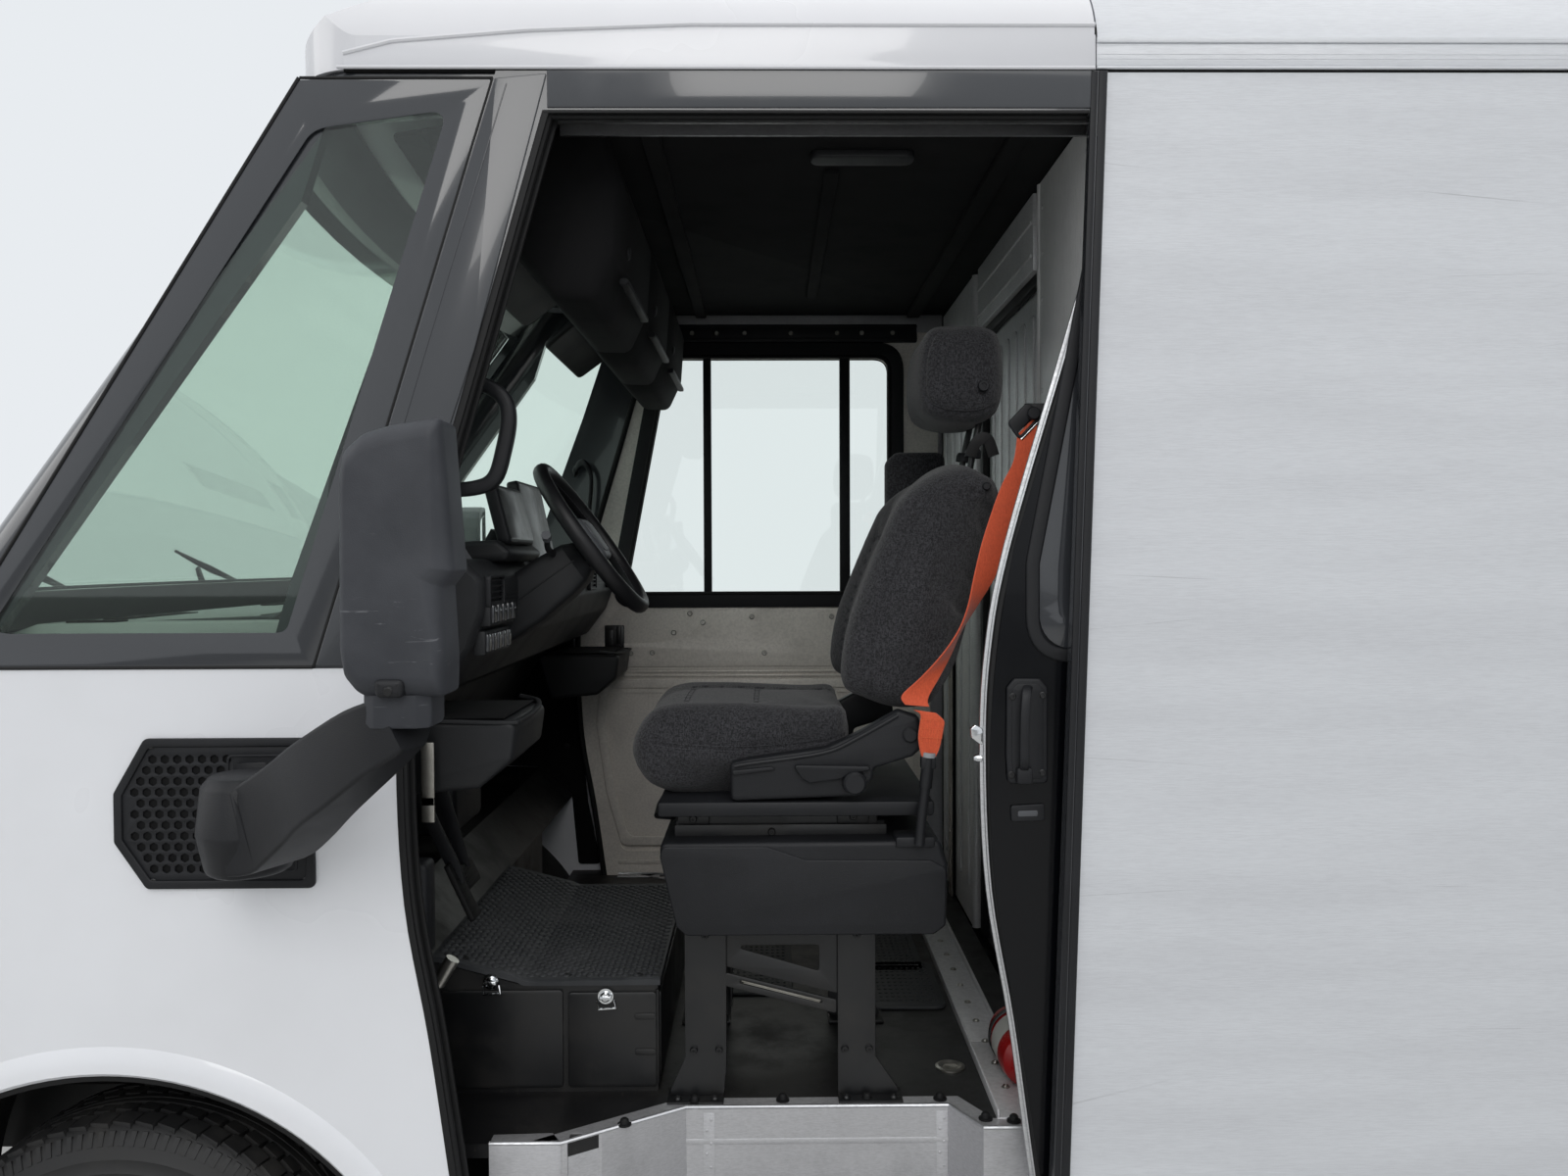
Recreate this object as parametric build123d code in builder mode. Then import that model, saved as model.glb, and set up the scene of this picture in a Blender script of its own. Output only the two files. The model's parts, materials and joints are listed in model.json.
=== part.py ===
from build123d import *
import math
import os

os.makedirs("parts", exist_ok=True)

# Electric step-in delivery van. Millimetres: X forward, Y to the left, Z up, origin on the ground
# under the middle of the van's length, on its centre plane. It is drawn from the nose back, so a
# longer van gains load space, and each piece is moved by half the change when it is saved.

# Overall sizes
overall_length = 6200
nose_x = 3100
body_width = 2080
wheelbase = 3960
front_axle_x = 2120
crown_z = 2785
rail_top_z = 2600
gutter_z = 2545
belt_z = 1557
floor_z = 705
step_z = 400
rocker_z = 360

# Sheet and panel thicknesses
body_wall = 28
pane = 6
floor_thickness = 25
liner_wall = 6
step_sheet = 3
seat_gap = 0.3
panel_gap = 6

# Wheels
tyre_radius = 387
tyre_width = 245
rim_radius = 203
rim_wall = 14
wheel_inset = 153
kingpin_inset = 171
strut_radius = 34
front_arch_radius = 550
rear_arch_radius = 500

# Places along the van
seam_x = 459
bulkhead_x = 400
bulkhead_thickness = 40
pillar_foot_x = 2486
pillar_run = 726
windshield_bow = 100
pillar_corner = 90
brow_x = 1800

# Doors that slide into the body sides
door_thickness = 40
door_recess = 50
door_top_z = 2500
door_bottom_z = 378
door_rear_x = 430
door_travel = 1010
door_overlap = 10
pocket_rear_x = -640
pocket_wall = 8
pocket_depth = 110

# Frame and running gear
rail_y = 390
rail_width = 80
rail_front_x = 2900
frame_bottom_z = 470
frame_height = 150
pack_inset = 300
pack_bottom_z = 235

# Driver's seat
seat_inset = 490
seat_width = 500

# Steering
steering_radius = 186
steering_rim = 15
steering_tilt = 35.5

side = body_width / 2
tail_x = nose_x - overall_length
rear_axle_x = front_axle_x - wheelbase
inner_side = side - body_wall
wheel_y = side - wheel_inset
kingpin_y = wheel_y - kingpin_inset
door_outer_y = side - door_recess
door_inner_y = door_outer_y - door_thickness
pocket_wall_y = side - pocket_depth
floor_side_y = pocket_wall_y + 5
pack_half_width = side - pack_inset
seat_y = side - seat_inset
steering_centre = (1367, seat_y, 1780)
frame_top_z = frame_bottom_z + frame_height
rear_frame_x = tail_x + 30
cargo_end_x = rear_frame_x + 50
seat_near = seat_y + seat_width / 2
seat_far = seat_y - seat_width / 2


def block(x, y, z, mode=Mode.ADD):
    # a plain box between two limits along each axis
    with Locations(((x[0] + x[1]) / 2, (y[0] + y[1]) / 2, (z[0] + z[1]) / 2)):
        Box(abs(x[1] - x[0]), abs(y[1] - y[0]), abs(z[1] - z[0]), mode=mode)


def shape_on(plane, points, radius=0):
    # a closed outline of straight runs on a plane, with its corners rounded
    with BuildSketch(plane) as drawn:
        with BuildLine():
            Polyline(*points, close=True)
        make_face()
        if radius:
            fillet(drawn.vertices(), radius)
    return drawn.sketch


def side_plate(points, y, radius=0, mode=Mode.ADD):
    # points are (x, z), seen from the side, and y is (near the middle, further out)
    drawn = shape_on(Plane.XZ.offset(-y[0]), points, radius)
    extrude(drawn, amount=y[0] - y[1], mode=mode)


def level_plate(points, z, radius=0, mode=Mode.ADD):
    # points are (x, y), seen from above
    extrude(shape_on(Plane.XY.offset(z[0]), points, radius), amount=z[1] - z[0], mode=mode)


def cross_plate(points, x, radius=0, mode=Mode.ADD):
    # points are (y, z), seen from behind
    extrude(shape_on(Plane.YZ.offset(x[0]), points, radius), amount=x[1] - x[0], mode=mode)


def both_sides():
    mirror(about=Plane.XZ)


def doorway_edge(shift=0, foot_z=rocker_z):
    # the curved front edge of the doorway from its top down to its foot
    Line((1372 + shift, 2481), (1583 + shift, 1756))
    ThreePointArc((1583 + shift, 1756), (1625 + shift, 1395), (1575 + shift, 930))
    Line((1575 + shift, 930), (1496 + shift, foot_z))


def save(piece, label):
    placed = piece.part.moved(Location((overall_length / 2 - nose_x, 0, 0)))
    placed.label = label
    export_step(placed, f"parts/{label}.step")


# Frame: two rails, their cross members and the bearers that carry the floors
cross_member_x = (cargo_end_x + 70, rear_axle_x - 510, rear_axle_x + 340, -1250, 1520, 1790, 2560, 2850)
bearer_x = (cargo_end_x + 320, -1280, -600, 0, 600, 1200)
bearer_half = side - 280
arm_z = (205, 245)
beam_top_z = arm_z[1] + 20
front_house_y = 460
with BuildPart() as chassis:
    for y in (-rail_y, rail_y):
        block((cargo_end_x, rail_front_x), (y - rail_width / 2, y + rail_width / 2), (frame_bottom_z, frame_top_z))
    for x in cross_member_x:
        block((x - 40, x + 40), (-rail_y, rail_y), (frame_bottom_z + 20, frame_top_z - 20))
    for x in bearer_x:
        block((x - 30, x + 30), (-bearer_half, bearer_half), (frame_top_z, floor_z - floor_thickness))
    # front subframe: a cross beam hung from the rails and two lower arms that end under the kingpins
    block((front_axle_x - 160, front_axle_x + 160), (-430, 430), (arm_z[0], beam_top_z))
    block((front_axle_x - 70, front_axle_x + 70), (-240, 240), (arm_z[0] - 1, beam_top_z + 1), mode=Mode.SUBTRACT)
    for x in (-130, 130):
        for y in (-rail_y, rail_y):
            block((front_axle_x + x - 25, front_axle_x + x + 25), (y - 30, y + 30), (arm_z[1], frame_bottom_z))
    for hand in (1, -1):
        level_plate([(front_axle_x - 150, hand * 420), (front_axle_x + 150, hand * 420),
                     (front_axle_x + 35, hand * (kingpin_y + 30)), (front_axle_x - 35, hand * (kingpin_y + 30))],
                    arm_z)
    # brackets that carry the front wheel houses
    for hand in (1, -1):
        for x in (-250, 250):
            block((front_axle_x + x - 30, front_axle_x + x + 30), (hand * rail_y, hand * front_house_y),
                  (frame_top_z - 30, frame_top_z))
save(chassis, "chassis_frame")

# The battery is one plain closed tray hung under the rails, with stiffening ribs below
rib_pitch = 300
rib_margin = 115
pack_x = (rear_axle_x + 690, front_axle_x - 640)
rib_count = int((pack_x[1] - pack_x[0] - rib_margin) / rib_pitch) + 1
with BuildPart() as battery:
    block(pack_x, (-pack_half_width, pack_half_width), (pack_bottom_z + 15, frame_bottom_z))
    fillet(battery.edges().filter_by(Axis.Z), 60)
    for step in range(rib_count):
        x = pack_x[0] + rib_margin + rib_pitch * step
        block((x - 25, x + 25), (-pack_half_width + 60, pack_half_width - 60),
              (pack_bottom_z, pack_bottom_z + 15))
save(battery, "battery_pack")

# Electric drive between the front wheels: motor barrel, gear case and its two output flanges
with BuildPart() as drive:
    with BuildSketch(Plane.XZ.offset(-300)):
        with Locations((front_axle_x + 30, tyre_radius + 38)):
            Circle(150)
    extrude(amount=420)
    block((front_axle_x - 130, front_axle_x + 190), (-310, -120), (frame_bottom_z - 190, frame_bottom_z + 110))
    block((front_axle_x - 120, front_axle_x + 150), (-305, -260), (beam_top_z, frame_bottom_z - 190))
    block((front_axle_x - 20, front_axle_x + 80), (250, 298), (beam_top_z, tyre_radius - 60))
    with BuildSketch(Plane.XZ.offset(-330)):
        with Locations((front_axle_x, tyre_radius)):
            Circle(45)
    extrude(amount=660)
save(drive, "drive_unit")

# Rear axle beam with its trailing arms and the stubs that the wheels turn on
stub_radius = 26
with BuildPart() as rear_axle:
    with BuildSketch(Plane.XZ.offset(-(wheel_y + 25))):
        with Locations((rear_axle_x, tyre_radius)):
            Circle(stub_radius)
    extrude(amount=2 * (wheel_y + 25))
    with BuildSketch(Plane.XZ.offset(147 - wheel_y)):
        with Locations((rear_axle_x, tyre_radius)):
            Circle(55)
    extrude(amount=2 * (wheel_y - 147))
    for y in (-rail_y, rail_y):
        side_plate([(rear_axle_x - 60, tyre_radius - 50), (rear_axle_x - 60, tyre_radius + 50),
                    (rear_axle_x + 60, tyre_radius + 60), (rear_axle_x + 560, frame_bottom_z),
                    (rear_axle_x + 560, frame_bottom_z - 60)], (y - 30, y + 30))
        block((rear_axle_x - 45, rear_axle_x + 45), (y - 35, y + 35), (tyre_radius, frame_bottom_z))
save(rear_axle, "rear_axle")

front_liner_radius = front_arch_radius - 12
rear_liner_radius = rear_arch_radius - 12

# Knuckles: a strut tube on the kingpin line, its spindle and the brake caliper's bracket
spindle_reach = wheel_y + 25
for name, hand in (("left", 1), ("right", -1)):
    with BuildPart() as knuckle:
        with BuildSketch(Plane.XY.offset(arm_z[1] + 0.5)):
            with Locations((front_axle_x, hand * kingpin_y)):
                Circle(strut_radius)
        extrude(amount=tyre_radius + front_liner_radius - 2 - arm_z[1])
        with BuildSketch(Plane.XZ.offset(-hand * kingpin_y)):
            with Locations((front_axle_x, tyre_radius)):
                Circle(stub_radius)
        extrude(amount=-hand * (spindle_reach - kingpin_y))
        block((front_axle_x - 60, front_axle_x + 60), (hand * (kingpin_y - 20), hand * (kingpin_y + 20)),
              (tyre_radius - 90, tyre_radius + 90))
    save(knuckle, f"knuckle_{name}")

# Tyres and rims, turned about each wheel's own axle line
wheel_table = (  # name, axle x, side
    ("front_left", front_axle_x, 1),
    ("front_right", front_axle_x, -1),
    ("rear_left", rear_axle_x, 1),
    ("rear_right", rear_axle_x, -1),
)
half_tread = tyre_width / 2
shoulder = 22
for name, axle_x, hand in wheel_table:
    centre_y = hand * wheel_y
    axle = Axis((axle_x, 0, tyre_radius), (0, 1, 0))
    section = Plane((axle_x, centre_y, tyre_radius), x_dir=(0, 1, 0), z_dir=(1, 0, 0))
    with BuildPart() as tyre:
        with BuildSketch(section):
            with BuildLine():
                Polyline((-half_tread + 26, rim_radius), (half_tread - 26, rim_radius))
                ThreePointArc((half_tread - 26, rim_radius), (half_tread, (rim_radius + tyre_radius) / 2),
                              (half_tread - shoulder, tyre_radius - 14))
                Line((half_tread - shoulder, tyre_radius - 14), (half_tread - 60, tyre_radius))
                Line((half_tread - 60, tyre_radius), (60 - half_tread, tyre_radius))
                Line((60 - half_tread, tyre_radius), (shoulder - half_tread, tyre_radius - 14))
                ThreePointArc((shoulder - half_tread, tyre_radius - 14),
                              (-half_tread, (rim_radius + tyre_radius) / 2), (-half_tread + 26, rim_radius))
            make_face()
        revolve(axis=axle)
    save(tyre, f"tyre_{name}")
    # Pressed steel disc with a dished centre, hand holes and a hub sleeve round its stub
    face = hand * 40
    with BuildPart() as rim:
        with BuildSketch(section):
            with BuildLine():
                Polyline((-half_tread + 26, rim_radius), (half_tread - 26, rim_radius),
                         (half_tread - 26, rim_radius - rim_wall), (-half_tread + 26, rim_radius - rim_wall),
                         close=True)
            make_face()
            with BuildLine():
                Polyline((face, rim_radius - 2), (face + hand * rim_wall, rim_radius - 2),
                         (face + hand * 48, 120), (face + hand * 30, 75), (face + hand * 62, 70),
                         (face + hand * 62, stub_radius + 1), (-hand * 30, stub_radius + 1),
                         (-hand * 30, 60), (face, 62), (face + hand * 30, 110), close=True)
            make_face()
        revolve(axis=axle)
        with BuildSketch(Plane((axle_x, centre_y, tyre_radius), x_dir=(1, 0, 0), z_dir=(0, hand, 0))):
            with PolarLocations(150, 8):
                Circle(17)
        extrude(amount=160, mode=Mode.SUBTRACT)
    save(rim, f"rim_{name}")

# Wheel houses: an arched liner over each wheel and a wall on its inner side
def wheel_house(axle_x, radius, inner_y, outer_y, foot_z):
    with BuildSketch(Plane.XZ.offset(-inner_y)) as liner:
        with Locations((axle_x, tyre_radius)):
            Circle(radius + liner_wall)
            Circle(radius, mode=Mode.SUBTRACT)
        with Locations((axle_x, 0)):
            Rectangle(3 * radius, 2 * foot_z, mode=Mode.SUBTRACT)
    extrude(liner.sketch, amount=inner_y - outer_y)
    with BuildSketch(Plane.XZ.offset(-inner_y)) as wall:
        with Locations((axle_x, tyre_radius)):
            Circle(radius + liner_wall)
        with Locations((axle_x, 0)):
            Rectangle(3 * radius, 2 * frame_top_z, mode=Mode.SUBTRACT)
    extrude(wall.sketch, amount=-liner_wall)


rear_house_y = side - 340
with BuildPart() as wheel_houses:
    wheel_house(front_axle_x, front_liner_radius, front_house_y, inner_side - 20, 395)
    wheel_house(rear_axle_x, rear_liner_radius, rear_house_y, inner_side, 395)
    both_sides()
save(wheel_houses, "wheel_houses")

# Step wells on both sides, a folded aluminium sheet with a tread, risers and a flange on the floor
well_mouth_y = side - 100
well_back_y = side - 240
well_outline = [(530, well_mouth_y - 45), (618, well_mouth_y - 45), (669, well_back_y), (1163, well_back_y),
                (1373, well_mouth_y), (530, well_mouth_y)]
flange_width = 38
tread_thickness = 12


def well_shape(grow, z):
    with BuildSketch(Plane.XY.offset(z)) as drawn:
        with BuildLine():
            Polyline(*well_outline, close=True)
        make_face()
        if grow:
            offset(amount=grow, kind=Kind.INTERSECTION)
        with Locations((900, well_mouth_y + 500)):
            Rectangle(3000, 1000, mode=Mode.SUBTRACT)
    return drawn.sketch


with BuildPart() as step_wells:
    extrude(well_shape(0, step_z - tread_thickness), amount=floor_z - step_z + tread_thickness + step_sheet)
    extrude(well_shape(flange_width, floor_z), amount=step_sheet)
    extrude(well_shape(-step_sheet, step_z), amount=floor_z - step_z + 2 * step_sheet, mode=Mode.SUBTRACT)
    block((534, 1363), (well_mouth_y - 40, side - 40), (step_z, floor_z + 50), mode=Mode.SUBTRACT)
    both_sides()
save(step_wells, "step_wells")

# Cab floor with the two wells cut out of it, the raised foot platform and the front wall that is
# bent over the wheel houses up to the cowl
floor_front_x = 1658
platform_z = 912
platform_y = (0, side - 320)
toe_z = 961
mat_thickness = 13
wall_sheet = 8
with BuildPart() as cab_floor:
    level_plate([(bulkhead_x + bulkhead_thickness, floor_side_y), (1560, floor_side_y), (1560, side - 35),
                 (floor_front_x, side - 35), (floor_front_x, 35 - side), (1560, 35 - side),
                 (1560, -floor_side_y), (bulkhead_x + bulkhead_thickness, -floor_side_y)],
                (floor_z - floor_thickness, floor_z))
    for hand in (1, -1):
        cut = [(x, hand * y) for x, y in well_outline[:4]]
        cut += [(1388, hand * (well_mouth_y + 10)), (530, hand * (well_mouth_y + 10))]
        level_plate(cut, (floor_z - floor_thickness - 1, floor_z + 1), mode=Mode.SUBTRACT)
    side_plate([(1222, floor_z), (1222, platform_z), (1478, platform_z), (floor_front_x, toe_z),
                (floor_front_x, floor_z)], platform_y)
    block((1234, floor_front_x - 10), (platform_y[0] + 12, platform_y[1] - 12), (floor_z, platform_z - 12),
          mode=Mode.SUBTRACT)
    side_plate([(floor_front_x, floor_z - floor_thickness), (floor_front_x, toe_z), (1760, 1050), (2200, 1064),
                (2440, 1180), (2468, 1525), (2476, 1525), (2448, 1175), (2203, 1056), (1764, 1042),
                (floor_front_x + wall_sheet, toe_z - 4), (floor_front_x + wall_sheet, floor_z - floor_thickness)],
               (40 - side, side - 40))
    for hand in (1, -1):
        block((floor_front_x, 2500), (hand * (front_house_y - 12), hand * (side - 30)), (600, toe_z - 8),
              mode=Mode.SUBTRACT)
save(cab_floor, "cab_floor")

# Rubber mat over the platform and its toe slope
with BuildPart() as mat:
    side_plate([(1215, platform_z), (1215, platform_z + mat_thickness), (1476, platform_z + mat_thickness),
                (floor_front_x - 4, toe_z + mat_thickness - 1), (floor_front_x, toe_z), (1478, platform_z)],
               (platform_y[0] + 10, platform_y[1] + 8))
save(mat, "platform_mat")

# Body side between the doorway and the nose, with the front half of the wheel arch
nose_seam_x = 2480
arch_centre_z = 330
with BuildPart() as front_sides:
    with BuildSketch(Plane.XZ.offset(-inner_side)):
        with BuildLine():
            ThreePointArc((1583 + 38, belt_z), (1625, 1395), (1575, 930))
            Line((1575, 930), (1496, rocker_z))
            Polyline((1496, rocker_z), (nose_seam_x, rocker_z), (nose_seam_x, belt_z), (1583 + 38, belt_z))
        make_face()
        with Locations((front_axle_x, arch_centre_z)):
            Circle(front_arch_radius, mode=Mode.SUBTRACT)
    extrude(amount=-body_wall)
    both_sides()
save(front_sides, "front_side_panels")


# The nose is one volume: a rounded plan carried up and trimmed to the side profile
def nose_volume(inset):
    wide = side - inset
    front = nose_x - 15 - inset
    corner = 420
    with BuildPart() as whole:
        with BuildSketch(Plane.XY.offset(300 + (inset and -20))):
            with BuildLine():
                Line((nose_seam_x, -wide), (nose_seam_x, wide))
                Line((nose_seam_x, wide), (front - corner - 60, wide))
                ThreePointArc((front - corner - 60, wide), (front - 190, wide - 130), (front - 50, wide - 400))
                ThreePointArc((front - 50, wide - 400), (front, 0), (front - 50, 400 - wide))
                ThreePointArc((front - 50, 400 - wide), (front - 190, 130 - wide), (front - corner - 60, -wide))
                Line((front - corner - 60, -wide), (nose_seam_x, -wide))
            make_face()
        extrude(amount=1400)
        with BuildSketch(Plane.XZ.offset(-1200)):
            with BuildLine():
                Polyline((2400, 200), (2400, belt_z - inset), (2560, belt_z - inset))
                ThreePointArc((2560, belt_z - inset), (2790, 1487 - inset), (2960 - inset, 1330 - inset))
                ThreePointArc((2960 - inset, 1330 - inset), (3055 - inset, 1100), (nose_x - 15 - inset, 820))
                Polyline((nose_x - 15 - inset, 820), (nose_x - 15 - inset, 450), (nose_x - 90 - inset, 300 + inset / 3),
                         (nose_x - 90 - inset, 200), (2400, 200))
            make_face()
        extrude(amount=2400, mode=Mode.INTERSECT)
    return whole.part


nose_outer = nose_volume(0)
nose_inner = nose_volume(body_wall)
bumper_top_z = 640
hood_half = side - 394
hood_x = (2668, 2975)
hood_foot_z = 1290
lamp_y = side - 240
lamp_z = (880, 1130)
lamp_width = 150
mask_half = side - 414
mask_z = (900, 1110)
cowl_half = side - 80

with BuildPart() as nose:
    add(nose_outer)
    add(nose_inner, mode=Mode.SUBTRACT)
    block((2300, 3300), (-side - 60, side + 60), (100, bumper_top_z), mode=Mode.SUBTRACT)
    with BuildSketch(Plane.XZ.offset(-1200)):
        with Locations((front_axle_x, arch_centre_z)):
            Circle(front_arch_radius)
    extrude(amount=2400, mode=Mode.SUBTRACT)
    block((hood_x[0] - panel_gap, 3300), (-hood_half - panel_gap, hood_half + panel_gap),
          (hood_foot_z - panel_gap, 1700), mode=Mode.SUBTRACT)
    block((2300, hood_x[0]), (-cowl_half, cowl_half), (1400, 1700), mode=Mode.SUBTRACT)
    with BuildSketch(Plane.YZ.offset(2500)):
        with Locations((lamp_y, sum(lamp_z) / 2), (-lamp_y, sum(lamp_z) / 2)):
            SlotOverall(lamp_z[1] - lamp_z[0], lamp_width, rotation=90)
        with Locations((0, sum(mask_z) / 2)):
            RectangleRounded(2 * mask_half, mask_z[1] - mask_z[0], 60)
    extrude(amount=800, mode=Mode.SUBTRACT)
save(nose, "nose_panel")

with BuildPart() as hood:
    add(nose_outer)
    add(nose_inner, mode=Mode.SUBTRACT)
    block((hood_x[0], 3300), (-hood_half, hood_half), (hood_foot_z, 1700), mode=Mode.INTERSECT)
    # hinge leaves that reach back under the cowl's edge
    for y in (-480, 480):
        block((hood_x[0] - panel_gap + seat_gap, hood_x[0] + 30), (y - 30, y + 30), (1519, 1528))
save(hood, "hood")

with BuildPart() as lamps:
    with BuildSketch(Plane.YZ.offset(2500)):
        with Locations((lamp_y, sum(lamp_z) / 2), (-lamp_y, sum(lamp_z) / 2)):
            SlotOverall(lamp_z[1] - lamp_z[0], lamp_width, rotation=90)
    extrude(amount=800)
    add(nose_outer, mode=Mode.INTERSECT)
    add(nose_inner, mode=Mode.SUBTRACT)
save(lamps, "headlamps")

# Black panels of the nose: the cowl under the windshield and the mask between the lamps
with BuildPart() as nose_trims:
    block((2400, hood_x[0] - panel_gap), (-cowl_half, cowl_half), (1400, 1700))
    with BuildSketch(Plane.YZ.offset(2500)):
        with Locations((0, sum(mask_z) / 2)):
            RectangleRounded(2 * mask_half, mask_z[1] - mask_z[0], 60)
    extrude(amount=800)
    add(nose_outer, mode=Mode.INTERSECT)
    add(nose_inner, mode=Mode.SUBTRACT)
save(nose_trims, "nose_trims")

# Front bumper skin with the crash beam behind it, drilled for the towing eye
tow_y = 520
tow_z = 540
tow_radius = 11
tow_depth = 60
with BuildPart() as front_bumper:
    add(nose_outer)
    add(nose_inner, mode=Mode.SUBTRACT)
    block((2300, 3300), (-side - 60, side + 60), (100, bumper_top_z - 1), mode=Mode.INTERSECT)
    with BuildSketch(Plane.XZ.offset(-1200)):
        with Locations((front_axle_x, arch_centre_z)):
            Circle(front_arch_radius)
    extrude(amount=2400, mode=Mode.SUBTRACT)
    block((rail_front_x, nose_x - 30), (340 - side, side - 340), (frame_bottom_z + 10, frame_top_z - 10))
    block((nose_x - 100, nose_x), (tow_y - 35, tow_y + 35), (tow_z - 35, tow_z + 35))
    with BuildSketch(Plane.YZ.offset(nose_x)):
        with Locations((tow_y, tow_z)):
            Circle(tow_radius)
    extrude(amount=-tow_depth, mode=Mode.SUBTRACT)
save(front_bumper, "bumper_front")


# The glazed upper cab: a plan outline with a bowed front, leaned back along the pillar line
def upper_cab(inset):
    wide = side - inset
    foot = pillar_foot_x - inset
    run = Vector(-pillar_run, 0, gutter_z - belt_z)
    lean = run.normalized()
    with BuildSketch(Plane.XY.offset(belt_z)) as plan:
        with BuildLine():
            Line((500, -wide), (500, wide))
            Line((500, wide), (foot, wide))
            ThreePointArc((foot, wide), (foot + windshield_bow, 0), (foot, -wide))
            Line((foot, -wide), (500, -wide))
        make_face()
        fillet(plan.vertices().group_by(Axis.X)[-1], pillar_corner)
    with BuildPart() as whole:
        extrude(plan.sketch, amount=run.length, dir=lean)
    return whole.part


cab_outer = upper_cab(0)
cab_pane_back = upper_cab(pane)
cab_inner = upper_cab(pane + body_wall)
shield_margin = 105
shield_half = side - 95
quarter_open = [(2290, 1615), (1774, 2331), (1731, 2463), (1522, 2479), (1616, 2199), (1804, 1691), (1826, 1615)]


def ahead_of_doorway():
    # keeps only what lies in front of the doorway's edge
    with BuildSketch(Plane.XZ.offset(-1200)) as kept:
        with BuildLine():
            Line((1372, 2481), (1583, 1756))
            ThreePointArc((1583, 1756), (1609, 1660), (1583 + 38, belt_z))
            Polyline((1583 + 38, belt_z), (2900, belt_z), (2900, gutter_z), (1366, gutter_z), (1372, 2481))
        make_face()
    extrude(kept.sketch, amount=2400, mode=Mode.INTERSECT)


with BuildPart() as cab_frame:
    add(cab_pane_back)
    add(cab_inner, mode=Mode.SUBTRACT)
    ahead_of_doorway()
    block((1500, 2900), (shield_margin - side, side - shield_margin), (belt_z + 45, gutter_z - 95),
          mode=Mode.SUBTRACT)
    for hand in (1, -1):
        side_plate(quarter_open, (hand * (side - 100), hand * (side + 20)), mode=Mode.SUBTRACT)
save(cab_frame, "cab_frame")

# Windshield and quarter panes, laid on the cab frame
pillar_slope = pillar_run / (gutter_z - belt_z)
pane_edge_x = pillar_foot_x - 100
quarter_outline = [(1764, belt_z + 4), (1457, gutter_z - 15),
                   (pane_edge_x - pillar_slope * (gutter_z - 15 - belt_z), gutter_z - 15),
                   (pane_edge_x - pillar_slope * 4, belt_z + 4)]
with BuildPart() as cab_glass:
    add(cab_outer)
    add(cab_pane_back, mode=Mode.SUBTRACT)
    block((1500, 2900), (-shield_half, shield_half), (belt_z + 10, gutter_z - 25), mode=Mode.INTERSECT)
    for hand in (1, -1):
        side_plate(quarter_outline, (hand * (side - pane), hand * side))
save(cab_glass, "cab_glass")

# Roofs share one cross-section: an upright rail, a round shoulder and a low crown
def roof_section(plane, inset, drop=0):
    wide = side - inset
    knee = side - 190
    with BuildSketch(plane) as drawn:
        with BuildLine():
            Line((-wide, gutter_z - drop), (wide, gutter_z - drop))
            Line((wide, gutter_z - drop), (wide, rail_top_z))
            ThreePointArc((wide, rail_top_z), (side - 55 - 0.8 * inset, 2692 - 0.6 * inset), (knee, 2742 - inset))
            ThreePointArc((knee, 2742 - inset), (0, crown_z - inset), (-knee, 2742 - inset))
            ThreePointArc((-knee, 2742 - inset), (55 + 0.8 * inset - side, 2692 - 0.6 * inset), (-wide, rail_top_z))
            Line((-wide, rail_top_z), (-wide, gutter_z - drop))
        make_face()
    return drawn.sketch


def brow_profile(inset):
    with BuildSketch(Plane.XZ.offset(-1200)) as drawn:
        with BuildLine():
            Polyline((seam_x - 50, 2400), (seam_x - 50, 2900), (1050, 2900), (1050, crown_z - inset))
            ThreePointArc((1050, crown_z - inset), (1560 - inset, 2716 - inset), (1800 - inset, 2600 - inset))
            Line((1800 - inset, 2600 - inset), (brow_x + windshield_bow + 10 - inset, gutter_z - inset))
            Polyline((brow_x + windshield_bow + 10 - inset, gutter_z - inset),
                     (brow_x + windshield_bow + 10 - inset, 2400), (seam_x - 50, 2400))
        make_face()
    return drawn.sketch


def brow_plan(inset):
    front = brow_x - inset
    with BuildSketch(Plane.XY.offset(2400)) as drawn:
        with BuildLine():
            Line((seam_x - 50, -side), (seam_x - 50, side))
            Line((seam_x - 50, side), (front - 120, side))
            ThreePointArc((front - 120, side), (front - 36, side - 36), (front, side - 120))
            ThreePointArc((front, side - 120), (front + windshield_bow, 0), (front, 120 - side))
            ThreePointArc((front, 120 - side), (front - 36, 36 - side), (front - 120, -side))
            Line((front - 120, -side), (seam_x - 50, -side))
        make_face()
    return drawn.sketch


def cab_roof_volume(inset, drop=0):
    with BuildPart() as whole:
        extrude(roof_section(Plane.YZ.offset(seam_x - 50 * (drop > 0)), inset, drop), amount=1700)
        extrude(brow_profile(inset), amount=2400, mode=Mode.INTERSECT)
        extrude(brow_plan(inset), amount=500, mode=Mode.INTERSECT)
    return whole.part


cab_roof_inner = cab_roof_volume(body_wall, 20)
with BuildPart() as cab_roof:
    add(cab_roof_volume(0))
    add(cab_roof_inner, mode=Mode.SUBTRACT)
save(cab_roof, "cab_roof")

with BuildPart() as cargo_roof:
    extrude(roof_section(Plane.YZ.offset(cargo_end_x), 0), amount=seam_x - 3 - cargo_end_x)
    extrude(roof_section(Plane.YZ.offset(cargo_end_x - 10), body_wall, 20), amount=seam_x + 20 - cargo_end_x,
            mode=Mode.SUBTRACT)
save(cargo_roof, "cargo_roof")

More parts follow.
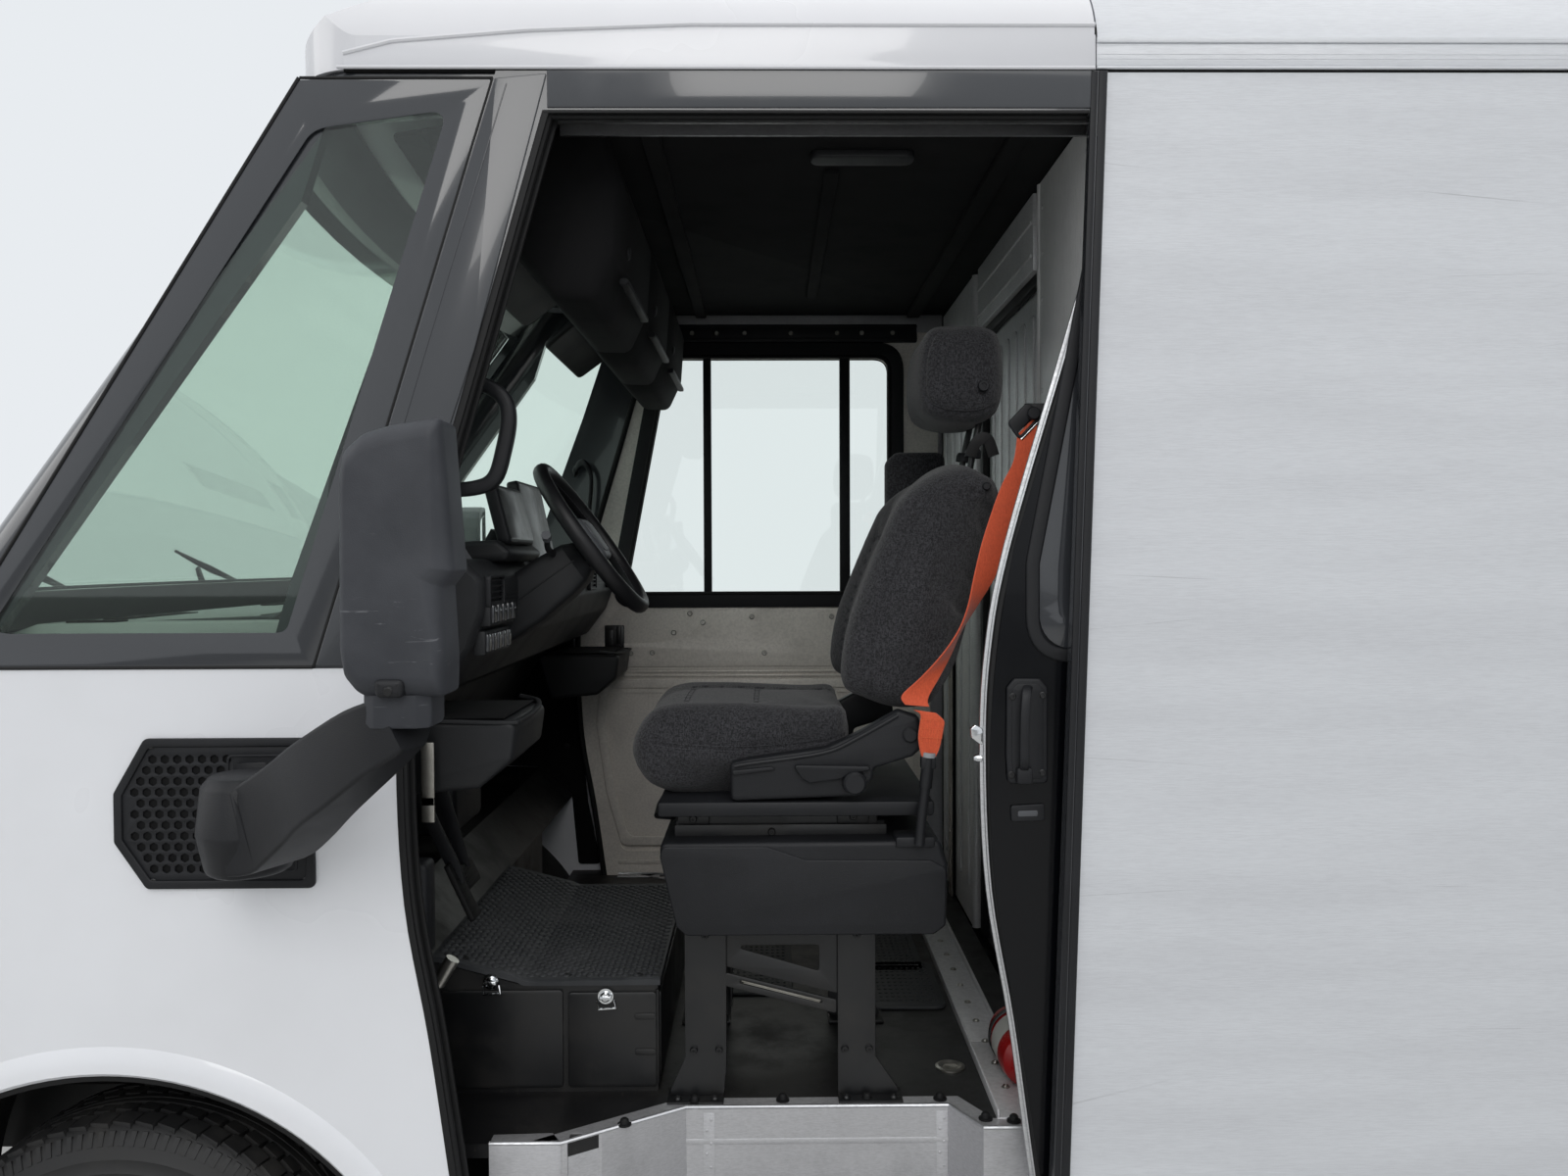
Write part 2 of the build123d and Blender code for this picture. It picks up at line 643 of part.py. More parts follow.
# Cab ceiling and the storage shelf above the windshield
ceiling_z = gutter_z - 25
ceiling_half = pocket_wall_y - 10
shelf_half = ceiling_half - 80
with BuildPart() as ceiling:
    level_plate([(bulkhead_x + 8, -ceiling_half), (1380, -ceiling_half), (1440, 40 - ceiling_half),
                 (1700, 140 - ceiling_half), (1760, 0), (1700, ceiling_half - 140), (1440, ceiling_half - 40),
                 (1380, ceiling_half), (bulkhead_x + 8, ceiling_half)], (ceiling_z, ceiling_z + 12))
    side_plate([(1270, ceiling_z), (1270, 2300), (1310, 2215), (1380, 2215), (1560, 2400), (1640, ceiling_z)],
               (-shelf_half, shelf_half), 12)
    side_plate([(1300, ceiling_z - 25), (1300, 2330), (1560, 2430), (1600, ceiling_z - 25)],
               (20 - shelf_half, -30), 12, mode=Mode.SUBTRACT)
save(ceiling, "cab_ceiling")

# Rails of the sliding doors: the channel they hang in and the grooved sill their feet run in
track_clear = 8
lip = 6
channel_y = (door_inner_y - track_clear, door_outer_y + track_clear)
with BuildPart() as door_rails:
    block((pocket_rear_x + 10, 1362), (channel_y[0] - lip, channel_y[1] + lip), (2470, gutter_z))
    block((pocket_rear_x + 9, 1363), channel_y, (2400, gutter_z - 12), mode=Mode.SUBTRACT)
    block((pocket_rear_x + 10, 1362), (channel_y[1], inner_side), (gutter_z - 12, gutter_z))
    block((pocket_rear_x + 10, 1494), (channel_y[0] - 2, inner_side), (rocker_z - 20, rocker_z + 10))
    block((pocket_rear_x + 10, 1494), (channel_y[1], inner_side), (rocker_z, rocker_z + 30))
    block((545, 1490), (inner_side, side - 4), (rocker_z - 20, rocker_z + 30))
    both_sides()
save(door_rails, "door_rails")

# Gloss black surround of each doorway: pillar trim, header and the upright strip at the cargo side
with BuildPart() as surrounds:
    side_plate([(1624, belt_z + 2), (1758, belt_z + 2), (1450, gutter_z - 3), (1355, gutter_z - 3), (1355, 2478),
                (1374, 2478), (1586, 1756)], (side - pane, side + 2))
    side_plate([(seam_x + 3, gutter_z - 3), (seam_x + 5, 2478), (1371, 2478), (1365, gutter_z - 3)],
               (inner_side, side + 2))
    side_plate([(440, gutter_z - 3), (499, 691), (509, rocker_z), (537, rocker_z), (527, 691), (463, gutter_z - 3)],
               (inner_side, side + 5))
    both_sides()
save(surrounds, "doorway_surrounds")

# Cargo sides, one wide plate each with its wheel arch
side_front = [(439, gutter_z), (498, 691), (508, rocker_z)]
with BuildPart() as cargo_sides:
    side_plate([(cargo_end_x, gutter_z), (cargo_end_x, 470), (cargo_end_x + 60, 430), (cargo_end_x + 520, rocker_z),
                side_front[2], side_front[1], side_front[0]], (inner_side, side))
    with BuildSketch(Plane.XZ.offset(-inner_side + 1)):
        with Locations((rear_axle_x, arch_centre_z)):
            Circle(rear_arch_radius)
    extrude(amount=-body_wall - 2, mode=Mode.SUBTRACT)
    both_sides()
save(cargo_sides, "cargo_sides")

# Pocket walls that part the load space from the doors, closed behind the opened door
with BuildPart() as pockets:
    block((pocket_rear_x, bulkhead_x + bulkhead_thickness), (pocket_wall_y - pocket_wall, pocket_wall_y),
          (rocker_z + 20, gutter_z))
    block((pocket_rear_x, pocket_rear_x + pocket_wall), (pocket_wall_y - pocket_wall, inner_side),
          (rocker_z + 20, gutter_z))
    both_sides()
save(pockets, "door_pockets")

# Load floor, notched round the rear wheels
house_reach = rear_arch_radius + 20
with BuildPart() as cargo_floor:
    block((cargo_end_x, bulkhead_x), (-ceiling_half, ceiling_half), (floor_z - floor_thickness, floor_z))
    for hand in (1, -1):
        block((rear_axle_x - house_reach, rear_axle_x + house_reach), (hand * (rear_house_y - 10), hand * side),
              (600, 800), mode=Mode.SUBTRACT)
save(cargo_floor, "cargo_floor")

# Bulkhead with its doorway, stiffened by pressed ribs, and the panel that slides behind it
walk_y = (seat_y - 800, seat_y - 100)
bulkhead_half = pocket_wall_y - pocket_wall
walk_top = 2330
rib_rows = 9
with BuildPart() as bulkhead:
    cross_plate([(-bulkhead_half, floor_z), (-bulkhead_half, ceiling_z), (bulkhead_half, ceiling_z),
                 (bulkhead_half, floor_z), (walk_y[1], floor_z), (walk_y[1], walk_top), (walk_y[0], walk_top),
                 (walk_y[0], floor_z)], (bulkhead_x + 8, bulkhead_x + 14))
    for y in (17 - bulkhead_half, walk_y[0] - 20, walk_y[1] + 20, bulkhead_half - 17):
        block((bulkhead_x + 8, bulkhead_x + bulkhead_thickness), (y - 16, y + 16), (floor_z, ceiling_z))
    block((bulkhead_x + 8, bulkhead_x + bulkhead_thickness), (1 - bulkhead_half, bulkhead_half - 1),
          (ceiling_z - 40, ceiling_z))
    block((bulkhead_x - 30, bulkhead_x + 8), (12 - bulkhead_half, walk_y[1] + 60), (walk_top + 46, walk_top + 90))
    block((bulkhead_x + 14, 475), (seat_near + 10, seat_near + 60), (1930, 2090))
    block((470, 540), (seat_near + 30, seat_near + 41.7), (1960, 2060))
save(bulkhead, "bulkhead")

walk_travel = 600
with BuildPart() as walk_door:
    block((bulkhead_x - 26, bulkhead_x + 2), (walk_y[0] - 40, walk_y[1] + 40), (floor_z + 8, walk_top + 40))
    for row in range(rib_rows):
        z = floor_z + 110 + row * 175
        block((bulkhead_x - 40, bulkhead_x - 30), (walk_y[0] + 20, walk_y[1] - 20), (z, z + 90),
              mode=Mode.SUBTRACT)
        block((bulkhead_x - 27, bulkhead_x - 18), (walk_y[0] + 20, walk_y[1] - 20), (z, z + 90),
              mode=Mode.SUBTRACT)
    for y in (walk_y[0] + 80, walk_y[1] - 80):
        block((bulkhead_x - 22, bulkhead_x - 6), (y - 30, y + 30), (walk_top + 40, walk_top + 46 - seat_gap))
save(walk_door, "bulkhead_door")

# Rear frame, roll-up door with its slats, step bumper and lamps
rear_post = 180
rear_open_half = side - rear_post
rear_open_z = (floor_z, 2430)
with BuildPart() as rear_frame:
    extrude(roof_section(Plane.YZ.offset(rear_frame_x), 0, gutter_z - 470), amount=50)
    block((rear_frame_x - 1, rear_frame_x + 51), (-rear_open_half, rear_open_half), rear_open_z, mode=Mode.SUBTRACT)
save(rear_frame, "rear_frame")

slat_rows = 8
slat_height = (rear_open_z[1] - rear_open_z[0]) / slat_rows
with BuildPart() as rear_door:
    block((rear_frame_x + 22, rear_frame_x + 34), (-rear_open_half, rear_open_half), rear_open_z)
    for row in range(slat_rows):
        z = rear_open_z[0] + row * slat_height
        block((rear_frame_x + 12, rear_frame_x + 22), (8 - rear_open_half, rear_open_half - 8),
              (z + 6, z + slat_height - 6))
save(rear_door, "rear_door")

with BuildPart() as rear_bumper:
    block((tail_x, rear_frame_x), (40 - side, side - 40), (430, 560))
    fillet(rear_bumper.edges().filter_by(Axis.Z).group_by(Axis.X)[0], 25)
    with BuildSketch(Plane.YZ.offset(tail_x)):
        with Locations((tow_y, 495)):
            Circle(tow_radius)
    extrude(amount=rear_frame_x - tail_x, mode=Mode.SUBTRACT)
save(rear_bumper, "bumper_rear")

with BuildPart() as tail_lamps:
    with BuildSketch(Plane.YZ.offset(rear_frame_x)):
        with Locations((side - rear_post / 2, 1250), (rear_post / 2 - side, 1250)):
            SlotOverall(420, 90, rotation=90)
        with Locations((side - 160, 2520), (160 - side, 2520)):
            SlotOverall(150, 34)
    extrude(amount=-16)
save(tail_lamps, "tail_lamps")

# Dashboard, its two screens and the steering column
dash_end = side - 115
column = Plane(steering_centre, x_dir=(0, 1, 0), z_dir=(-math.cos(math.radians(steering_tilt)), 0,
                                                      math.sin(math.radians(steering_tilt))))
with BuildPart() as dash:
    side_plate([(2360, 1585), (1900, 1700), (1640, 1738), (1530, 1728), (1504, 1690), (1512, 1560), (1560, 1500),
                (1720, 1440), (1900, 1190), (2441, 1200), (2457, 1400)], (-dash_end, dash_end))
    with BuildSketch(column.offset(-30 - seat_gap)):
        Circle(44)
    extrude(amount=-210)
    side_plate([(1492, 1762), (1484, 1772), (1545, 1884), (1558, 1878), (1540, 1800), (1590, 1730), (1545, 1722)],
               (seat_y - 120, seat_y + 130), 4)
    side_plate([(1510, 1745), (1502, 1750), (1572, 1905), (1584, 1900), (1545, 1810), (1600, 1730), (1545, 1722)],
               (seat_y - 490, seat_y - 220), 3)
save(dash, "dashboard")

spoke_angles = (0, 90, 180)
spoke_length = 150
with BuildPart() as wheel:
    with Locations(column):
        Torus(steering_radius - steering_rim, steering_rim)
    with BuildSketch(column.offset(-30)):
        Circle(62)
    extrude(amount=34)
    with BuildSketch(column.offset(-20)):
        for angle in spoke_angles:
            with PolarLocations(spoke_length / 2 + 10, 1, angle):
                Rectangle(spoke_length, 44)
    extrude(amount=14)
save(wheel, "steering_wheel")

# Driver's seat on its base: cushion, back with head restraint, recliner covers, rails and legs
with BuildPart() as cushion:
    side_plate([(1268, 1405), (1262, 1335), (1228, 1296), (880, 1296), (852, 1400), (856, 1456), (1100, 1478),
                (1236, 1462)], (seat_far, seat_near), 14)
save(cushion, "seat_cushion")

with BuildPart() as backrest:
    side_plate([(866, 1512), (847, 1608), (791, 1773), (726, 1902), (643, 1938), (588, 1934), (551, 1920),
                (607, 1754), (653, 1570), (722, 1440), (800, 1470)], (seat_far, seat_near), 12)
    side_plate([(700, 1998), (717, 2040), (700, 2180), (670, 2195), (570, 2190), (546, 2160), (542, 2020), (560, 1998)],
               (seat_y - 145, seat_y + 145), 12)
    for y in (-60, 60):
        with BuildSketch(Plane((622, seat_y + y, 1998), z_dir=(0, 0, -1))):
            Circle(7)
        extrude(amount=90)
save(backrest, "seat_back")

recliner_thickness = 38
leg_table = ((807, 877, 748, 877), (1088, 1168, 1088, 1200))  # leg x from, to, foot x from, to
leg_y = 190
with BuildPart() as seat_base:
    side_plate([(1077, 1290), (1060, 1345), (860, 1392), (760, 1461), (690, 1455), (677, 1400), (700, 1290)],
               (seat_near + seat_gap, seat_near + recliner_thickness), 10)
    side_plate([(1077, 1290), (1060, 1345), (860, 1392), (760, 1461), (690, 1455), (677, 1400), (700, 1290)],
               (seat_far - recliner_thickness, seat_far - seat_gap), 10)
    block((700, 1220), (seat_far - recliner_thickness, seat_near + recliner_thickness), (1262, 1296 - seat_gap))
    for y in (seat_y - 190, seat_y + 190):
        block((748, 1178), (y - 22, y + 22), (1224, 1262))
    side_plate([(1208, 1222), (1176, 1053), (1150, 1040), (698, 1037), (676, 1068), (676, 1195), (707, 1224)],
               (seat_y - 290, seat_y + 290), 8)
    block((700, 1150), (seat_y - 265, seat_y + 265), (1000, 1195), mode=Mode.SUBTRACT)
    for low, high, foot_low, foot_high in leg_table:
        for hand in (1, -1):
            block((low, high), (seat_y + hand * leg_y, seat_y + hand * (leg_y + 15)), (floor_z, 1200))
            block((foot_low, foot_high), (seat_y + hand * (leg_y - 15), seat_y + hand * (leg_y + 20)),
                  (floor_z, floor_z + 15))
    side_plate([(877, 980), (1088, 900), (1088, 860), (877, 940)], (seat_y + leg_y, seat_y + leg_y + 8))
    # stalk of the belt's lower end
    side_plate([(690, 1395), (730, 1395), (752, 1200), (712, 1200)], (seat_near + 46.3, seat_near + 70))
    block((700, 770), (seat_y + 280, seat_near + 70), (1185, 1215))
save(seat_base, "seat_base")

# Seat belt: the webbing from its upper anchor to the tab on the stalk
with BuildPart() as belt:
    side_plate([(500, 1990), (548, 1950), (735, 1500), (745, 1440), (700, 1365), (660, 1385), (690, 1450),
                (672, 1500)], (seat_near + 42, seat_near + 46))
save(belt, "seat_belt")

# Grab handles on the front pillars
handle_y = side - 115
with BuildPart() as handles:
    with BuildSketch(Plane.XZ.offset(-handle_y)):
        with Locations((1495, 1950)):
            Ellipse(52, 118, rotation=14)
            Ellipse(28, 92, rotation=14, mode=Mode.SUBTRACT)
    extrude(amount=28)
    block((1525, 1640), (handle_y - 28, handle_y - 8), (1845, 1872))
    block((1600, 1640), (handle_y - 28, inner_side - pane), (1845, 1872))
    block((1515, 1610), (handle_y - 28, handle_y - 8), (2010, 2034))
    block((1575, 1610), (handle_y - 28, inner_side - pane), (2010, 2034))
    both_sides()
save(handles, "grab_handles")

# Vent plates on the body sides, perforated in staggered rows, each with the saddle of its mirror's hub
vent_outline = [(2093, 1351), (2041, 1442), (1764, 1442), (1761, 1191), (2040, 1193), (2091, 1269)]
vent_plate = 8
hole_pitch = 27
mirror_swing = 94
hub_radius = 76
hub_z = (1232, 1403)
hub_fit = 0.5
mirror_pivot = (1832, side + vent_plate + hub_radius + 6)
with BuildPart() as vents:
    side_plate(vent_outline, (side, side + vent_plate), 14)
    block((mirror_pivot[0] - 55, mirror_pivot[0] + 55), (side + vent_plate, side + vent_plate + 26),
          (hub_z[0] + 22, hub_z[1] - 22))
    with BuildSketch(Plane.XY.offset(hub_z[0])):
        with Locations(mirror_pivot):
            Circle(hub_radius + hub_fit)
    extrude(amount=hub_z[1] - hub_z[0], mode=Mode.SUBTRACT)
    with BuildSketch(Plane.XZ.offset(-side + 1)):
        with Locations((2015, 1320)):
            with HexLocations(hole_pitch / math.sqrt(3), 3, 7):
                RegularPolygon(9, 6)
    extrude(amount=-10, mode=Mode.SUBTRACT)
    both_sides()
save(vents, "vent_plates")

# Folding mirrors: the left one is folded back along the body, the right one stands out
head_x = (1452, 1606)
head_y = (side + 280, side + 390)
head_z = (1541, 1930)
head_corner = 34
glass_border = 14


def mirror_parts(hand):
    with BuildPart() as arm:
        with BuildSketch(Plane.XY.offset(hub_z[0])):
            with Locations(mirror_pivot):
                Circle(hub_radius)
        extrude(amount=hub_z[1] - hub_z[0])
        fillet(arm.edges(), 14)
        with BuildSketch(Plane((mirror_pivot[0] - 20, mirror_pivot[1] + 6, 1322), x_dir=(0, 1, 0),
                               z_dir=(-0.81, 0, 0.58))):
            RectangleRounded(112, 136, 30)
        with BuildSketch(Plane((1530, sum(head_y) / 2, 1550), x_dir=(0, 1, 0), z_dir=(-0.3, 0, 0.95))):
            RectangleRounded(80, 96, 28)
        loft()
        with BuildSketch(Plane.XY.offset(head_z[0])):
            with Locations((sum(head_x) / 2, sum(head_y) / 2)):
                RectangleRounded(head_x[1] - head_x[0], head_y[1] - head_y[0], head_corner)
        extrude(amount=head_z[1] - head_z[0])
        chamfer(arm.faces().sort_by(Axis.Z)[-1].edges(), 20)
        block((head_x[0] + glass_border, head_x[1] - glass_border), (head_y[0] - 5, head_y[0] + 8),
              (head_z[0] + 22, head_z[1] - 28), mode=Mode.SUBTRACT)
    with BuildPart() as glass:
        block((head_x[0] + glass_border, head_x[1] - glass_border), (head_y[0] + 3, head_y[0] + 8),
              (head_z[0] + 22, head_z[1] - 28))
    placed = []
    for piece in (arm.part, glass.part):
        if hand < 0:
            piece = piece.mirror(Plane.XZ)
            piece = piece.rotate(Axis((mirror_pivot[0], -mirror_pivot[1], 0), (0, 0, 1)), mirror_swing)
        placed.append(piece)
    return placed


for name, hand in (("left", 1), ("right", -1)):
    arm_shape, glass_shape = mirror_parts(hand)
    with BuildPart() as mirror_arm:
        add(arm_shape)
    save(mirror_arm, f"mirror_{name}")
    with BuildPart() as mirror_glass:
        add(glass_shape)
    save(mirror_glass, f"mirror_glass_{name}")

# Sliding doors: drawn shut, the left one then stands open in its pocket
window_shut = [(600, 1625), (1452, 1625), (1452, 1700), (1320, 2392), (600, 2392)]
window_corner = 45
for name, hand, shift in (("left", 1, -door_travel), ("right", -1, 0)):
    move = shift + door_overlap
    plane = Plane.XZ.offset(-hand * door_inner_y)
    grow = -hand * door_thickness
    with BuildPart() as door:
        with BuildSketch(plane):
            with BuildLine():
                Line((door_rear_x + move, door_top_z), (1366 + move, door_top_z))
                Line((1366 + move, door_top_z), (1372 + move, 2481))
                doorway_edge(move, door_bottom_z)
                Line((1496 + move, door_bottom_z), (door_rear_x + 60 + move, door_bottom_z))
                Line((door_rear_x + 60 + move, door_bottom_z), (door_rear_x + move, door_top_z))
            make_face()
        extrude(amount=grow)
        window = shape_on(plane, [(x + move, z) for x, z in window_shut], window_corner)
        extrude(window, amount=grow, mode=Mode.SUBTRACT)
        recess = shape_on(plane, [(560 + move, 780), (1480 + move, 780), (1540 + move, 1130), (1540 + move, 1300),
                                  (560 + move, 1300)], 30)
        extrude(recess, amount=-hand * 8, mode=Mode.SUBTRACT)
        for x in (560, 1240):
            block((x + move, x + 60 + move), (hand * (door_inner_y + 12), hand * (door_inner_y + 28)),
                  (door_top_z - 1, gutter_z - 12 - seat_gap))
    save(door, f"door_{name}")
    with BuildPart() as door_glass:
        extrude(window, amount=-hand * 22)
        extrude(window, amount=-hand * 16, mode=Mode.SUBTRACT)
    save(door_glass, f"door_glass_{name}")

# Fire extinguisher that lies by the bulkhead
extinguisher_radius = 58
extinguisher_base = (bulkhead_x + bulkhead_thickness + extinguisher_radius + 2, seat_y + 10,
                     floor_z + extinguisher_radius)
with BuildPart() as extinguisher:
    with BuildSketch(Plane(extinguisher_base, x_dir=(1, 0, 0), z_dir=(0, 1, 0))):
        Circle(extinguisher_radius)
    extrude(amount=190)
    fillet(extinguisher.edges().sort_by(Axis.Y)[-1], 20)
save(extinguisher, "fire_extinguisher")
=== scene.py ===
import json
import math
import time

import bmesh
import bpy
from mathutils import Matrix, Vector
from mathutils.bvhtree import BVHTree
from mathutils.kdtree import KDTree

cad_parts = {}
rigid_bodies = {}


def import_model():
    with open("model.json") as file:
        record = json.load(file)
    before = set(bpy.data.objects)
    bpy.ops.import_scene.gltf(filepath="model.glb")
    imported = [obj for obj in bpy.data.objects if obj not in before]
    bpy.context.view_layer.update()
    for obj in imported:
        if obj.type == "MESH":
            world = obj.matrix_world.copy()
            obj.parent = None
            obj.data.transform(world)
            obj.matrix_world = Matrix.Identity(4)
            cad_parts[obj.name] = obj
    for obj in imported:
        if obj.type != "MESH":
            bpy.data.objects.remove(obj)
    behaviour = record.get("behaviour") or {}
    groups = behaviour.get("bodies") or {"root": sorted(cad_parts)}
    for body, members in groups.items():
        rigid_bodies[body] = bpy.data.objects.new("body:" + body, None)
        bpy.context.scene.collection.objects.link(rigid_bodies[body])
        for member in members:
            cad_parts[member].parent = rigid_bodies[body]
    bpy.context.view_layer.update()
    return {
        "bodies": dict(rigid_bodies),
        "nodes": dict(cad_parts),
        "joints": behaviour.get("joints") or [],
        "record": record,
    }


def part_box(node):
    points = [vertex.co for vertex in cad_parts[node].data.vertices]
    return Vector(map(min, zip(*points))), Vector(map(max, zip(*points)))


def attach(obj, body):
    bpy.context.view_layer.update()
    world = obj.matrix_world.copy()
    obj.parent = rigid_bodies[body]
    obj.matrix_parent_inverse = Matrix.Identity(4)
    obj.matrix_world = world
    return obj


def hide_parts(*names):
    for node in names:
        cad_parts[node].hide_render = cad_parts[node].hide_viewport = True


# Electric step-in delivery van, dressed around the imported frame.
# Metres throughout: X forward, Y to the left, Z up.

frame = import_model()
nodes = frame["nodes"]
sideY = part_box("cargo_sides")[1].y
print("frame loaded:", len(nodes), "nodes")


# Camera, matched to the photograph's horizon and verticals
cameraSettings = {"place": (1.003, 3.116, 1.737), "yaw": -0.68, "pitch": -1.35, "roll": 0.2, "lens": 28.575}


def makeCamera(c):
    yaw, pitch, roll = (math.radians(c[k]) for k in ("yaw", "pitch", "roll"))
    ahead = Vector((math.sin(yaw) * math.cos(pitch), -math.cos(yaw) * math.cos(pitch), math.sin(pitch)))
    right = ahead.cross(Vector((0, 0, 1))).normalized()
    above = right.cross(ahead)
    turnedRight = math.cos(roll) * right - math.sin(roll) * above
    turnedAbove = math.sin(roll) * right + math.cos(roll) * above
    data = bpy.data.cameras.new("photoCamera")
    data.lens = c["lens"]
    data.sensor_width = 36
    data.clip_start = 0.05
    data.clip_end = 200
    camera = bpy.data.objects.new("photoCamera", data)
    axes = Matrix((turnedRight, turnedAbove, -ahead)).transposed()
    camera.matrix_world = Matrix.Translation(c["place"]) @ axes.to_4x4()
    bpy.context.scene.collection.objects.link(camera)
    bpy.context.scene.camera = camera


makeCamera(cameraSettings)
bpy.context.scene.view_settings.view_transform = "Standard"


def tint(red, green, blue):
    # a colour as a paint chart gives it, 0 to 255, turned to the renderer's own scale
    def straight(v):
        v = v / 255
        return v / 12.92 if v <= 0.04045 else ((v + 0.055) / 1.055) ** 2.4
    return (straight(red), straight(green), straight(blue), 1)


# Node building: a wire is a socket that takes part in sums, a finish is one material
class Wire:
    def __init__(self, graph, socket):
        self.graph = graph
        self.socket = socket

    def reckon(self, operation, other, swap=False):
        pair = (other, self) if swap else (self, other)
        return self.graph.node("ShaderNodeMath", {"operation": operation}, {0: pair[0], 1: pair[1]})

    def __add__(self, other):
        return self.reckon("ADD", other)

    __radd__ = __add__

    def __sub__(self, other):
        return self.reckon("SUBTRACT", other)

    def __rsub__(self, other):
        return self.reckon("SUBTRACT", other, True)

    def __mul__(self, other):
        return self.reckon("MULTIPLY", other)

    __rmul__ = __mul__

    def __truediv__(self, other):
        return self.reckon("DIVIDE", other)

    def __rtruediv__(self, other):
        return self.reckon("DIVIDE", other, True)

    def __pow__(self, other):
        return self.reckon("POWER", other)

    def below(self, edge):
        return self.reckon("LESS_THAN", edge)

    def above(self, edge):
        return self.reckon("GREATER_THAN", edge)

    def most(self, other):
        return self.reckon("MAXIMUM", other)

    def least(self, other):
        return self.reckon("MINIMUM", other)

    def ramp(self, low, high, toLow=0.0, toHigh=1.0):
        # an eased change from one value to another between two levels
        settings = {"interpolation_type": "SMOOTHSTEP"}
        return self.graph.node("ShaderNodeMapRange", settings,
                {0: self, 1: low, 2: high, 3: toLow, 4: toHigh})


class Graph:
    def feed(self, socket, value):
        if isinstance(value, Wire):
            self.tree.links.new(value.socket, socket)
        elif value is not None:
            socket.default_value = value

    def node(self, kind, settings=None, inputs=None, out=0):
        made = self.tree.nodes.new(kind)
        for key, value in (settings or {}).items():
            if key == "stops":
                for index, (position, shade) in enumerate(value):
                    if index >= len(made.color_ramp.elements):
                        made.color_ramp.elements.new(position)
                    made.color_ramp.elements[index].position = position
                    made.color_ramp.elements[index].color = shade
            else:
                setattr(made, key, value)
        for key, value in (inputs or {}).items():
            self.feed(made.inputs[key], value)
        return Wire(self, made.outputs[out])


class Finish(Graph):
    def __init__(self, name, color=(200, 200, 200), **sockets):
        self.material = bpy.data.materials.new(name)
        self.material.use_nodes = True
        self.tree = self.material.node_tree
        self.shader = self.tree.nodes["Principled BSDF"]
        self.result = self.tree.nodes["Material Output"]
        self.color = tint(*color)
        self.shader.inputs["Base Color"].default_value = self.color
        for key, value in sockets.items():
            self.shader.inputs[key.replace("_", " ")].default_value = value
        self.coordinates = None
        self.relief = None
        finishes[name] = self

    def where(self, stretch=(1, 1, 1), turn=(0, 0, 0)):
        if self.coordinates is None:
            self.coordinates = self.node("ShaderNodeTexCoord", out="Object")
        if tuple(stretch) == (1, 1, 1) and tuple(turn) == (0, 0, 0):
            return self.coordinates
        return self.node("ShaderNodeMapping", None, {"Vector": self.coordinates, "Scale": stretch,
                "Rotation": turn})

    def axis(self, letter):
        return self.node("ShaderNodeSeparateXYZ", None, {0: self.where()}, out=letter)

    def noise(self, scale, detail=3.0, rough=0.55, stretch=(1, 1, 1), turn=(0, 0, 0), warp=0.0):
        return self.node("ShaderNodeTexNoise", None, {"Vector": self.where(stretch, turn), "Scale": scale,
                                                      "Detail": detail, "Roughness": rough,
                                                              "Distortion": warp})

    def cells(self, scale, feature="F1", stretch=(1, 1, 1), spread=1.0, turn=(0, 0, 0)):
        return self.node("ShaderNodeTexVoronoi", {"feature": feature},
                         {"Vector": self.where(stretch, turn), "Scale": scale, "Randomness": spread})

    def blendColors(self, factor, first, second):
        first = tint(*first) if isinstance(first, tuple) and len(first) == 3 else first
        second = tint(*second) if isinstance(second, tuple) and len(second) == 3 else second
        return self.node("ShaderNodeMix", {"data_type": "RGBA"}, {0: factor, 6: first, 7: second}, out=2)

    def paint(self, value):
        self.feed(self.shader.inputs["Base Color"], value)

    def rough(self, value):
        self.feed(self.shader.inputs["Roughness"], value)

    def emboss(self, height, strength, depth):
        inputs = {"Height": height, "Strength": strength, "Distance": depth}
        if self.relief:
            inputs["Normal"] = self.relief
        self.relief = self.node("ShaderNodeBump", None, inputs)
        self.feed(self.shader.inputs["Normal"], self.relief)


finishes = {}


def whitePaintFinish(name, base, dusty):
    f = Finish(name, base, Roughness=0.32, Coat_Weight=0.7, Coat_Roughness=0.06)
    film = f.noise(1.3, 4, 0.6).ramp(0.35, 0.7)
    road = f.axis("Z").ramp(0.95, 0.3) * f.noise(9, 5, 0.65, (1, 1, 0.5)).ramp(0.35, 0.75)
    f.paint(f.blendColors(film * 0.35 + road * 0.2, base, dusty))
    f.rough(0.27 + film * 0.08 + road * 0.25)
    f.emboss(f.noise(330, 2, 0.5), 0.05, 0.0006)


def cargoWhiteFinish():
    # brush-wiped panels: fine level streaks, with a few long hairline scratches
    f = Finish("cargoWhite", (211, 214, 219), Roughness=0.42, Coat_Weight=0.2, Coat_Roughness=0.2)
    fine = f.noise(60, 5, 0.7, (0.6, 1, 9)).ramp(0.3, 0.75)
    wide = f.noise(3.0, 4, 0.6, (0.35, 1, 3)).ramp(0.35, 0.7)
    hair = f.cells(1.9, "DISTANCE_TO_EDGE", (0.22, 1, 2.6), 1.0, (0, 0.06, 0)).below(0.0016)
    hair = hair * f.noise(2.6, 2, 0.5).ramp(0.5, 0.62)
    shade = f.blendColors(fine * 0.5 + wide * 0.35, (217, 220, 225), (196, 198, 203))
    f.paint(f.blendColors(hair * 0.45, shade, (150, 152, 156)))
    f.rough(0.36 + fine * 0.16)
    f.emboss(fine, 0.14, 0.0006)


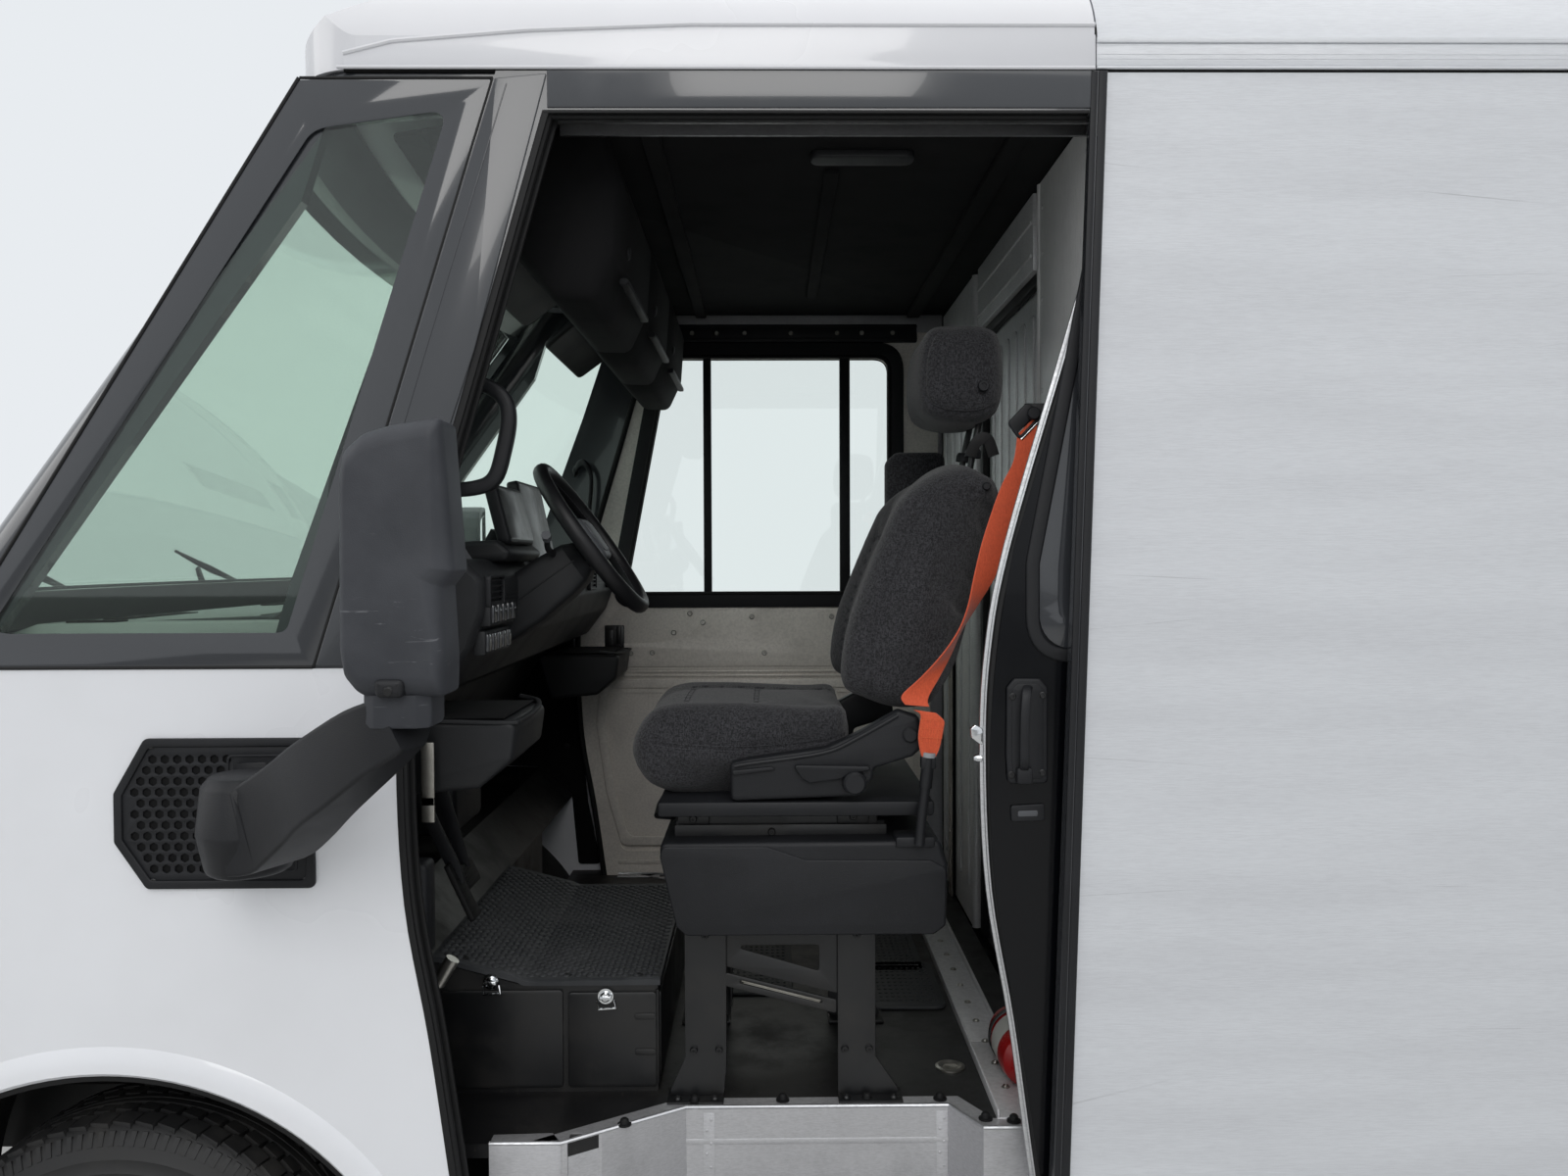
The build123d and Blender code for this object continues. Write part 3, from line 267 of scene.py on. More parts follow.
def blackGlossFinish(name, base, dusty, coat, shine=0.5):
    f = Finish(name, base, Roughness=0.2, Coat_Weight=coat, Coat_Roughness=0.03, Specular_IOR_Level=shine)
    dust = f.noise(5, 5, 0.65, (1, 1, 0.6)).ramp(0.45, 0.8)
    f.paint(f.blendColors(dust * 0.3, base, dusty))
    f.rough(0.16 + dust * 0.14)


def fritFinish():
    # the black border printed behind a pane
    f = Finish("fritBlack", (30, 32, 34), Roughness=0.09, Coat_Weight=0.5, Coat_Roughness=0.02)
    dust = f.noise(4, 5, 0.65, (1, 1, 0.6)).ramp(0.45, 0.8)
    f.paint(f.blendColors(dust * 0.3, (56, 58, 62), (74, 76, 80)))
    f.rough(0.08 + dust * 0.1)


def grainFinish(name, color, light, roughness, grain=520.0, depth=0.0005):
    f = Finish(name, color, Roughness=roughness, Specular_IOR_Level=0.3)
    worn = f.noise(7, 5, 0.62).ramp(0.42, 0.78)
    f.paint(f.blendColors(worn * 0.5, color, light))
    f.rough(roughness + worn * 0.1)
    f.emboss(f.cells(grain), 0.35, depth)


def scuffedGrainFinish():
    # the mirrors' grey plastic, with pale rubs where branches have caught it
    f = Finish("mirrorGrain", (58, 60, 64), Roughness=0.58, Specular_IOR_Level=0.3)
    rubs = f.noise(26, 4, 0.7, (0.5, 0.5, 3.2), (0, 0.5, 0), 1.2).ramp(0.63, 0.72)
    rubs = rubs * f.noise(3.4, 3, 0.5).ramp(0.5, 0.64)
    shade = f.blendColors(f.noise(6, 4, 0.6).ramp(0.3, 0.75), (52, 54, 59), (66, 68, 73))
    f.paint(f.blendColors(rubs * 0.5, shade, (132, 134, 138)))
    f.rough(0.55 + rubs * 0.12)
    f.emboss(f.cells(620), 0.3, 0.0005)


def aluminiumFinish(name="bareAluminium", color=(168, 168, 170), streak=(1, 1, 7), stain=0.5, metal=1.0):
    f = Finish(name, color, Metallic=metal, Roughness=0.42)
    mill = f.noise(95, 4, 0.65, streak).ramp(0.3, 0.72)
    grime = f.noise(4.2, 6, 0.66).ramp(0.42, 0.78)
    shade = f.blendColors(mill * 0.45, color, tuple(int(c * 0.82) for c in color))
    f.paint(f.blendColors(grime * stain, shade, tuple(int(c * 0.62) for c in color)))
    f.rough(0.34 + mill * 0.14 + grime * 0.16)
    f.emboss(mill, 0.08, 0.0006)


def floorPlateFinish():
    # dark coated cab floor, trodden and dusty
    f = Finish("floorPlate", (30, 30, 32), Roughness=0.5)
    dust = f.noise(5.5, 6, 0.68).ramp(0.4, 0.75)
    scrape = f.noise(38, 4, 0.7, (4, 1, 1), (0, 0, 0.3), 0.6).ramp(0.62, 0.72)
    shade = f.blendColors(dust * 0.6, (12, 12, 14), (44, 42, 39))
    f.paint(f.blendColors(scrape * 0.3, shade, (84, 80, 74)))
    f.rough(0.42 + dust * 0.3)
    f.emboss(f.noise(140, 3), 0.12, 0.0008)


def rubberMatFinish():
    # moulded mat with staggered dimples in rows
    f = Finish("matRubber", (40, 42, 44), Roughness=0.62)
    dust = f.noise(7, 6, 0.66).ramp(0.42, 0.8)
    f.paint(f.blendColors(dust * 0.6, (50, 52, 55), (88, 89, 91)))
    f.rough(0.55 + dust * 0.2)
    f.emboss(f.noise(300, 2), 0.2, 0.0006)


def clothFinish():
    # heathered weave: crossed threads with paler flecks
    f = Finish("seatCloth", (21, 21, 24), Roughness=0.95, Sheen_Weight=0.2, Sheen_Roughness=0.5)
    across = f.noise(230, 3, 0.7, (1.6, 1.6, 0.7)).ramp(0.44, 0.66)
    along = f.noise(210, 3, 0.7, (0.8, 0.8, 1.9)).ramp(0.46, 0.68)
    broad = f.noise(9, 4, 0.6).ramp(0.3, 0.8)
    threads = across.most(along)
    shade = f.blendColors(threads * 0.7, (21, 21, 24), (76, 76, 81))
    f.paint(f.blendColors(broad * 0.3, shade, (28, 28, 30)))
    f.emboss(threads, 0.45, 0.0011)


def webbingFinish():
    f = Finish("beltWebbing", (214, 84, 48), Roughness=0.72, Sheen_Weight=0.3)
    ribs = f.noise(520, 2, 0.6, (1, 1, 0.35)).ramp(0.35, 0.7)
    grime = f.noise(11, 4, 0.6).ramp(0.45, 0.8)
    shade = f.blendColors(ribs * 0.5, (222, 92, 52), (190, 66, 34))
    f.paint(f.blendColors(grime * 0.3, shade, (160, 66, 42)))
    f.emboss(ribs, 0.4, 0.0007)


def tyreFinish():
    f = Finish("tyreRubber", (34, 34, 35), Roughness=0.72)
    dust = f.noise(8, 6, 0.66).ramp(0.42, 0.8)
    f.paint(f.blendColors(dust * 0.65, (28, 28, 29), (64, 62, 59)))
    f.rough(0.62 + dust * 0.22)
    f.emboss(f.noise(260, 3), 0.18, 0.0006)


def feltFinish():
    f = Finish("archFelt", (26, 26, 28), Roughness=0.95)
    f.paint(f.blendColors(f.noise(14, 5, 0.7).ramp(0.4, 0.8) * 0.7, (20, 20, 22), (52, 50, 47)))
    f.emboss(f.noise(420, 3, 0.7), 0.5, 0.0016)


def castFinish(name, color, dark, roughness=0.5, metal=0.0):
    f = Finish(name, color, Roughness=roughness, Metallic=metal)
    grime = f.noise(10, 6, 0.66).ramp(0.4, 0.78)
    f.paint(f.blendColors(grime * 0.7, color, dark))
    f.rough(roughness + grime * 0.18)
    f.emboss(f.noise(190, 3), 0.14, 0.0007)


def glassFinish(name, through):
    # clear pane: what is behind shows through a slight tint, the sky shows on it at a slant
    f = Finish(name)
    clear = f.node("ShaderNodeBsdfTransparent", None, {"Color": tint(*through)})
    mirror = f.node("ShaderNodeBsdfGlossy", None, {"Roughness": 0.02, "Color": (1, 1, 1, 1)})
    slant = f.node("ShaderNodeFresnel", None, {"IOR": 1.5})
    joined = f.node("ShaderNodeMixShader", None, {0: slant.least(0.3), 1: clear, 2: mirror})
    f.feed(f.result.inputs["Surface"], joined)


def makeFinishes():
    whitePaintFinish("whitePaint", (238, 240, 245), (218, 219, 222))
    # the same white paint made darker for the roof and its rail: painted shade against the sky light on the
    # top
    whitePaintFinish("roofWhiteShaded", (214, 215, 220), (198, 199, 202))
    cargoWhiteFinish()
    blackGlossFinish("blackGloss", (52, 54, 58), (70, 72, 76), 0.5)
    # the door's black paint made near-black with little shine: partly its colour, partly painted shade on
    # the open door
    blackGlossFinish("doorBlackShaded", (8, 9, 13), (18, 19, 23), 0.1, 0.2)
    grainFinish("blackGrain", (24, 25, 28), (38, 39, 43), 0.5)
    grainFinish("dashGrain", (34, 35, 37), (48, 49, 52), 0.5, 700, 0.0004)
    grainFinish("ventGrain", (40, 42, 46), (56, 58, 62), 0.5)
    grainFinish("greyGrain", (150, 152, 155), (170, 172, 174), 0.55)
    # a paler copy of the grey grain for the dash top: partly its light grey, partly painted light from the
    # windshield
    grainFinish("coverGreyLit", (176, 178, 178), (194, 196, 196), 0.55)
    grainFinish("headliner", (9, 9, 11), (17, 17, 19), 0.9, 900, 0.0006)
    grainFinish("gasket", (18, 18, 19), (30, 30, 32), 0.6, 300, 0.0003)
    fritFinish()
    grainFinish("blackLeather", (22, 22, 24), (40, 40, 43), 0.42, 420, 0.0006)
    grainFinish("beltThread", (226, 112, 74), (240, 140, 100), 0.8, 900, 0.0002)
    grainFinish("hubGrey", (84, 86, 90), (104, 106, 110), 0.5, 600, 0.0004)
    grainFinish("humpGrey", (118, 120, 124), (140, 142, 146), 0.6, 500, 0.0004)
    # near-black matte for the sheets set in holes, gaps and openings: painted shade
    grainFinish("shadeBlack", (8, 8, 9), (14, 14, 15), 0.9)
    grainFinish("seatThread", (62, 62, 66), (84, 84, 88), 0.8, 900, 0.0002)
    scuffedGrainFinish()
    aluminiumFinish()
    aluminiumFinish("doorAluminium", (242, 236, 228), (1.5, 1, 1.5), 0.3, 0.05)
    aluminiumFinish("wallAluminium", (226, 226, 228), (1, 1, 6), 0.25, 0.2)
    # a paler copy of the wall aluminium for the bulkhead's near face: painted light
    aluminiumFinish("litFaceAluminium", (240, 240, 240), (1, 9, 0.4), 0.2, 0.2)
    aluminiumFinish("stepAluminium", (200, 200, 203), (1.2, 1.2, 5), 0.45, 0.6)
    aluminiumFinish("edgeAluminium", (212, 213, 215), (1, 1, 3), 0.1)
    floorPlateFinish()
    rubberMatFinish()
    clothFinish()
    webbingFinish()
    tyreFinish()
    feltFinish()
    castFinish("blackSteel", (17, 18, 20), (38, 36, 34), 0.4)
    castFinish("wheelSteel", (44, 45, 48), (70, 66, 60), 0.42, 0.3)
    castFinish("caseSteel", (62, 63, 66), (46, 44, 42), 0.5, 0.4)
    castFinish("zincSteel", (176, 174, 168), (112, 106, 96), 0.35, 1.0)
    castFinish("chromeSteel", (214, 216, 218), (176, 178, 180), 0.12, 1.0)
    castFinish("redPaint", (176, 24, 26), (120, 18, 20), 0.25)
    castFinish("whiteLabel", (214, 214, 208), (190, 188, 180), 0.6)
    castFinish("screenGlass", (9, 10, 12), (14, 15, 17), 0.3)
    glassFinish("clearGlass", (250, 253, 251))
    glassFinish("tintedGlass", (240, 248, 243))
    f = Finish("mirrorFace", (226, 228, 230), Metallic=1.0, Roughness=0.03)
    f.rough(0.02 + f.noise(12, 4).ramp(0.5, 0.8) * 0.06)
    f = Finish("lampLens", (218, 222, 228), Roughness=0.08, Coat_Weight=0.6)
    f.paint(f.blendColors(f.noise(40, 3).ramp(0.4, 0.7) * 0.4, (222, 226, 231), (186, 190, 196)))
    for name, light, deep in (("redLens", (158, 14, 16), (96, 8, 10)),
                              ("amberLens", (232, 128, 20), (176, 84, 10))):
        f = Finish(name, light, Roughness=0.1, Coat_Weight=0.6)
        f.paint(f.blendColors(f.cells(120).ramp(0.1, 0.6) * 0.5, light, deep))
        f.emboss(f.cells(120), 0.3, 0.001)


makeFinishes()
print("finishes made:", len(finishes))

# What each carried-over solid is finished with
nodeFinishes = {
    "whitePaint": "front_side_panels nose_panel hood",
    # the cab roof takes the darker copy of the white paint: painted shade
    "roofWhiteShaded": "cab_roof",
    "cargoWhite": "cargo_sides cargo_roof rear_frame rear_door",
    "blackGloss": "doorway_surrounds cab_frame nose_trims",
    # the left door takes the near-black copy of the black gloss: partly its paint, partly painted shade
    "doorBlackShaded": "door_left",
    "doorAluminium": "door_right",
    "blackGrain": "bumper_front bumper_rear grab_handles seat_base steering_wheel",
    "headliner": "cab_ceiling",
    "dashGrain": "dashboard",
    "ventGrain": "vent_plates",
    "mirrorGrain": "mirror_left mirror_right",
    "clearGlass": "door_glass_left door_glass_right",
    "tintedGlass": "cab_glass",
    "mirrorFace": "mirror_glass_left mirror_glass_right",
    "tyreRubber": "tyre_front_left tyre_front_right tyre_rear_left tyre_rear_right",
    "wheelSteel": "rim_front_left rim_front_right rim_rear_left rim_rear_right",
    "blackSteel": "chassis_frame rear_axle knuckle_left knuckle_right drive_unit door_pockets",
    "caseSteel": "battery_pack",
    "archFelt": "wheel_houses",
    "floorPlate": "cab_floor",
    "wallAluminium": "bulkhead bulkhead_door",
    "bareAluminium": "door_rails cargo_floor",
    "stepAluminium": "step_wells",
    "matRubber": "platform_mat",
    "seatCloth": "seat_cushion seat_back",
    "beltWebbing": "seat_belt",
    "lampLens": "headlamps",
    "redLens": "tail_lamps",
    "redPaint": "fire_extinguisher",}
for finishName, members in nodeFinishes.items():
    for member in members.split():
        nodes[member].data.materials.clear()
        nodes[member].data.materials.append(finishes[finishName].material)
print("carried-over solids finished")


# Pale floor, open sky and soft lamps
stageSettings = {"floor": (206, 206, 204), "sky": (232, 236, 240), "skyStrength": 0.5}


def makeStage(c):
    floorFinish = Finish("stageFloor", c["floor"], Roughness=0.9)
    shade = floorFinish.noise(0.8, 3).ramp(0.2, 0.8)
    floorFinish.paint(floorFinish.blendColors(shade, c["floor"], tuple(v - 8 for v in c["floor"])))
    mesh = bpy.data.meshes.new("stageFloor")
    reach = 60
    mesh.from_pydata([(-reach, -reach, 0), (reach, -reach, 0), (reach, reach, 0), (-reach, reach, 0)], [],
                     [(0, 1, 2, 3)])
    mesh.materials.append(floorFinish.material)
    floor = bpy.data.objects.new("stageFloor", mesh)
    bpy.context.scene.collection.objects.link(floor)
    world = bpy.data.worlds.new("sky")
    bpy.context.scene.world = world
    world.use_nodes = True
    tree = world.node_tree
    back = tree.nodes["Background"]
    back.inputs["Color"].default_value = tint(*c["sky"])
    ray = tree.nodes.new("ShaderNodeLightPath")
    seen = ray.outputs["Is Camera Ray"]
    for kind in ("Is Glossy Ray", "Is Transmission Ray"):
        either = tree.nodes.new("ShaderNodeMath")
        either.operation = "MAXIMUM"
        tree.links.new(seen, either.inputs[0])
        tree.links.new(ray.outputs[kind], either.inputs[1])
        seen = either.outputs[0]
    level = tree.nodes.new("ShaderNodeMapRange")
    level.inputs["To Min"].default_value = c["skyStrength"]
    level.inputs["To Max"].default_value = 1.0
    tree.links.new(seen, level.inputs["Value"])
    tree.links.new(level.outputs[0], back.inputs["Strength"])


lampSettings = {  # place, aim, size, watts
    "skyAbove": ((0, 2.5, 9), (0, 0, 1), 9, 240),
    "skySide": ((1, 10, 7), (0.5, 0, 1.4), 5.5, 345),
    "skyFar": ((-1, -9, 9), (0, 0, 1.4), 7, 200),
    "skyFront": ((9.5, 2, 5), (1, 0, 1.2), 6, 150),
    "skyBehind": ((-9.5, 1, 5), (-1, 0, 1.2), 6, 130),}


def makeLamps(table):
    for name, (place, aim, size, watts) in table.items():
        data = bpy.data.lights.new(name, "AREA")
        data.size = size
        data.energy = watts
        data.color = (1.0, 0.985, 0.965)
        lamp = bpy.data.objects.new(name, data)
        lamp.location = place
        lamp.rotation_euler = (Vector(aim) - Vector(place)).to_track_quat("-Z", "Y").to_euler()
        bpy.context.scene.collection.objects.link(lamp)


makeStage(stageSettings)
makeLamps(lampSettings)
print("stage and lamps set")


# Mesh making: small calls that return a bare mesh, and dress, which finishes it as a piece
def sidePlane(y):
    # drawn as seen from the van's left: thickness grows towards the right, so out is minus on the left
    return Matrix(((1, 0, 0, 0), (0, 0, -1, y), (0, 1, 0, 0), (0, 0, 0, 1)))


def crossPlane(x):
    return Matrix(((0, 0, 1, x), (1, 0, 0, 0), (0, 1, 0, 0), (0, 0, 0, 1)))


def levelPlane(z):
    return Matrix.Translation((0, 0, z))


def tiltedPlane(origin, along, above):
    along = Vector(along).normalized()
    outward = along.cross(Vector(above)).normalized()
    axes = Matrix((along, outward.cross(along), outward)).transposed()
    return Matrix.Translation(origin) @ axes.to_4x4()


def square(x, y, farX, farY):
    # the four corners of an upright outline, from its first corner to the one across from it
    return [(x, y), (farX, y), (farX, farY), (x, farY)]


def rounded(corners, radius, steps=4):
    # an outline with each corner turned into an arc; a corner may bring its own radius
    made = []
    count = len(corners)
    for index, corner in enumerate(corners):
        here = Vector(corner[:2])
        size = corner[2] if len(corner) > 2 else radius
        back = Vector(corners[index - 1][:2]) - here
        ahead = Vector(corners[(index + 1) % count][:2]) - here
        if size <= 0:
            made.append(tuple(here))
            continue
        cut = size / math.tan(max(back.angle(ahead), 0.05) / 2)
        cut = min(cut, back.length * 0.49, ahead.length * 0.49)
        start = here + back.normalized() * cut
        end = here + ahead.normalized() * cut
        for k in range(steps + 1):
            t = k / steps
            made.append(tuple(start * (1 - t) ** 2 + here * (2 * t * (1 - t)) + end * t * t))
    return made


def offsetOutline(outline, away):
    # every side moved outward by the same distance
    count = len(outline)
    turning = sum(outline[k][0] * outline[(k + 1) % count][1] - outline[(k + 1) % count][0] * outline[k][1]
                  for k in range(count))
    hand = 1 if turning > 0 else -1
    made = []
    for k in range(count):
        before = Vector(outline[k - 1][:2])
        here = Vector(outline[k][:2])
        after = Vector(outline[(k + 1) % count][:2])
        a = (here - before).normalized()
        b = (after - here).normalized()
        normal = Vector((a.y, -a.x)) * hand + Vector((b.y, -b.x)) * hand
        scale = away * 2 / max(normal.length_squared, 0.4)
        made.append(tuple(here + normal * scale))
    return made


def flowing(points, steps=6, closed=False):
    # a smooth line through the given points
    points = [Vector(p) for p in points]
    count = len(points)
    made = []
    for index in range(count if closed else count - 1):
        a, b, c, d = (points[(index + k) % count] if closed else points[min(max(index + k, 0), count - 1)]
                      for k in (-1, 0, 1, 2))
        for k in range(steps):
            t = k / steps
            made.append(0.5 * (2 * b + (c - a) * t + (2 * a - 5 * b + 4 * c - d) * t * t
                    + (3 * b - a - 3 * c + d) * t ** 3))
    return made if closed else made + [points[-1]]


def circleSection(radius, sides=8, flat=1.0):
    return [(radius * math.cos(2 * math.pi * k / sides), radius * flat * math.sin(2 * math.pi * k / sides))
            for k in range(sides)]


def boxSection(width, height, edge=0.0):
    w, h = width / 2, height / 2
    return rounded(square(-w, -h, w, h), edge, 2)


def loft(rings, closed=False, capped=True):
    size = len(rings[0])
    verts = [tuple(p) for ring in rings for p in ring]
    faces = []
    count = len(rings)
    for i in range(count if closed else count - 1):
        for k in range(size):
            n = (k + 1) % size
            j = (i + 1) % count
            faces.append((i * size + k, i * size + n, j * size + n, j * size + k))
    if capped and not closed:
        faces.append(tuple(range(size))[::-1])
        faces.append(tuple(range((count - 1) * size, count * size)))
    mesh = bpy.data.meshes.new("loft")
    mesh.from_pydata(verts, [], faces)
    return mesh


def sweep(path, section, above=(0, 0, 1), closed=False, scale=None):
    # a section carried along a path: its first number runs across, its second along above
    path = [Vector(p) for p in path]
    count = len(path)
    rings = []
    for i, place in enumerate(path):
        before = path[i - 1] if i or closed else place
        after = path[(i + 1) % count] if i + 1 < count or closed else place
        ahead = (after - before).normalized()
        upward = Vector(above[i]) if isinstance(above, list) else Vector(above)
        across = upward.cross(ahead).normalized()
        top = ahead.cross(across)
        grow = scale(i / max(count - 1, 1)) if scale else 1
        rings.append([place + (across * u + top * v) * grow for u, v in section])
    return loft(rings, closed)


def tube(path, radius, sides=8):
    path = [Vector(p) for p in path]
    run = path[-1] - path[0]
    lean = min(((1, 0, 0), (0, 1, 0), (0, 0, 1)), key=lambda a: abs(run.dot(Vector(a))))
    return sweep(path, circleSection(radius, sides), lean)


def lathe(profile, centre, axis, sides=32):
    # the profile is (radius, height) pairs along the axis
    axis = Vector(axis).normalized()
    across = axis.orthogonal().normalized()
    other = axis.cross(across)
    centre = Vector(centre)
    rings = []
    for k in range(sides):
        turn = 2 * math.pi * k / sides
        spoke = across * math.cos(turn) + other * math.sin(turn)
        rings.append([centre + axis * h + spoke * r for r, h in profile])
    verts = [tuple(p) for ring in rings for p in ring]
    size = len(profile)
    faces = [(i * size + k, i * size + k + 1, (i + 1) % sides * size + k + 1, (i + 1) % sides * size + k)
             for i in range(sides) for k in range(size - 1)]
    mesh = bpy.data.meshes.new("turned")
    mesh.from_pydata(verts, [], faces)
    return mesh


def turned(profile, sides):
    # a turned shape that stands on the origin, for repeats
    return lathe(profile, (0, 0, 0), (0, 0, 1), sides)


def slab(outlines, plane, span, edge=0.0015, steps=2):
    # outlines on a plane, with any holes, given thickness from span[0] to span[1] and eased edges
    thick = span[1] - span[0]
    edge = min(edge, thick * 0.49)
    curve = bpy.data.curves.new("slab", "CURVE")
    curve.dimensions = "2D"
    curve.fill_mode = "BOTH"
    curve.extrude = thick / 2 - edge
    curve.bevel_depth = edge
    curve.bevel_resolution = steps - 1
    curve.offset = -edge
    for outline in outlines:
        spline = curve.splines.new("POLY")
        spline.points.add(len(outline) - 1)
        for point, place in zip(spline.points, outline):
            point.co = (place[0], place[1], 0, 1)
        spline.use_cyclic_u = True
    holder = bpy.data.objects.new("slab", curve)
    bpy.context.scene.collection.objects.link(holder)
    mesh = bpy.data.meshes.new_from_object(holder.evaluated_get(bpy.context.evaluated_depsgraph_get()))
    bpy.data.objects.remove(holder)
    bpy.data.curves.remove(curve)
    mesh.transform(plane @ Matrix.Translation((0, 0, (span[0] + span[1]) / 2)))
    return mesh


def brick(low, high, edge=0.0, steps=2):
    # a block between two corners with eased edges
    work = bmesh.new()
    bmesh.ops.create_cube(work, size=1)
    for v in work.verts:
        v.co = Vector(low[k] + (v.co[k] + 0.5) * (high[k] - low[k]) for k in range(3))
    if edge:
        bmesh.ops.bevel(work, geom=list(work.edges), offset=edge, segments=steps, affect="EDGES",
                        profile=0.5)
    mesh = bpy.data.meshes.new("brick")
    work.to_mesh(mesh)
    work.free()
    return mesh


def joined(meshes):
    whole = bmesh.new()
    for mesh in meshes:
        whole.from_mesh(mesh)
        bpy.data.meshes.remove(mesh)
    out = bpy.data.meshes.new("joined")
    whole.to_mesh(out)
    whole.free()
    return out


def mirrored(mesh):
    # the mesh with its like on the van's other side
    other = mesh.copy()
    other.transform(Matrix.Diagonal((1, -1, 1, 1)))
    other.flip_normals()
    return joined([mesh, other])


def dress(name, mesh, finish, body="root", slot=None, stands=(), crease=32):
    # cleans a mesh and makes it a finished piece on its body; the slot argument is not used
    tidy = bmesh.new()
    tidy.from_mesh(mesh)
    bmesh.ops.remove_doubles(tidy, verts=tidy.verts, dist=0.00002)
    bmesh.ops.recalc_face_normals(tidy, faces=tidy.faces)
    tidy.to_mesh(mesh)
    tidy.free()
    mesh.name = name
    piece = bpy.data.objects.new(name, mesh)
    bpy.context.scene.collection.objects.link(piece)
    mesh.materials.clear()
    mesh.materials.append(finishes[finish].material)
    mesh.polygons.foreach_set("material_index", [0] * len(mesh.polygons))
    mesh.shade_smooth()
    mesh.set_sharp_from_angle(angle=math.radians(crease))
    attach(piece, body)
    if stands:
        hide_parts(*stands)
    return piece


# Repeats: small shapes set out by node trees, then turned into one plain mesh for each body
class Tree(Graph):
    def __init__(self, name, sizes):
        self.tree = bpy.data.node_groups.new(name, "GeometryNodeTree")
        face = self.tree.interface
        face.new_socket("Geometry", in_out="INPUT", socket_type="NodeSocketGeometry")
        self.keys = {}
        for key, (kind, value) in sizes.items():
            socket = face.new_socket(key, in_out="INPUT", socket_type="NodeSocket" + kind)
            if value is not None:
                socket.default_value = value
            self.keys[key] = socket.identifier
        face.new_socket("Geometry", in_out="OUTPUT", socket_type="NodeSocketGeometry")
        self.entry = self.tree.nodes.new("NodeGroupInput")

    def given(self, key):
        return Wire(self, self.entry.outputs[key])

    def close(self, geometry):
        whole = self.node("GeometryNodeRealizeInstances", None, {0: geometry})
        whole = self.node("GeometryNodeSetMaterial", None, {0: whole, "Material": self.given("Finish")})
        end = self.tree.nodes.new("NodeGroupOutput")
        self.feed(end.inputs[0], whole)

    def grow(self, host, finish, **values):
        # runs the tree on a host mesh or curve and hands back a plain mesh
        holder = bpy.data.objects.new("host", host)
        bpy.context.scene.collection.objects.link(holder)
        made = holder.modifiers.new("repeat", "NODES")
        made.node_group = self.tree
        made[self.keys["Finish"]] = finishes[finish].material
        for key, value in values.items():
            made[self.keys[key]] = value
        mesh = bpy.data.meshes.new_from_object(holder.evaluated_get(bpy.context.evaluated_depsgraph_get()))
        holder.modifiers.remove(made)
        bpy.data.objects.remove(holder)
        return mesh


def makeSpotTree():
    # one copy of a shape at each host point, its top turned to facing and its front to along
    t = Tree("spots", {"Shape": ("Object", None), "Size": ("Float", 1.0), "Finish": ("Material", None)})
    shape = t.node("GeometryNodeObjectInfo", {"transform_space": "ORIGINAL"}, {"Object": t.given("Shape")},
                   out="Geometry")
    facing = t.node("GeometryNodeInputNamedAttribute", {"data_type": "FLOAT_VECTOR"}, {"Name": "facing"})
    along = t.node("GeometryNodeInputNamedAttribute", {"data_type": "FLOAT_VECTOR"}, {"Name": "along"})
    turn = t.node("FunctionNodeAxesToRotation", {"primary_axis": "Z", "secondary_axis": "X"},
                  {"Primary Axis": facing, "Secondary Axis": along})
    points = t.node("GeometryNodeMeshToPoints", None, {0: Wire(t, t.entry.outputs[0])})
    copies = t.node("GeometryNodeInstanceOnPoints", None,
                    {"Points": points, "Instance": shape, "Rotation": turn, "Scale": t.given("Size")})
    t.close(copies)
    return t


def makeStitchTree():
    # thread lengths laid end to end along a line, each one a slim rounded bar
    t = Tree("stitches", {"Pitch": ("Float", 0.006), "Length": ("Float", 0.0042),
                          "Thick": ("Float", 0.0009),
                          "Finish": ("Material", None)})
    even = t.node("GeometryNodeCurveToPoints", {"mode": "LENGTH"},
                  {"Curve": Wire(t, t.entry.outputs[0]), "Length": t.given("Pitch")})
    points = t.tree.nodes[-1]
    bar = t.node("GeometryNodeMeshCylinder", {"fill_type": "TRIANGLE_FAN"},
                 {"Vertices": 5, "Radius": t.given("Thick"), "Depth": t.given("Length")})
    copies = t.node("GeometryNodeInstanceOnPoints", None,
                    {"Points": even, "Instance": bar, "Rotation": Wire(t, turnToRun(t, points))})
    t.close(copies)
    return t


def turnToRun(t, points):
    # the bars stand along Z, so they are turned to lie along the line
    spun = t.node("FunctionNodeAlignRotationToVector", {"axis": "Z"},
                  {"Vector": Wire(t, points.outputs["Tangent"])})
    return spun.socket


spotTree = makeSpotTree()
stitchTree = makeStitchTree()


def spots(places, shape, finish, size=1.0):
    # places are (point, facing, along)
    host = bpy.data.meshes.new("places")
    host.from_pydata([tuple(p[0]) for p in places], [], [])
    for key, index in (("facing", 1), ("along", 2)):
        layer = host.attributes.new(key, "FLOAT_VECTOR", "POINT")
        layer.data.foreach_set("vector", [c for p in places for c in p[index]])
    model = bpy.data.objects.new("model", shape)
    bpy.context.scene.collection.objects.link(model)
    mesh = spotTree.grow(host, finish, Shape=model, Size=size)
    bpy.data.objects.remove(model)
    return mesh


def stitches(lines, finish, pitch=0.006, length=0.0042, thick=0.0008):
    curve = bpy.data.curves.new("lines", "CURVE")
    curve.dimensions = "3D"
    for line in lines:
        spline = curve.splines.new("POLY")
        spline.points.add(len(line) - 1)
        for point, place in zip(spline.points, line):
            point.co = (*place, 1)
    return stitchTree.grow(curve, finish, Pitch=pitch, Length=length, Thick=thick)


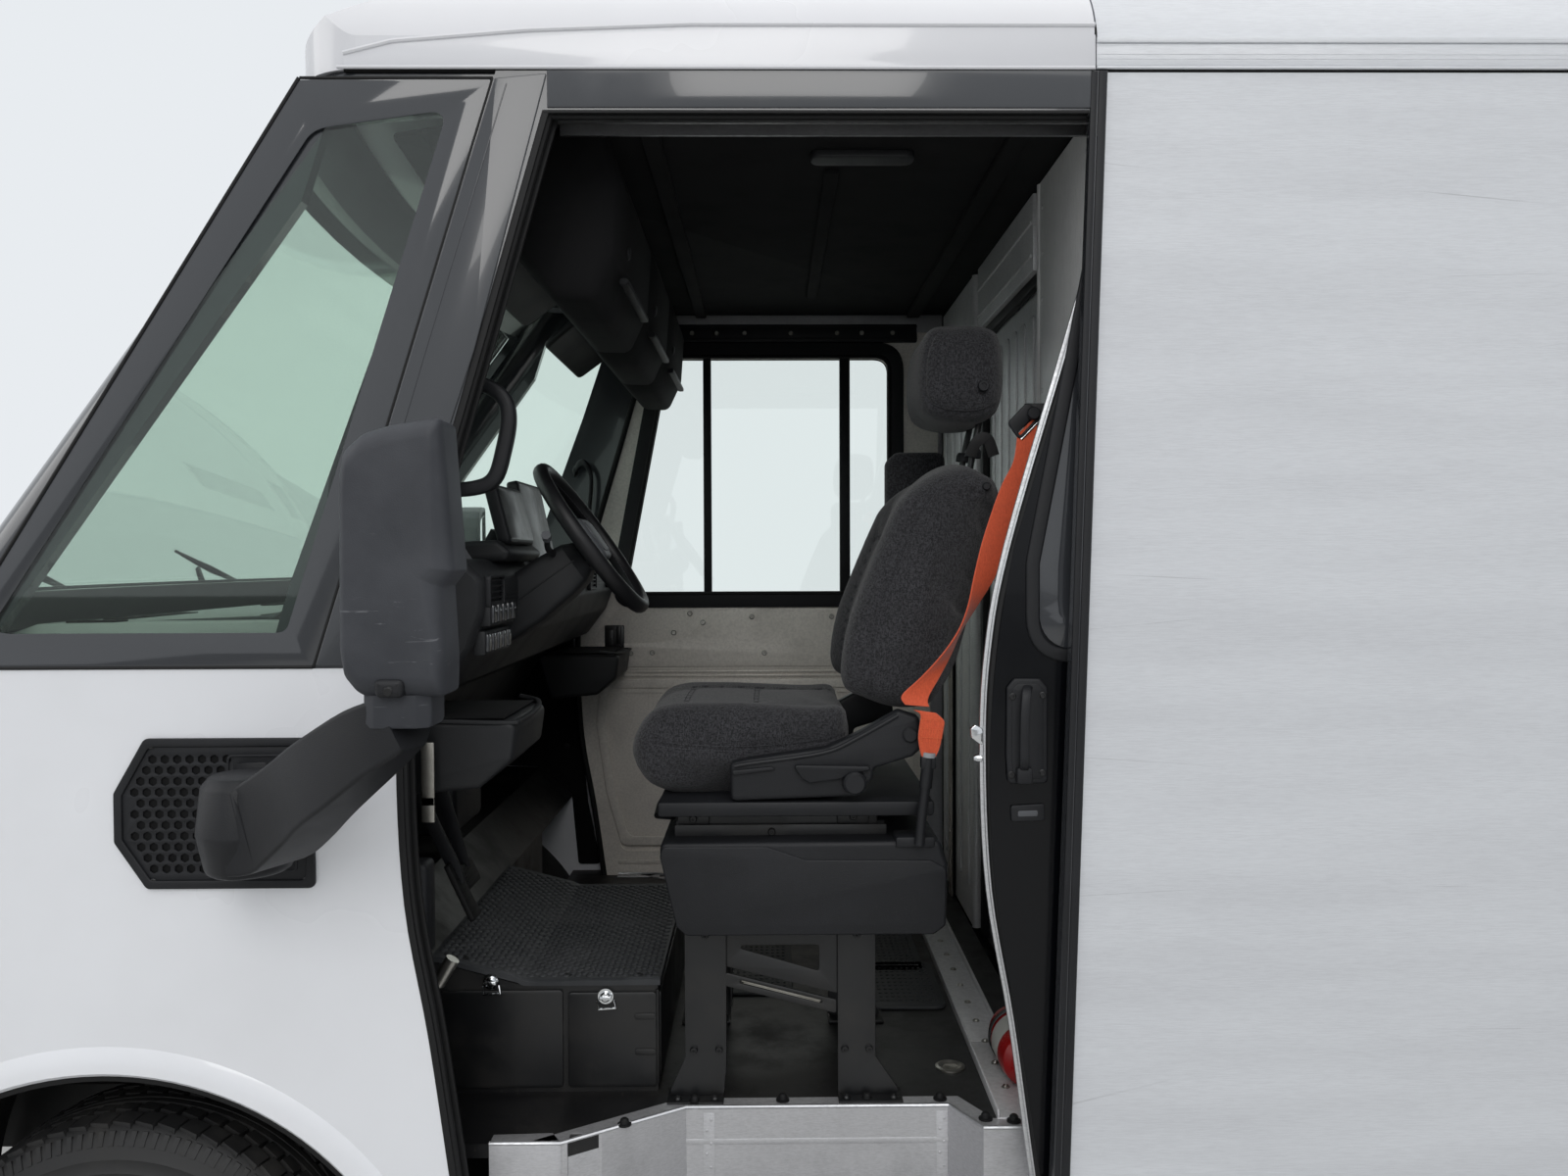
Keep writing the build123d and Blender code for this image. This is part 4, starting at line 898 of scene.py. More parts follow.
def dressSpots(name, places, shape, finish, body="root", **rest):
    # a piece that is made of one repeated shape
    return dress(name, spots(places, shape, finish), finish, body, **rest)


def domeHead(radius, height, sides=10):
    return turned([(0.0, height), (radius * 0.55, height * 0.9), (radius * 0.9, height * 0.5),
                   (radius, 0.0)], sides)


def screwHead(radius, height, sides=12):
    # a flanged bolt head with a six-lobed socket
    return joined([turned([(radius * 0.34, height * 0.35), (radius * 0.42, height), (radius * 0.72, height),
                           (radius * 0.8, height * 0.55), (radius, height * 0.3), (radius, 0.0)], sides),
                           turned([(0.0, height * 0.35), (radius * 0.34, height * 0.35)], 6)])


# Driver's seat: foam pads blown up as cloth, with seams and stitches laid on them afterwards
padSettings = {"voxel": 0.0085, "pressure": 5.0, "frames": 14, "cap": 0.022, "grooveDepth": 0.0042,
               "grooveWidth": 0.0042}
seatMiddle = (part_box("seat_cushion")[0].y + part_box("seat_cushion")[1].y) / 2
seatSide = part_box("seat_cushion")[1].y
threadGap = 0.0045
twinRows = {"x": [(threadGap, 0, 0), (-threadGap, 0, 0)], "y": [(0, threadGap, 0), (0, -threadGap, 0)],
            "z": [(0, 0, threadGap), (0, 0, -threadGap)]}


def padMesh(profile, middle, half, edge, shape=None, across=26):
    # a closed pad from its side profile; towards both sides its sections shrink and round over
    profile = [Vector(p) for p in profile]
    centre = sum(profile, Vector((0, 0))) / len(profile)
    rings = []
    for k in range(across + 1):
        s = -math.cos(math.pi * k / across)
        reach = max(0.0, (abs(s) * half - half + edge) / edge)
        shrink = edge * (1 - math.sqrt(max(0.0, 1 - reach * reach)))
        ring = []
        for p in profile:
            q = p - (p - centre).normalized() * shrink
            x, z = shape(q.x, q.y, s) if shape else (q.x, q.y)
            ring.append((x, middle + half * s, z))
        rings.append(ring)
    return loft(rings)


def voxelled(mesh, size):
    holder = bpy.data.objects.new("pad", mesh)
    bpy.context.scene.collection.objects.link(holder)
    cells = holder.modifiers.new("cells", "REMESH")
    cells.mode = "VOXEL"
    cells.voxel_size = size
    made = bpy.data.meshes.new_from_object(holder.evaluated_get(bpy.context.evaluated_depsgraph_get()))
    bpy.data.objects.remove(holder)
    return made


def inflated(mesh, held, c):
    # blows a pad up as cloth; seams given as points in held stay where they were sewn
    start = voxelled(mesh, c["voxel"])
    holder = bpy.data.objects.new("pad", start)
    bpy.context.scene.collection.objects.link(holder)
    sewn = holder.vertex_groups.new(name="sewn")
    tree = seamTree(held)
    for vertex in start.vertices:
        away = tree.find(vertex.co)[2] if held else 1.0
        if away < 0.012:
            sewn.add([vertex.index], 1.0 if away < 0.006 else 0.5, "REPLACE")
    cloth = holder.modifiers.new("cloth", "CLOTH")
    cloth.settings.quality = 3
    cloth.settings.mass = 0.25
    cloth.settings.tension_stiffness = 14
    cloth.settings.compression_stiffness = 14
    cloth.settings.shear_stiffness = 6
    cloth.settings.bending_stiffness = 3
    cloth.settings.use_pressure = True
    cloth.settings.uniform_pressure_force = c["pressure"]
    cloth.settings.effector_weights.gravity = 0
    cloth.settings.vertex_group_mass = "sewn"
    cloth.collision_settings.use_collision = False
    cloth.point_cache.frame_start = 1
    cloth.point_cache.frame_end = c["frames"]
    for step in range(1, c["frames"] + 1):
        bpy.context.scene.frame_set(step)
    swollen = bpy.data.meshes.new_from_object(holder.evaluated_get(bpy.context.evaluated_depsgraph_get()))
    for before, after in zip(start.vertices, swollen.vertices):
        move = after.co - before.co
        if move.length > c["cap"]:
            after.co = before.co + move.normalized() * c["cap"]
    bpy.data.objects.remove(holder)
    bpy.context.scene.frame_set(1)
    return swollen


def seamTree(lines):
    points = [Vector(p) for line in lines for p in line]
    tree = KDTree(max(len(points), 1))
    for index, point in enumerate(points):
        tree.insert(point, index)
    tree.balance()
    return tree


def refined(mesh):
    holder = bpy.data.objects.new("pad", mesh)
    bpy.context.scene.collection.objects.link(holder)
    soft = holder.modifiers.new("soft", "SUBSURF")
    soft.levels = 1
    soft.render_levels = 1
    made = bpy.data.meshes.new_from_object(holder.evaluated_get(bpy.context.evaluated_depsgraph_get()))
    bpy.data.objects.remove(holder)
    return made


def laidOn(mesh, points, ray, lift=0.0, steps=8):
    # the points joined by a smooth line and thrown along ray onto the surface
    tree = BVHTree.FromPolygons([v.co for v in mesh.vertices], [p.vertices[:] for p in mesh.polygons])
    ray = Vector(ray).normalized()
    line = []
    for point in flowing(points, steps):
        hit, normal = tree.ray_cast(point - ray * 0.6, ray)[:2]
        if hit:
            line.append(hit + normal * lift)
    return line


def grooved(mesh, lines, depth, width):
    tree = seamTree(lines)
    normals = [v.normal.copy() for v in mesh.vertices]
    for vertex, normal in zip(mesh.vertices, normals):
        away = tree.find(vertex.co)[2]
        if away < width * 3:
            vertex.co -= normal * depth * math.exp(-(away / width) ** 2)


def sewnPad(name, mesh, seams, stands):
    # seams: (points, ray, pairs of stitch rows) before the pad swells
    c = padSettings
    pinned = [laidOn(mesh, points, ray) for points, ray, rows in seams]
    began = time.time()
    blown = inflated(mesh, [line for line in pinned if line], c)
    print(name, "blown up in", round(time.time() - began, 1), "s")
    blown = refined(blown)
    lines = [laidOn(blown, points, ray) for points, ray, rows in seams]
    grooved(blown, lines, c["grooveDepth"], c["grooveWidth"])
    pad = dress(name, blown, "seatCloth", stands=stands, crease=80)
    rows = []
    for points, ray, shifts in seams:
        for shift in shifts:
            moved = [Vector(p) + Vector(shift) for p in points]
            rows.append(laidOn(blown, moved, ray, 0.0004, 12))
    rows = [row for row in rows if len(row) > 2]
    dress(name + "Stitches", stitches(rows, "seatThread"), "seatThread")
    return pad


cushionSettings = {
    "profile": [(1.258, 1.398), (1.262, 1.352), (1.238, 1.312), (1.19, 1.302), (0.9, 1.302), (0.868, 1.33),
                (0.856, 1.4), (0.866, 1.438), (0.93, 1.438), (1.1, 1.446), (1.21, 1.44)],
    "edge": 0.045, "bolster": 0.016, "insert": (0.872, 1.168), "insertHalf": 0.155, "crossSeam": 1.03}
backSettings = {
    "profile": [(0.8, 1.47), (0.846, 1.5), (0.838, 1.6), (0.8, 1.71), (0.752, 1.82), (0.712, 1.895),
                (0.655, 1.926), (0.59, 1.924), (0.566, 1.905), (0.6, 1.78), (0.64, 1.62), (0.69, 1.47),
                (0.728, 1.448)],
    "edge": 0.05, "bolster": 0.024, "insertHalf": 0.15, "insertTop": 1.79, "taper": 0.14}
restSettings = {
    "profile": [(0.566, 2.012), (0.636, 2.004), (0.694, 2.022), (0.709, 2.075), (0.703, 2.15),
                (0.684, 2.19), (0.64, 2.196), (0.575, 2.194), (0.545, 2.165), (0.541, 2.06)],
    "edge": 0.05, "half": 0.14}


def makeSeatPads():
    c = cushionSettings
    half = seatSide - seatMiddle - 0.01

    def raiseSides(x, z, s):
        wing = min(max((abs(s) - 0.55) / 0.3, 0), 1)
        top = min(max((z - 1.37) / 0.06, 0), 1)
        return x, z + top * (c["bolster"] * wing + 0.01 * (1 - s * s))

    mesh = padMesh(flowing(c["profile"], 5, True), seatMiddle, half, c["edge"], raiseSides)
    low, high = c["insert"]
    wide = c["insertHalf"]
    down = (0, 0, -1)
    seams = [([(high, seatMiddle - wide, 1.5), (high, seatMiddle + wide, 1.5)], down, twinRows["x"]),
             ([(c["crossSeam"], seatMiddle - wide, 1.5), (c["crossSeam"], seatMiddle + wide, 1.5)], down,
              twinRows["x"])]
    for hand in (1, -1):
        y = seatMiddle + hand * wide
        seams.append(([(low, y, 1.5), (high, y, 1.5)], down, twinRows["y"]))
        boxing = [(0.862, 1.402), (0.95, 1.388), (1.05, 1.381), (1.159, 1.385), (1.225, 1.394)]
        seams.append(([(x, seatMiddle, z) for x, z in boxing], (0, -hand, 0), twinRows["z"]))
    front = [(1.3, seatMiddle + t * (half - 0.055), 1.412 - 0.012 * t * t) for t in (-1, -0.5, 0, 0.5, 1)]
    seams.append((front, (-1, 0, 0), twinRows["z"]))
    sewnPad("seatCushion", mesh, seams, ("seat_cushion",))

    c = backSettings

    def bolsterBack(x, z, s):
        wing = min(max((abs(s) - 0.55) / 0.28, 0), 1)
        wing = wing * wing * (3 - 2 * wing)
        front = min(max((x - (0.66 - (z - 1.62) * 0.38)) / 0.07, 0), 1)
        high = min(max((z - 1.84) / 0.09, 0), 1)
        ahead = x + front * c["bolster"] * wing * (1 - high) - front * 0.012 * (1 - s * s)
        return ahead, z - 0.03 * high * s * s

    outline = flowing(c["profile"], 5, True)
    mesh = padMesh(outline, seatMiddle, half, c["edge"], bolsterBack, 30)
    for vertex in mesh.vertices:
        up = min(max((vertex.co.z - 1.55) / 0.38, 0), 1)
        vertex.co.y = seatMiddle + (vertex.co.y - seatMiddle) * (1 - c["taper"] * up * up)
    wide = c["insertHalf"]
    rear = (-1, 0, 0)
    across = [(1.0, seatMiddle + t * wide, c["insertTop"] - 0.01 * t * t) for t in (-1, -0.5, 0, 0.5, 1)]
    seams = [(across, rear, twinRows["z"])]
    middle = [(1.0, seatMiddle + t * wide, 1.6) for t in (-1, 0, 1)]
    seams.append((middle, rear, twinRows["z"]))
    for hand in (1, -1):
        y = seatMiddle + hand * wide
        seams.append(([(1.0, y, 1.475), (1.0, y, 1.6), (1.0, y, c["insertTop"])], rear, twinRows["y"]))
        edge = [(0.812, 1.482), (0.806, 1.6), (0.77, 1.706), (0.722, 1.812), (0.676, 1.885)]
        seams.append(([(x, seatMiddle, z) for x, z in edge], (0, -hand, 0), twinRows["x"]))
    sewnPad("seatBack", mesh, seams, ("seat_back",))

    c = restSettings
    outline = flowing(c["profile"], 4, True)
    mesh = padMesh(outline, seatMiddle, c["half"], c["edge"], None, 22)
    seams = []
    for hand in (1, -1):
        ring = [(0.56, 2.035), (0.6, 2.022), (0.66, 2.026), (0.694, 2.052), (0.694, 2.13), (0.68, 2.172)]
        seams.append(([(x, seatMiddle, z) for x, z in ring], (0, -hand, 0), [(0, 0, threadGap)]))
    sewnPad("headRest", mesh, seams, ())


def makeSeatFrame():
    # recliner covers, base cover, rails, legs and the small fittings between them
    near = seatSide + 0.001
    far = 2 * seatMiddle - near
    cover = [(1.077, 1.362), (1.044, 1.369), (0.901, 1.389), (0.841, 1.416), (0.766, 1.458), (0.728, 1.446),
             (0.722, 1.388), (0.74, 1.372), (0.813, 1.35), (0.812, 1.332), (0.848, 1.299), (1.075, 1.291)]
    ridge = [(1.068, 1.356), (1.04, 1.361), (0.905, 1.38), (0.842, 1.407), (0.768, 1.448)]
    meshes = []
    for y, hand in ((near, 1), (far, -1)):
        span = (-0.038, 0) if hand > 0 else (0, 0.038)
        meshes.append(slab([rounded(cover, 0.012)], sidePlane(y), span, 0.008, 4))
        face = y + hand * 0.0375
        meshes.append(tube([(x, face, z) for x, z in flowing(ridge, 5)], 0.0042, 8))
    dress("reclinerCovers", joined(meshes), "blackGrain", stands=("seat_base",))
    face = near + 0.038
    lever = [(0.962, 1.36), (0.822, 1.357), (0.818, 1.35), (0.862, 1.34), (0.872, 1.334), (0.93, 1.326),
             (0.944, 1.334)]
    front = [(1.074, 1.349), (1.0, 1.356), (0.992, 1.35), (1.07, 1.34)]
    parts = [slab([rounded(lever, 0.006)], sidePlane(face), (-0.012, 0.002), 0.003, 3),
             slab([rounded(front, 0.004)], sidePlane(face), (-0.006, 0.002), 0.002, 3),
             lathe([(0, 0.022), (0.017, 0.022), (0.021, 0.018), (0.023, 0.0)], (0.848, face, 1.326),
                   (0, 1, 0), 28), lathe([(0, 0.006), (0.011, 0.006), (0.014, 0.003), (0.014, 0.0)],
                           (0.745, face, 1.412), (0, 1, 0), 20)]
    dress("seatLevers", joined(parts), "blackGrain")

    box = [(1.206, 1.214), (1.206, 1.188), (1.176, 1.06), (1.158, 1.041, 0.012), (0.7, 1.041),
           (0.678, 1.058), (0.675, 1.172), (0.69, 1.217)]
    low = [(1.206, 1.19), (1.176, 1.06), (1.158, 1.044), (0.702, 1.044), (0.681, 1.06), (0.678, 1.166),
           (0.707, 1.181), (0.938, 1.183), (1.01, 1.208), (1.202, 1.209)]
    outer = near + 0.04
    inner = 2 * seatMiddle - outer
    parts = [slab([rounded(box, 0.014)], sidePlane(seatMiddle),
                  (seatMiddle - outer + 0.003, outer - seatMiddle - 0.003), 0.009, 4)]
    for y, hand in ((outer, 1), (inner, -1)):
        span = (0, 0.006) if hand > 0 else (-0.006, 0)
        parts.append(slab([rounded(low, 0.014)], sidePlane(y), span, 0.0035, 3))
    slot = brick((0.7, outer - 0.062, 1.205), (0.772, outer + 0.004, 1.225), 0.004)
    parts.append(slot)
    parts.append(brick((0.7, far - 0.038, 1.262), (1.21, near + 0.036, 1.29), 0.006))
    dress("seatBaseCover", joined(parts), "blackGrain")

    metal = []
    for y in (seatMiddle - 0.195, seatMiddle + 0.205):
        metal.append(brick((0.783, y - 0.02, 1.207), (1.183, y + 0.02, 1.214), 0.001))
        metal.append(brick((0.783, y + 0.016, 1.207), (1.183, y + 0.021, 1.235), 0.001))
        metal.append(brick((0.783, y - 0.021, 1.207), (1.183, y - 0.016, 1.235), 0.001))
        metal.append(brick((0.8, y - 0.012, 1.218), (1.16, y + 0.012, 1.262), 0.002))
        for x in (0.846, 1.148):
            metal.append(brick((x - 0.03, y - 0.018, 1.235), (x + 0.03, y + 0.018, 1.262), 0.003))
    for x in (0.9, 1.02):
        metal.append(tube([(x, seatMiddle - 0.19, 1.245), (x, seatMiddle + 0.19, 1.245)], 0.009, 10))
    metal.append(tube([(1.19, seatMiddle - 0.16, 1.238), (1.225, seatMiddle - 0.12, 1.232),
                       (1.23, seatMiddle, 1.23), (1.225, seatMiddle + 0.12, 1.232),
                       (1.19, seatMiddle + 0.16, 1.238)], 0.007, 8))
    for y in (seatMiddle - 0.06, seatMiddle + 0.06):
        metal.append(tube([(0.575, y, 2.03), (0.592, y, 1.95), (0.604, y, 1.88)], 0.0065, 12))
    # the rails are bare metal; their black steel finish is painted shade under the seat
    dress("seatRails", joined(metal), "blackSteel", slot="bare_aluminium")

    steel = []
    for y, hand in ((seatMiddle + 0.205, 1), (seatMiddle - 0.205, -1)):
        for low, high, foot in ((1.088, 1.167, (1.093, 1.2)), (0.803, 0.875, (0.753, 0.875))):
            leg = [(low, 1.05), (high, 1.05), (high, 0.785), (foot[1], 0.712), (foot[0], 0.712),
                   (low, 0.785)]
            steel.append(slab([rounded(leg, 0.01)], sidePlane(y), (-0.003, 0.003), 0.001))
            steel.append(brick((foot[0], y - 0.035, 0.7055), (foot[1], y + 0.035, 0.712), 0.0015))
            steel.append(brick((low, y - 0.045 * hand, 0.75), (low + 0.004, y, 1.05), 0.001))
        window = rounded([(0.91, 0.948), (1.06, 0.992), (1.06, 0.999), (0.91, 0.999)], 0.006)
        brace = rounded([(0.875, 0.905), (1.088, 0.958), (1.088, 1.03), (0.875, 1.03)], 0.004)
        steel.append(slab([brace, window], sidePlane(y - 0.004), (-0.0025, 0.0025), 0.001))
        strut = rounded([(1.09, 0.948), (0.878, 0.894), (0.878, 0.868), (1.09, 0.922)], 0.005)
        cut = rounded([(1.062, 0.934), (0.905, 0.894), (0.905, 0.887), (1.062, 0.927)], 0.003)
        steel.append(slab([strut, cut], sidePlane(y), (-0.003, 0.003), 0.001))
    steel.append(brick((0.8, seatMiddle - 0.205, 1.045), (1.17, seatMiddle + 0.205, 1.052), 0.002))
    dress("seatLegs", joined(steel), "blackSteel")
    # bright zinc lines along the black leg's strut edges: painted glints
    y = seatMiddle + 0.2085
    edges = [tube([(1.058, y, 0.932), (0.908, y, 0.893)], 0.0016, 6),
             tube([(1.055, y, 0.9285), (0.91, y, 0.8905)], 0.0012, 6)]
    dress("seatLegWear", joined(edges), "zincSteel", slot="frame_black")
    heads = [((x, seatMiddle + 0.2082, z), (0, 1, 0), (1, 0, 0))
             for x, z in ((1.102, 0.8), (1.15, 0.8), (0.815, 0.8), (0.862, 0.8), (1.128, 1.02),
                          (0.839, 1.02))]
    heads += [((x, seatMiddle + 0.2265, z), (0, 1, 0), (1, 0, 0))
              for x, z in ((1.148, 1.247), (0.846, 1.25), (1.0, 1.222))]
    heads += [((x, y, 0.7121), (0, 0, 1), (1, 0, 0)) for x in (1.11, 1.18, 0.77, 0.86)
              for y in (seatMiddle + 0.226, seatMiddle - 0.226)]
    dressSpots("seatBolts", heads, screwHead(0.0075, 0.006), "blackSteel")

    # belt stalk with its boot, the round caps of the back and head rest, and the sleeve pieces
    y = near + 0.052
    stalk = [tube([(0.713, y, 1.372), (0.719, y, 1.318)], 0.0118, 16),
             tube([(0.719, y, 1.32), (0.726, y, 1.26), (0.73, y, 1.212)], 0.0095, 16),
             brick((0.7, y - 0.01, 1.352), (0.728, y + 0.01, 1.376), 0.004)]
    dress("beltStalk", joined(stalk), "blackGrain")
    dress("stalkRing", lathe([(0.01, 0.0045), (0.0135, 0.0045), (0.0135, -0.0045), (0.01, -0.0045),
                              (0.01, 0.0045)], (0.7125, y, 1.378), (-0.1, 0, 1), 20), "greyGrain")
    caps = []
    for hand in (1, -1):
        side = seatMiddle + hand * (seatSide - seatMiddle - 0.014) * 0.87
        caps.append(lathe([(0, 0.004), (0.006, 0.004), (0.008, 0.001), (0.008, -0.006)],
                          (0.59, side, 1.873), (0, hand, 0), 18))
        flank = seatMiddle + hand * (restSettings["half"] + 0.01)
        caps.append(lathe([(0, 0.0015), (0.005, 0.0015), (0.0055, 0.0035), (0.0095, 0.0035), (0.011, 0.001),
                           (0.011, -0.012)], (0.586, flank, 2.071), (0, hand, 0), 24))
    for y in (seatMiddle - 0.06, seatMiddle + 0.06):
        caps.append(lathe([(0.0068, 0.012), (0.013, 0.012), (0.016, 0.006), (0.016, -0.006)],
                          (0.592, y, 1.945), (-0.15, 0, 1), 20))
    dress("seatCaps", joined(caps), "blackGrain")
    arm = rounded([(0.603, 1.812), (0.72, 1.812), (0.738, 1.84), (0.738, 1.955), (0.715, 1.977),
                   (0.603, 1.977)], 0.022)
    dress("armRest", slab([arm], sidePlane(seatMiddle - 0.278), (-0.026, 0.026), 0.014, 5), "seatCloth")


makeSeatPads()
makeSeatFrame()
print("driver's seat made")


# Perforated vent plates, the mirror arms and heads
ventSettings = {
    "outline": [(2.093, 1.269), (2.093, 1.351), (2.041, 1.442), (1.764, 1.442), (1.761, 1.191),
                (2.04, 1.191)],
    "corner": 0.012, "hole": 0.0078, "pitch": (0.0205, 0.0295), "margin": 0.024, "plain": 1.905,
    "thick": 0.008,
    "pivot": (1.832, 1.13), "hubRadius": 0.076, "hubLow": 1.232,
    "screws": [(1.776, 1.428), (1.776, 1.205), (2.03, 1.43), (2.03, 1.203)]}


def inside(point, outline, margin):
    # whether a point lies inside a convex outline by more than the margin
    sign = None
    count = len(outline)
    for k in range(count):
        a = Vector(outline[k])
        b = Vector(outline[(k + 1) % count])
        along = (b - a).normalized()
        away = along.x * (point[1] - a.y) - along.y * (point[0] - a.x)
        sign = sign or (1 if away > 0 else -1)
        if away * sign < margin:
            return False
    return True


def makeVentPlates():
    c = ventSettings
    face = sideY + c["thick"]
    outline = c["outline"]
    holes = []
    for row in range(14):
        for step in range(20):
            x = 1.772 + c["pitch"][0] * (step + 0.5 * (row % 2))
            z = 1.206 + c["pitch"][1] * 0.62 * row
            if x > c["plain"] and inside((x, z), outline, c["margin"]):
                turned = [(x + c["hole"] * math.cos(math.pi / 3 * k + math.pi / 6),
                           z + c["hole"] * math.sin(math.pi / 3 * k + math.pi / 6)) for k in range(6)]
                holes.append(rounded(turned, 0.0022, 2))
    field = rounded(offsetOutline(outline, -0.014), c["corner"])
    parts = [slab([field] + holes, sidePlane(sideY), (-0.0045, -0.0005), 0.0006, 2),
             slab([rounded(outline, c["corner"]), field], sidePlane(sideY), (-c["thick"], 0.002), 0.0022,
                  3)]
    # the saddle behind the mirror's hub, hollowed to its round
    pivot, radius = c["pivot"], c["hubRadius"] + 0.01
    hollow = []
    for k in range(17):
        x = pivot[0] - 0.055 + 0.11 * k / 16
        hollow.append((x, min(face + 0.026, pivot[1] - math.sqrt(radius ** 2 - (x - pivot[0]) ** 2))))
    saddle = [(pivot[0] - 0.055, sideY + 0.002)] + hollow + [(pivot[0] + 0.055, sideY + 0.002)]
    parts.append(slab([saddle], levelPlane(0), (c["hubLow"] + 0.022, c["hubLow"] + 0.17), 0.0015, 2))
    rib = [(x, z) for x, z in ((1.79, 1.415), (1.905, 1.415), (1.905, 1.218), (1.79, 1.218))]
    parts.append(slab([rounded(rib, 0.01), rounded(offsetOutline(rib, -0.004), 0.008)], sidePlane(sideY),
                      (-0.0065, -0.003), 0.001, 2))
    dress("ventPlates", mirrored(joined(parts)), "blackGrain", stands=("vent_plates",))
    # a near-black sheet behind the perforations: painted shade seen through the holes
    back = slab([field], sidePlane(sideY), (-0.0012, 0.0002), 0.0003)
    dress("ventBacking", mirrored(back), "shadeBlack")
    heads = [((x, hand * (sideY + 0.0046), z), (0, hand, 0), (1, 0, 0)) for x, z in c["screws"]
             for hand in (1, -1)]
    dressSpots("ventScrews", heads, screwHead(0.0055, 0.003), "blackSteel", slot="black_plastic")


mirrorSettings = {
    "pivot": (1.832, 1.13), "hub": 0.0775, "hubLow": 1.243, "hubHigh": 1.398, "swing": 94,
    "outline": [(1.591, 1.61, 0.03), (1.59, 1.85, 0.05), (1.583, 1.888, 0.02), (1.557, 1.911, 0.03),
                (1.52, 1.922, 0.03), (1.45, 1.932, 0.01), (1.4345, 1.722, 0.006), (1.4515, 1.7, 0.006),
                (1.447, 1.6, 0.01), (1.449, 1.549, 0.008), (1.564, 1.549, 0.03), (1.585, 1.575, 0.02)],
    "depth": (1.321, 1.429), "round": 0.034, "split": 1.64,
    # the arm's places along its middle, with its width and height there
    "arm": [(1.83, 1.15, 1.318, 0.128, 0.134), (1.775, 1.165, 1.328, 0.124, 0.132),
            (1.706, 1.22, 1.373, 0.112, 0.124), (1.639, 1.29, 1.424, 0.104, 0.114),
            (1.555, 1.352, 1.484, 0.096, 0.098), (1.512, 1.37, 1.512, 0.086, 0.082)]}


def mirrorHub(c):
    # a barrel with a fold round its middle and a bevelled top
    rings = []
    high = c["hubHigh"] - c["hubLow"]
    steps = ((0.0, 0.03), (0.008, 0.021), (0.03, 0.0155), (0.07, 0.0125), (0.4, 0.0015), (0.425, 0.0004),
             (0.45, 0.0008), (0.89, 0.0085), (0.915, 0.0105), (0.985, 0.02), (1.0, 0.024))
    for t, shrink in steps:
        ring = []
        for k in range(40):
            turn = 2 * math.pi * k / 40
            out = max(0.0, math.sin(turn)) * max(0.0, 1 - abs(math.cos(turn)) * 0.55)
            radius = c["hub"] + 0.016 * out - shrink
            ring.append((c["pivot"][0] + radius * math.cos(turn), c["pivot"][1] + radius * math.sin(turn),
                         c["hubLow"] + high * t))
        rings.append(ring)
    return loft(rings)


def mirrorArm(c):
    # six flat sides: a bevel above and another below the outer face, dark with painted shade
    path = flowing([p[:3] for p in c["arm"]], 4)
    sizes = flowing([(p[3], p[4], 0) for p in c["arm"]], 4)
    rings = []
    for k, place in enumerate(path):
        ahead = (path[min(k + 1, len(path) - 1)] - path[max(k - 1, 0)]).normalized()
        across = Vector((0, 0, 1)).cross(ahead).normalized()
        top = ahead.cross(across)
        wide, tall = sizes[k].x / 2, sizes[k].y / 2
        ring = rounded([(-wide, -tall), (wide - 0.03, -tall), (wide, -tall * 0.5), (wide, tall * 0.42),
                        (wide - 0.04, tall), (-wide, tall)], 0.007, 4)
        rings.append([place + across * u + top * v for u, v in ring])
    return loft(rings)


def mirrorHead(c):
    ring = rounded(c["outline"], 0.02, 7)
    middle = Vector((1.528, 1.735))
    low, high = c["depth"]
    steps = [(low + 0.01, 0.0165), (low + 0.0005, 0.0155), (low, 0.0125), (low + 0.0004, 0.007),
             (low + 0.003, 0.0025), (low + 0.006, 0.0012), (low + 0.0075, 0.003), (low + 0.009, 0.003),
             (low + 0.01, 0.0008), (low + 0.016, 0.0), (high - c["round"], 0.0)]
    for k in range(1, 9):
        turn = math.pi / 2 * k / 8
        steps.append((high - c["round"] * (1 - math.sin(turn)), c["round"] * (1 - math.cos(turn)) * 0.9))
    rings = []
    for y, shrink in steps:
        rings.append([(p[0] - (Vector(p) - middle).normalized().x * shrink, y,
                       p[1] - (Vector(p) - middle).normalized().y * shrink) for p in ring])
    return loft(rings)


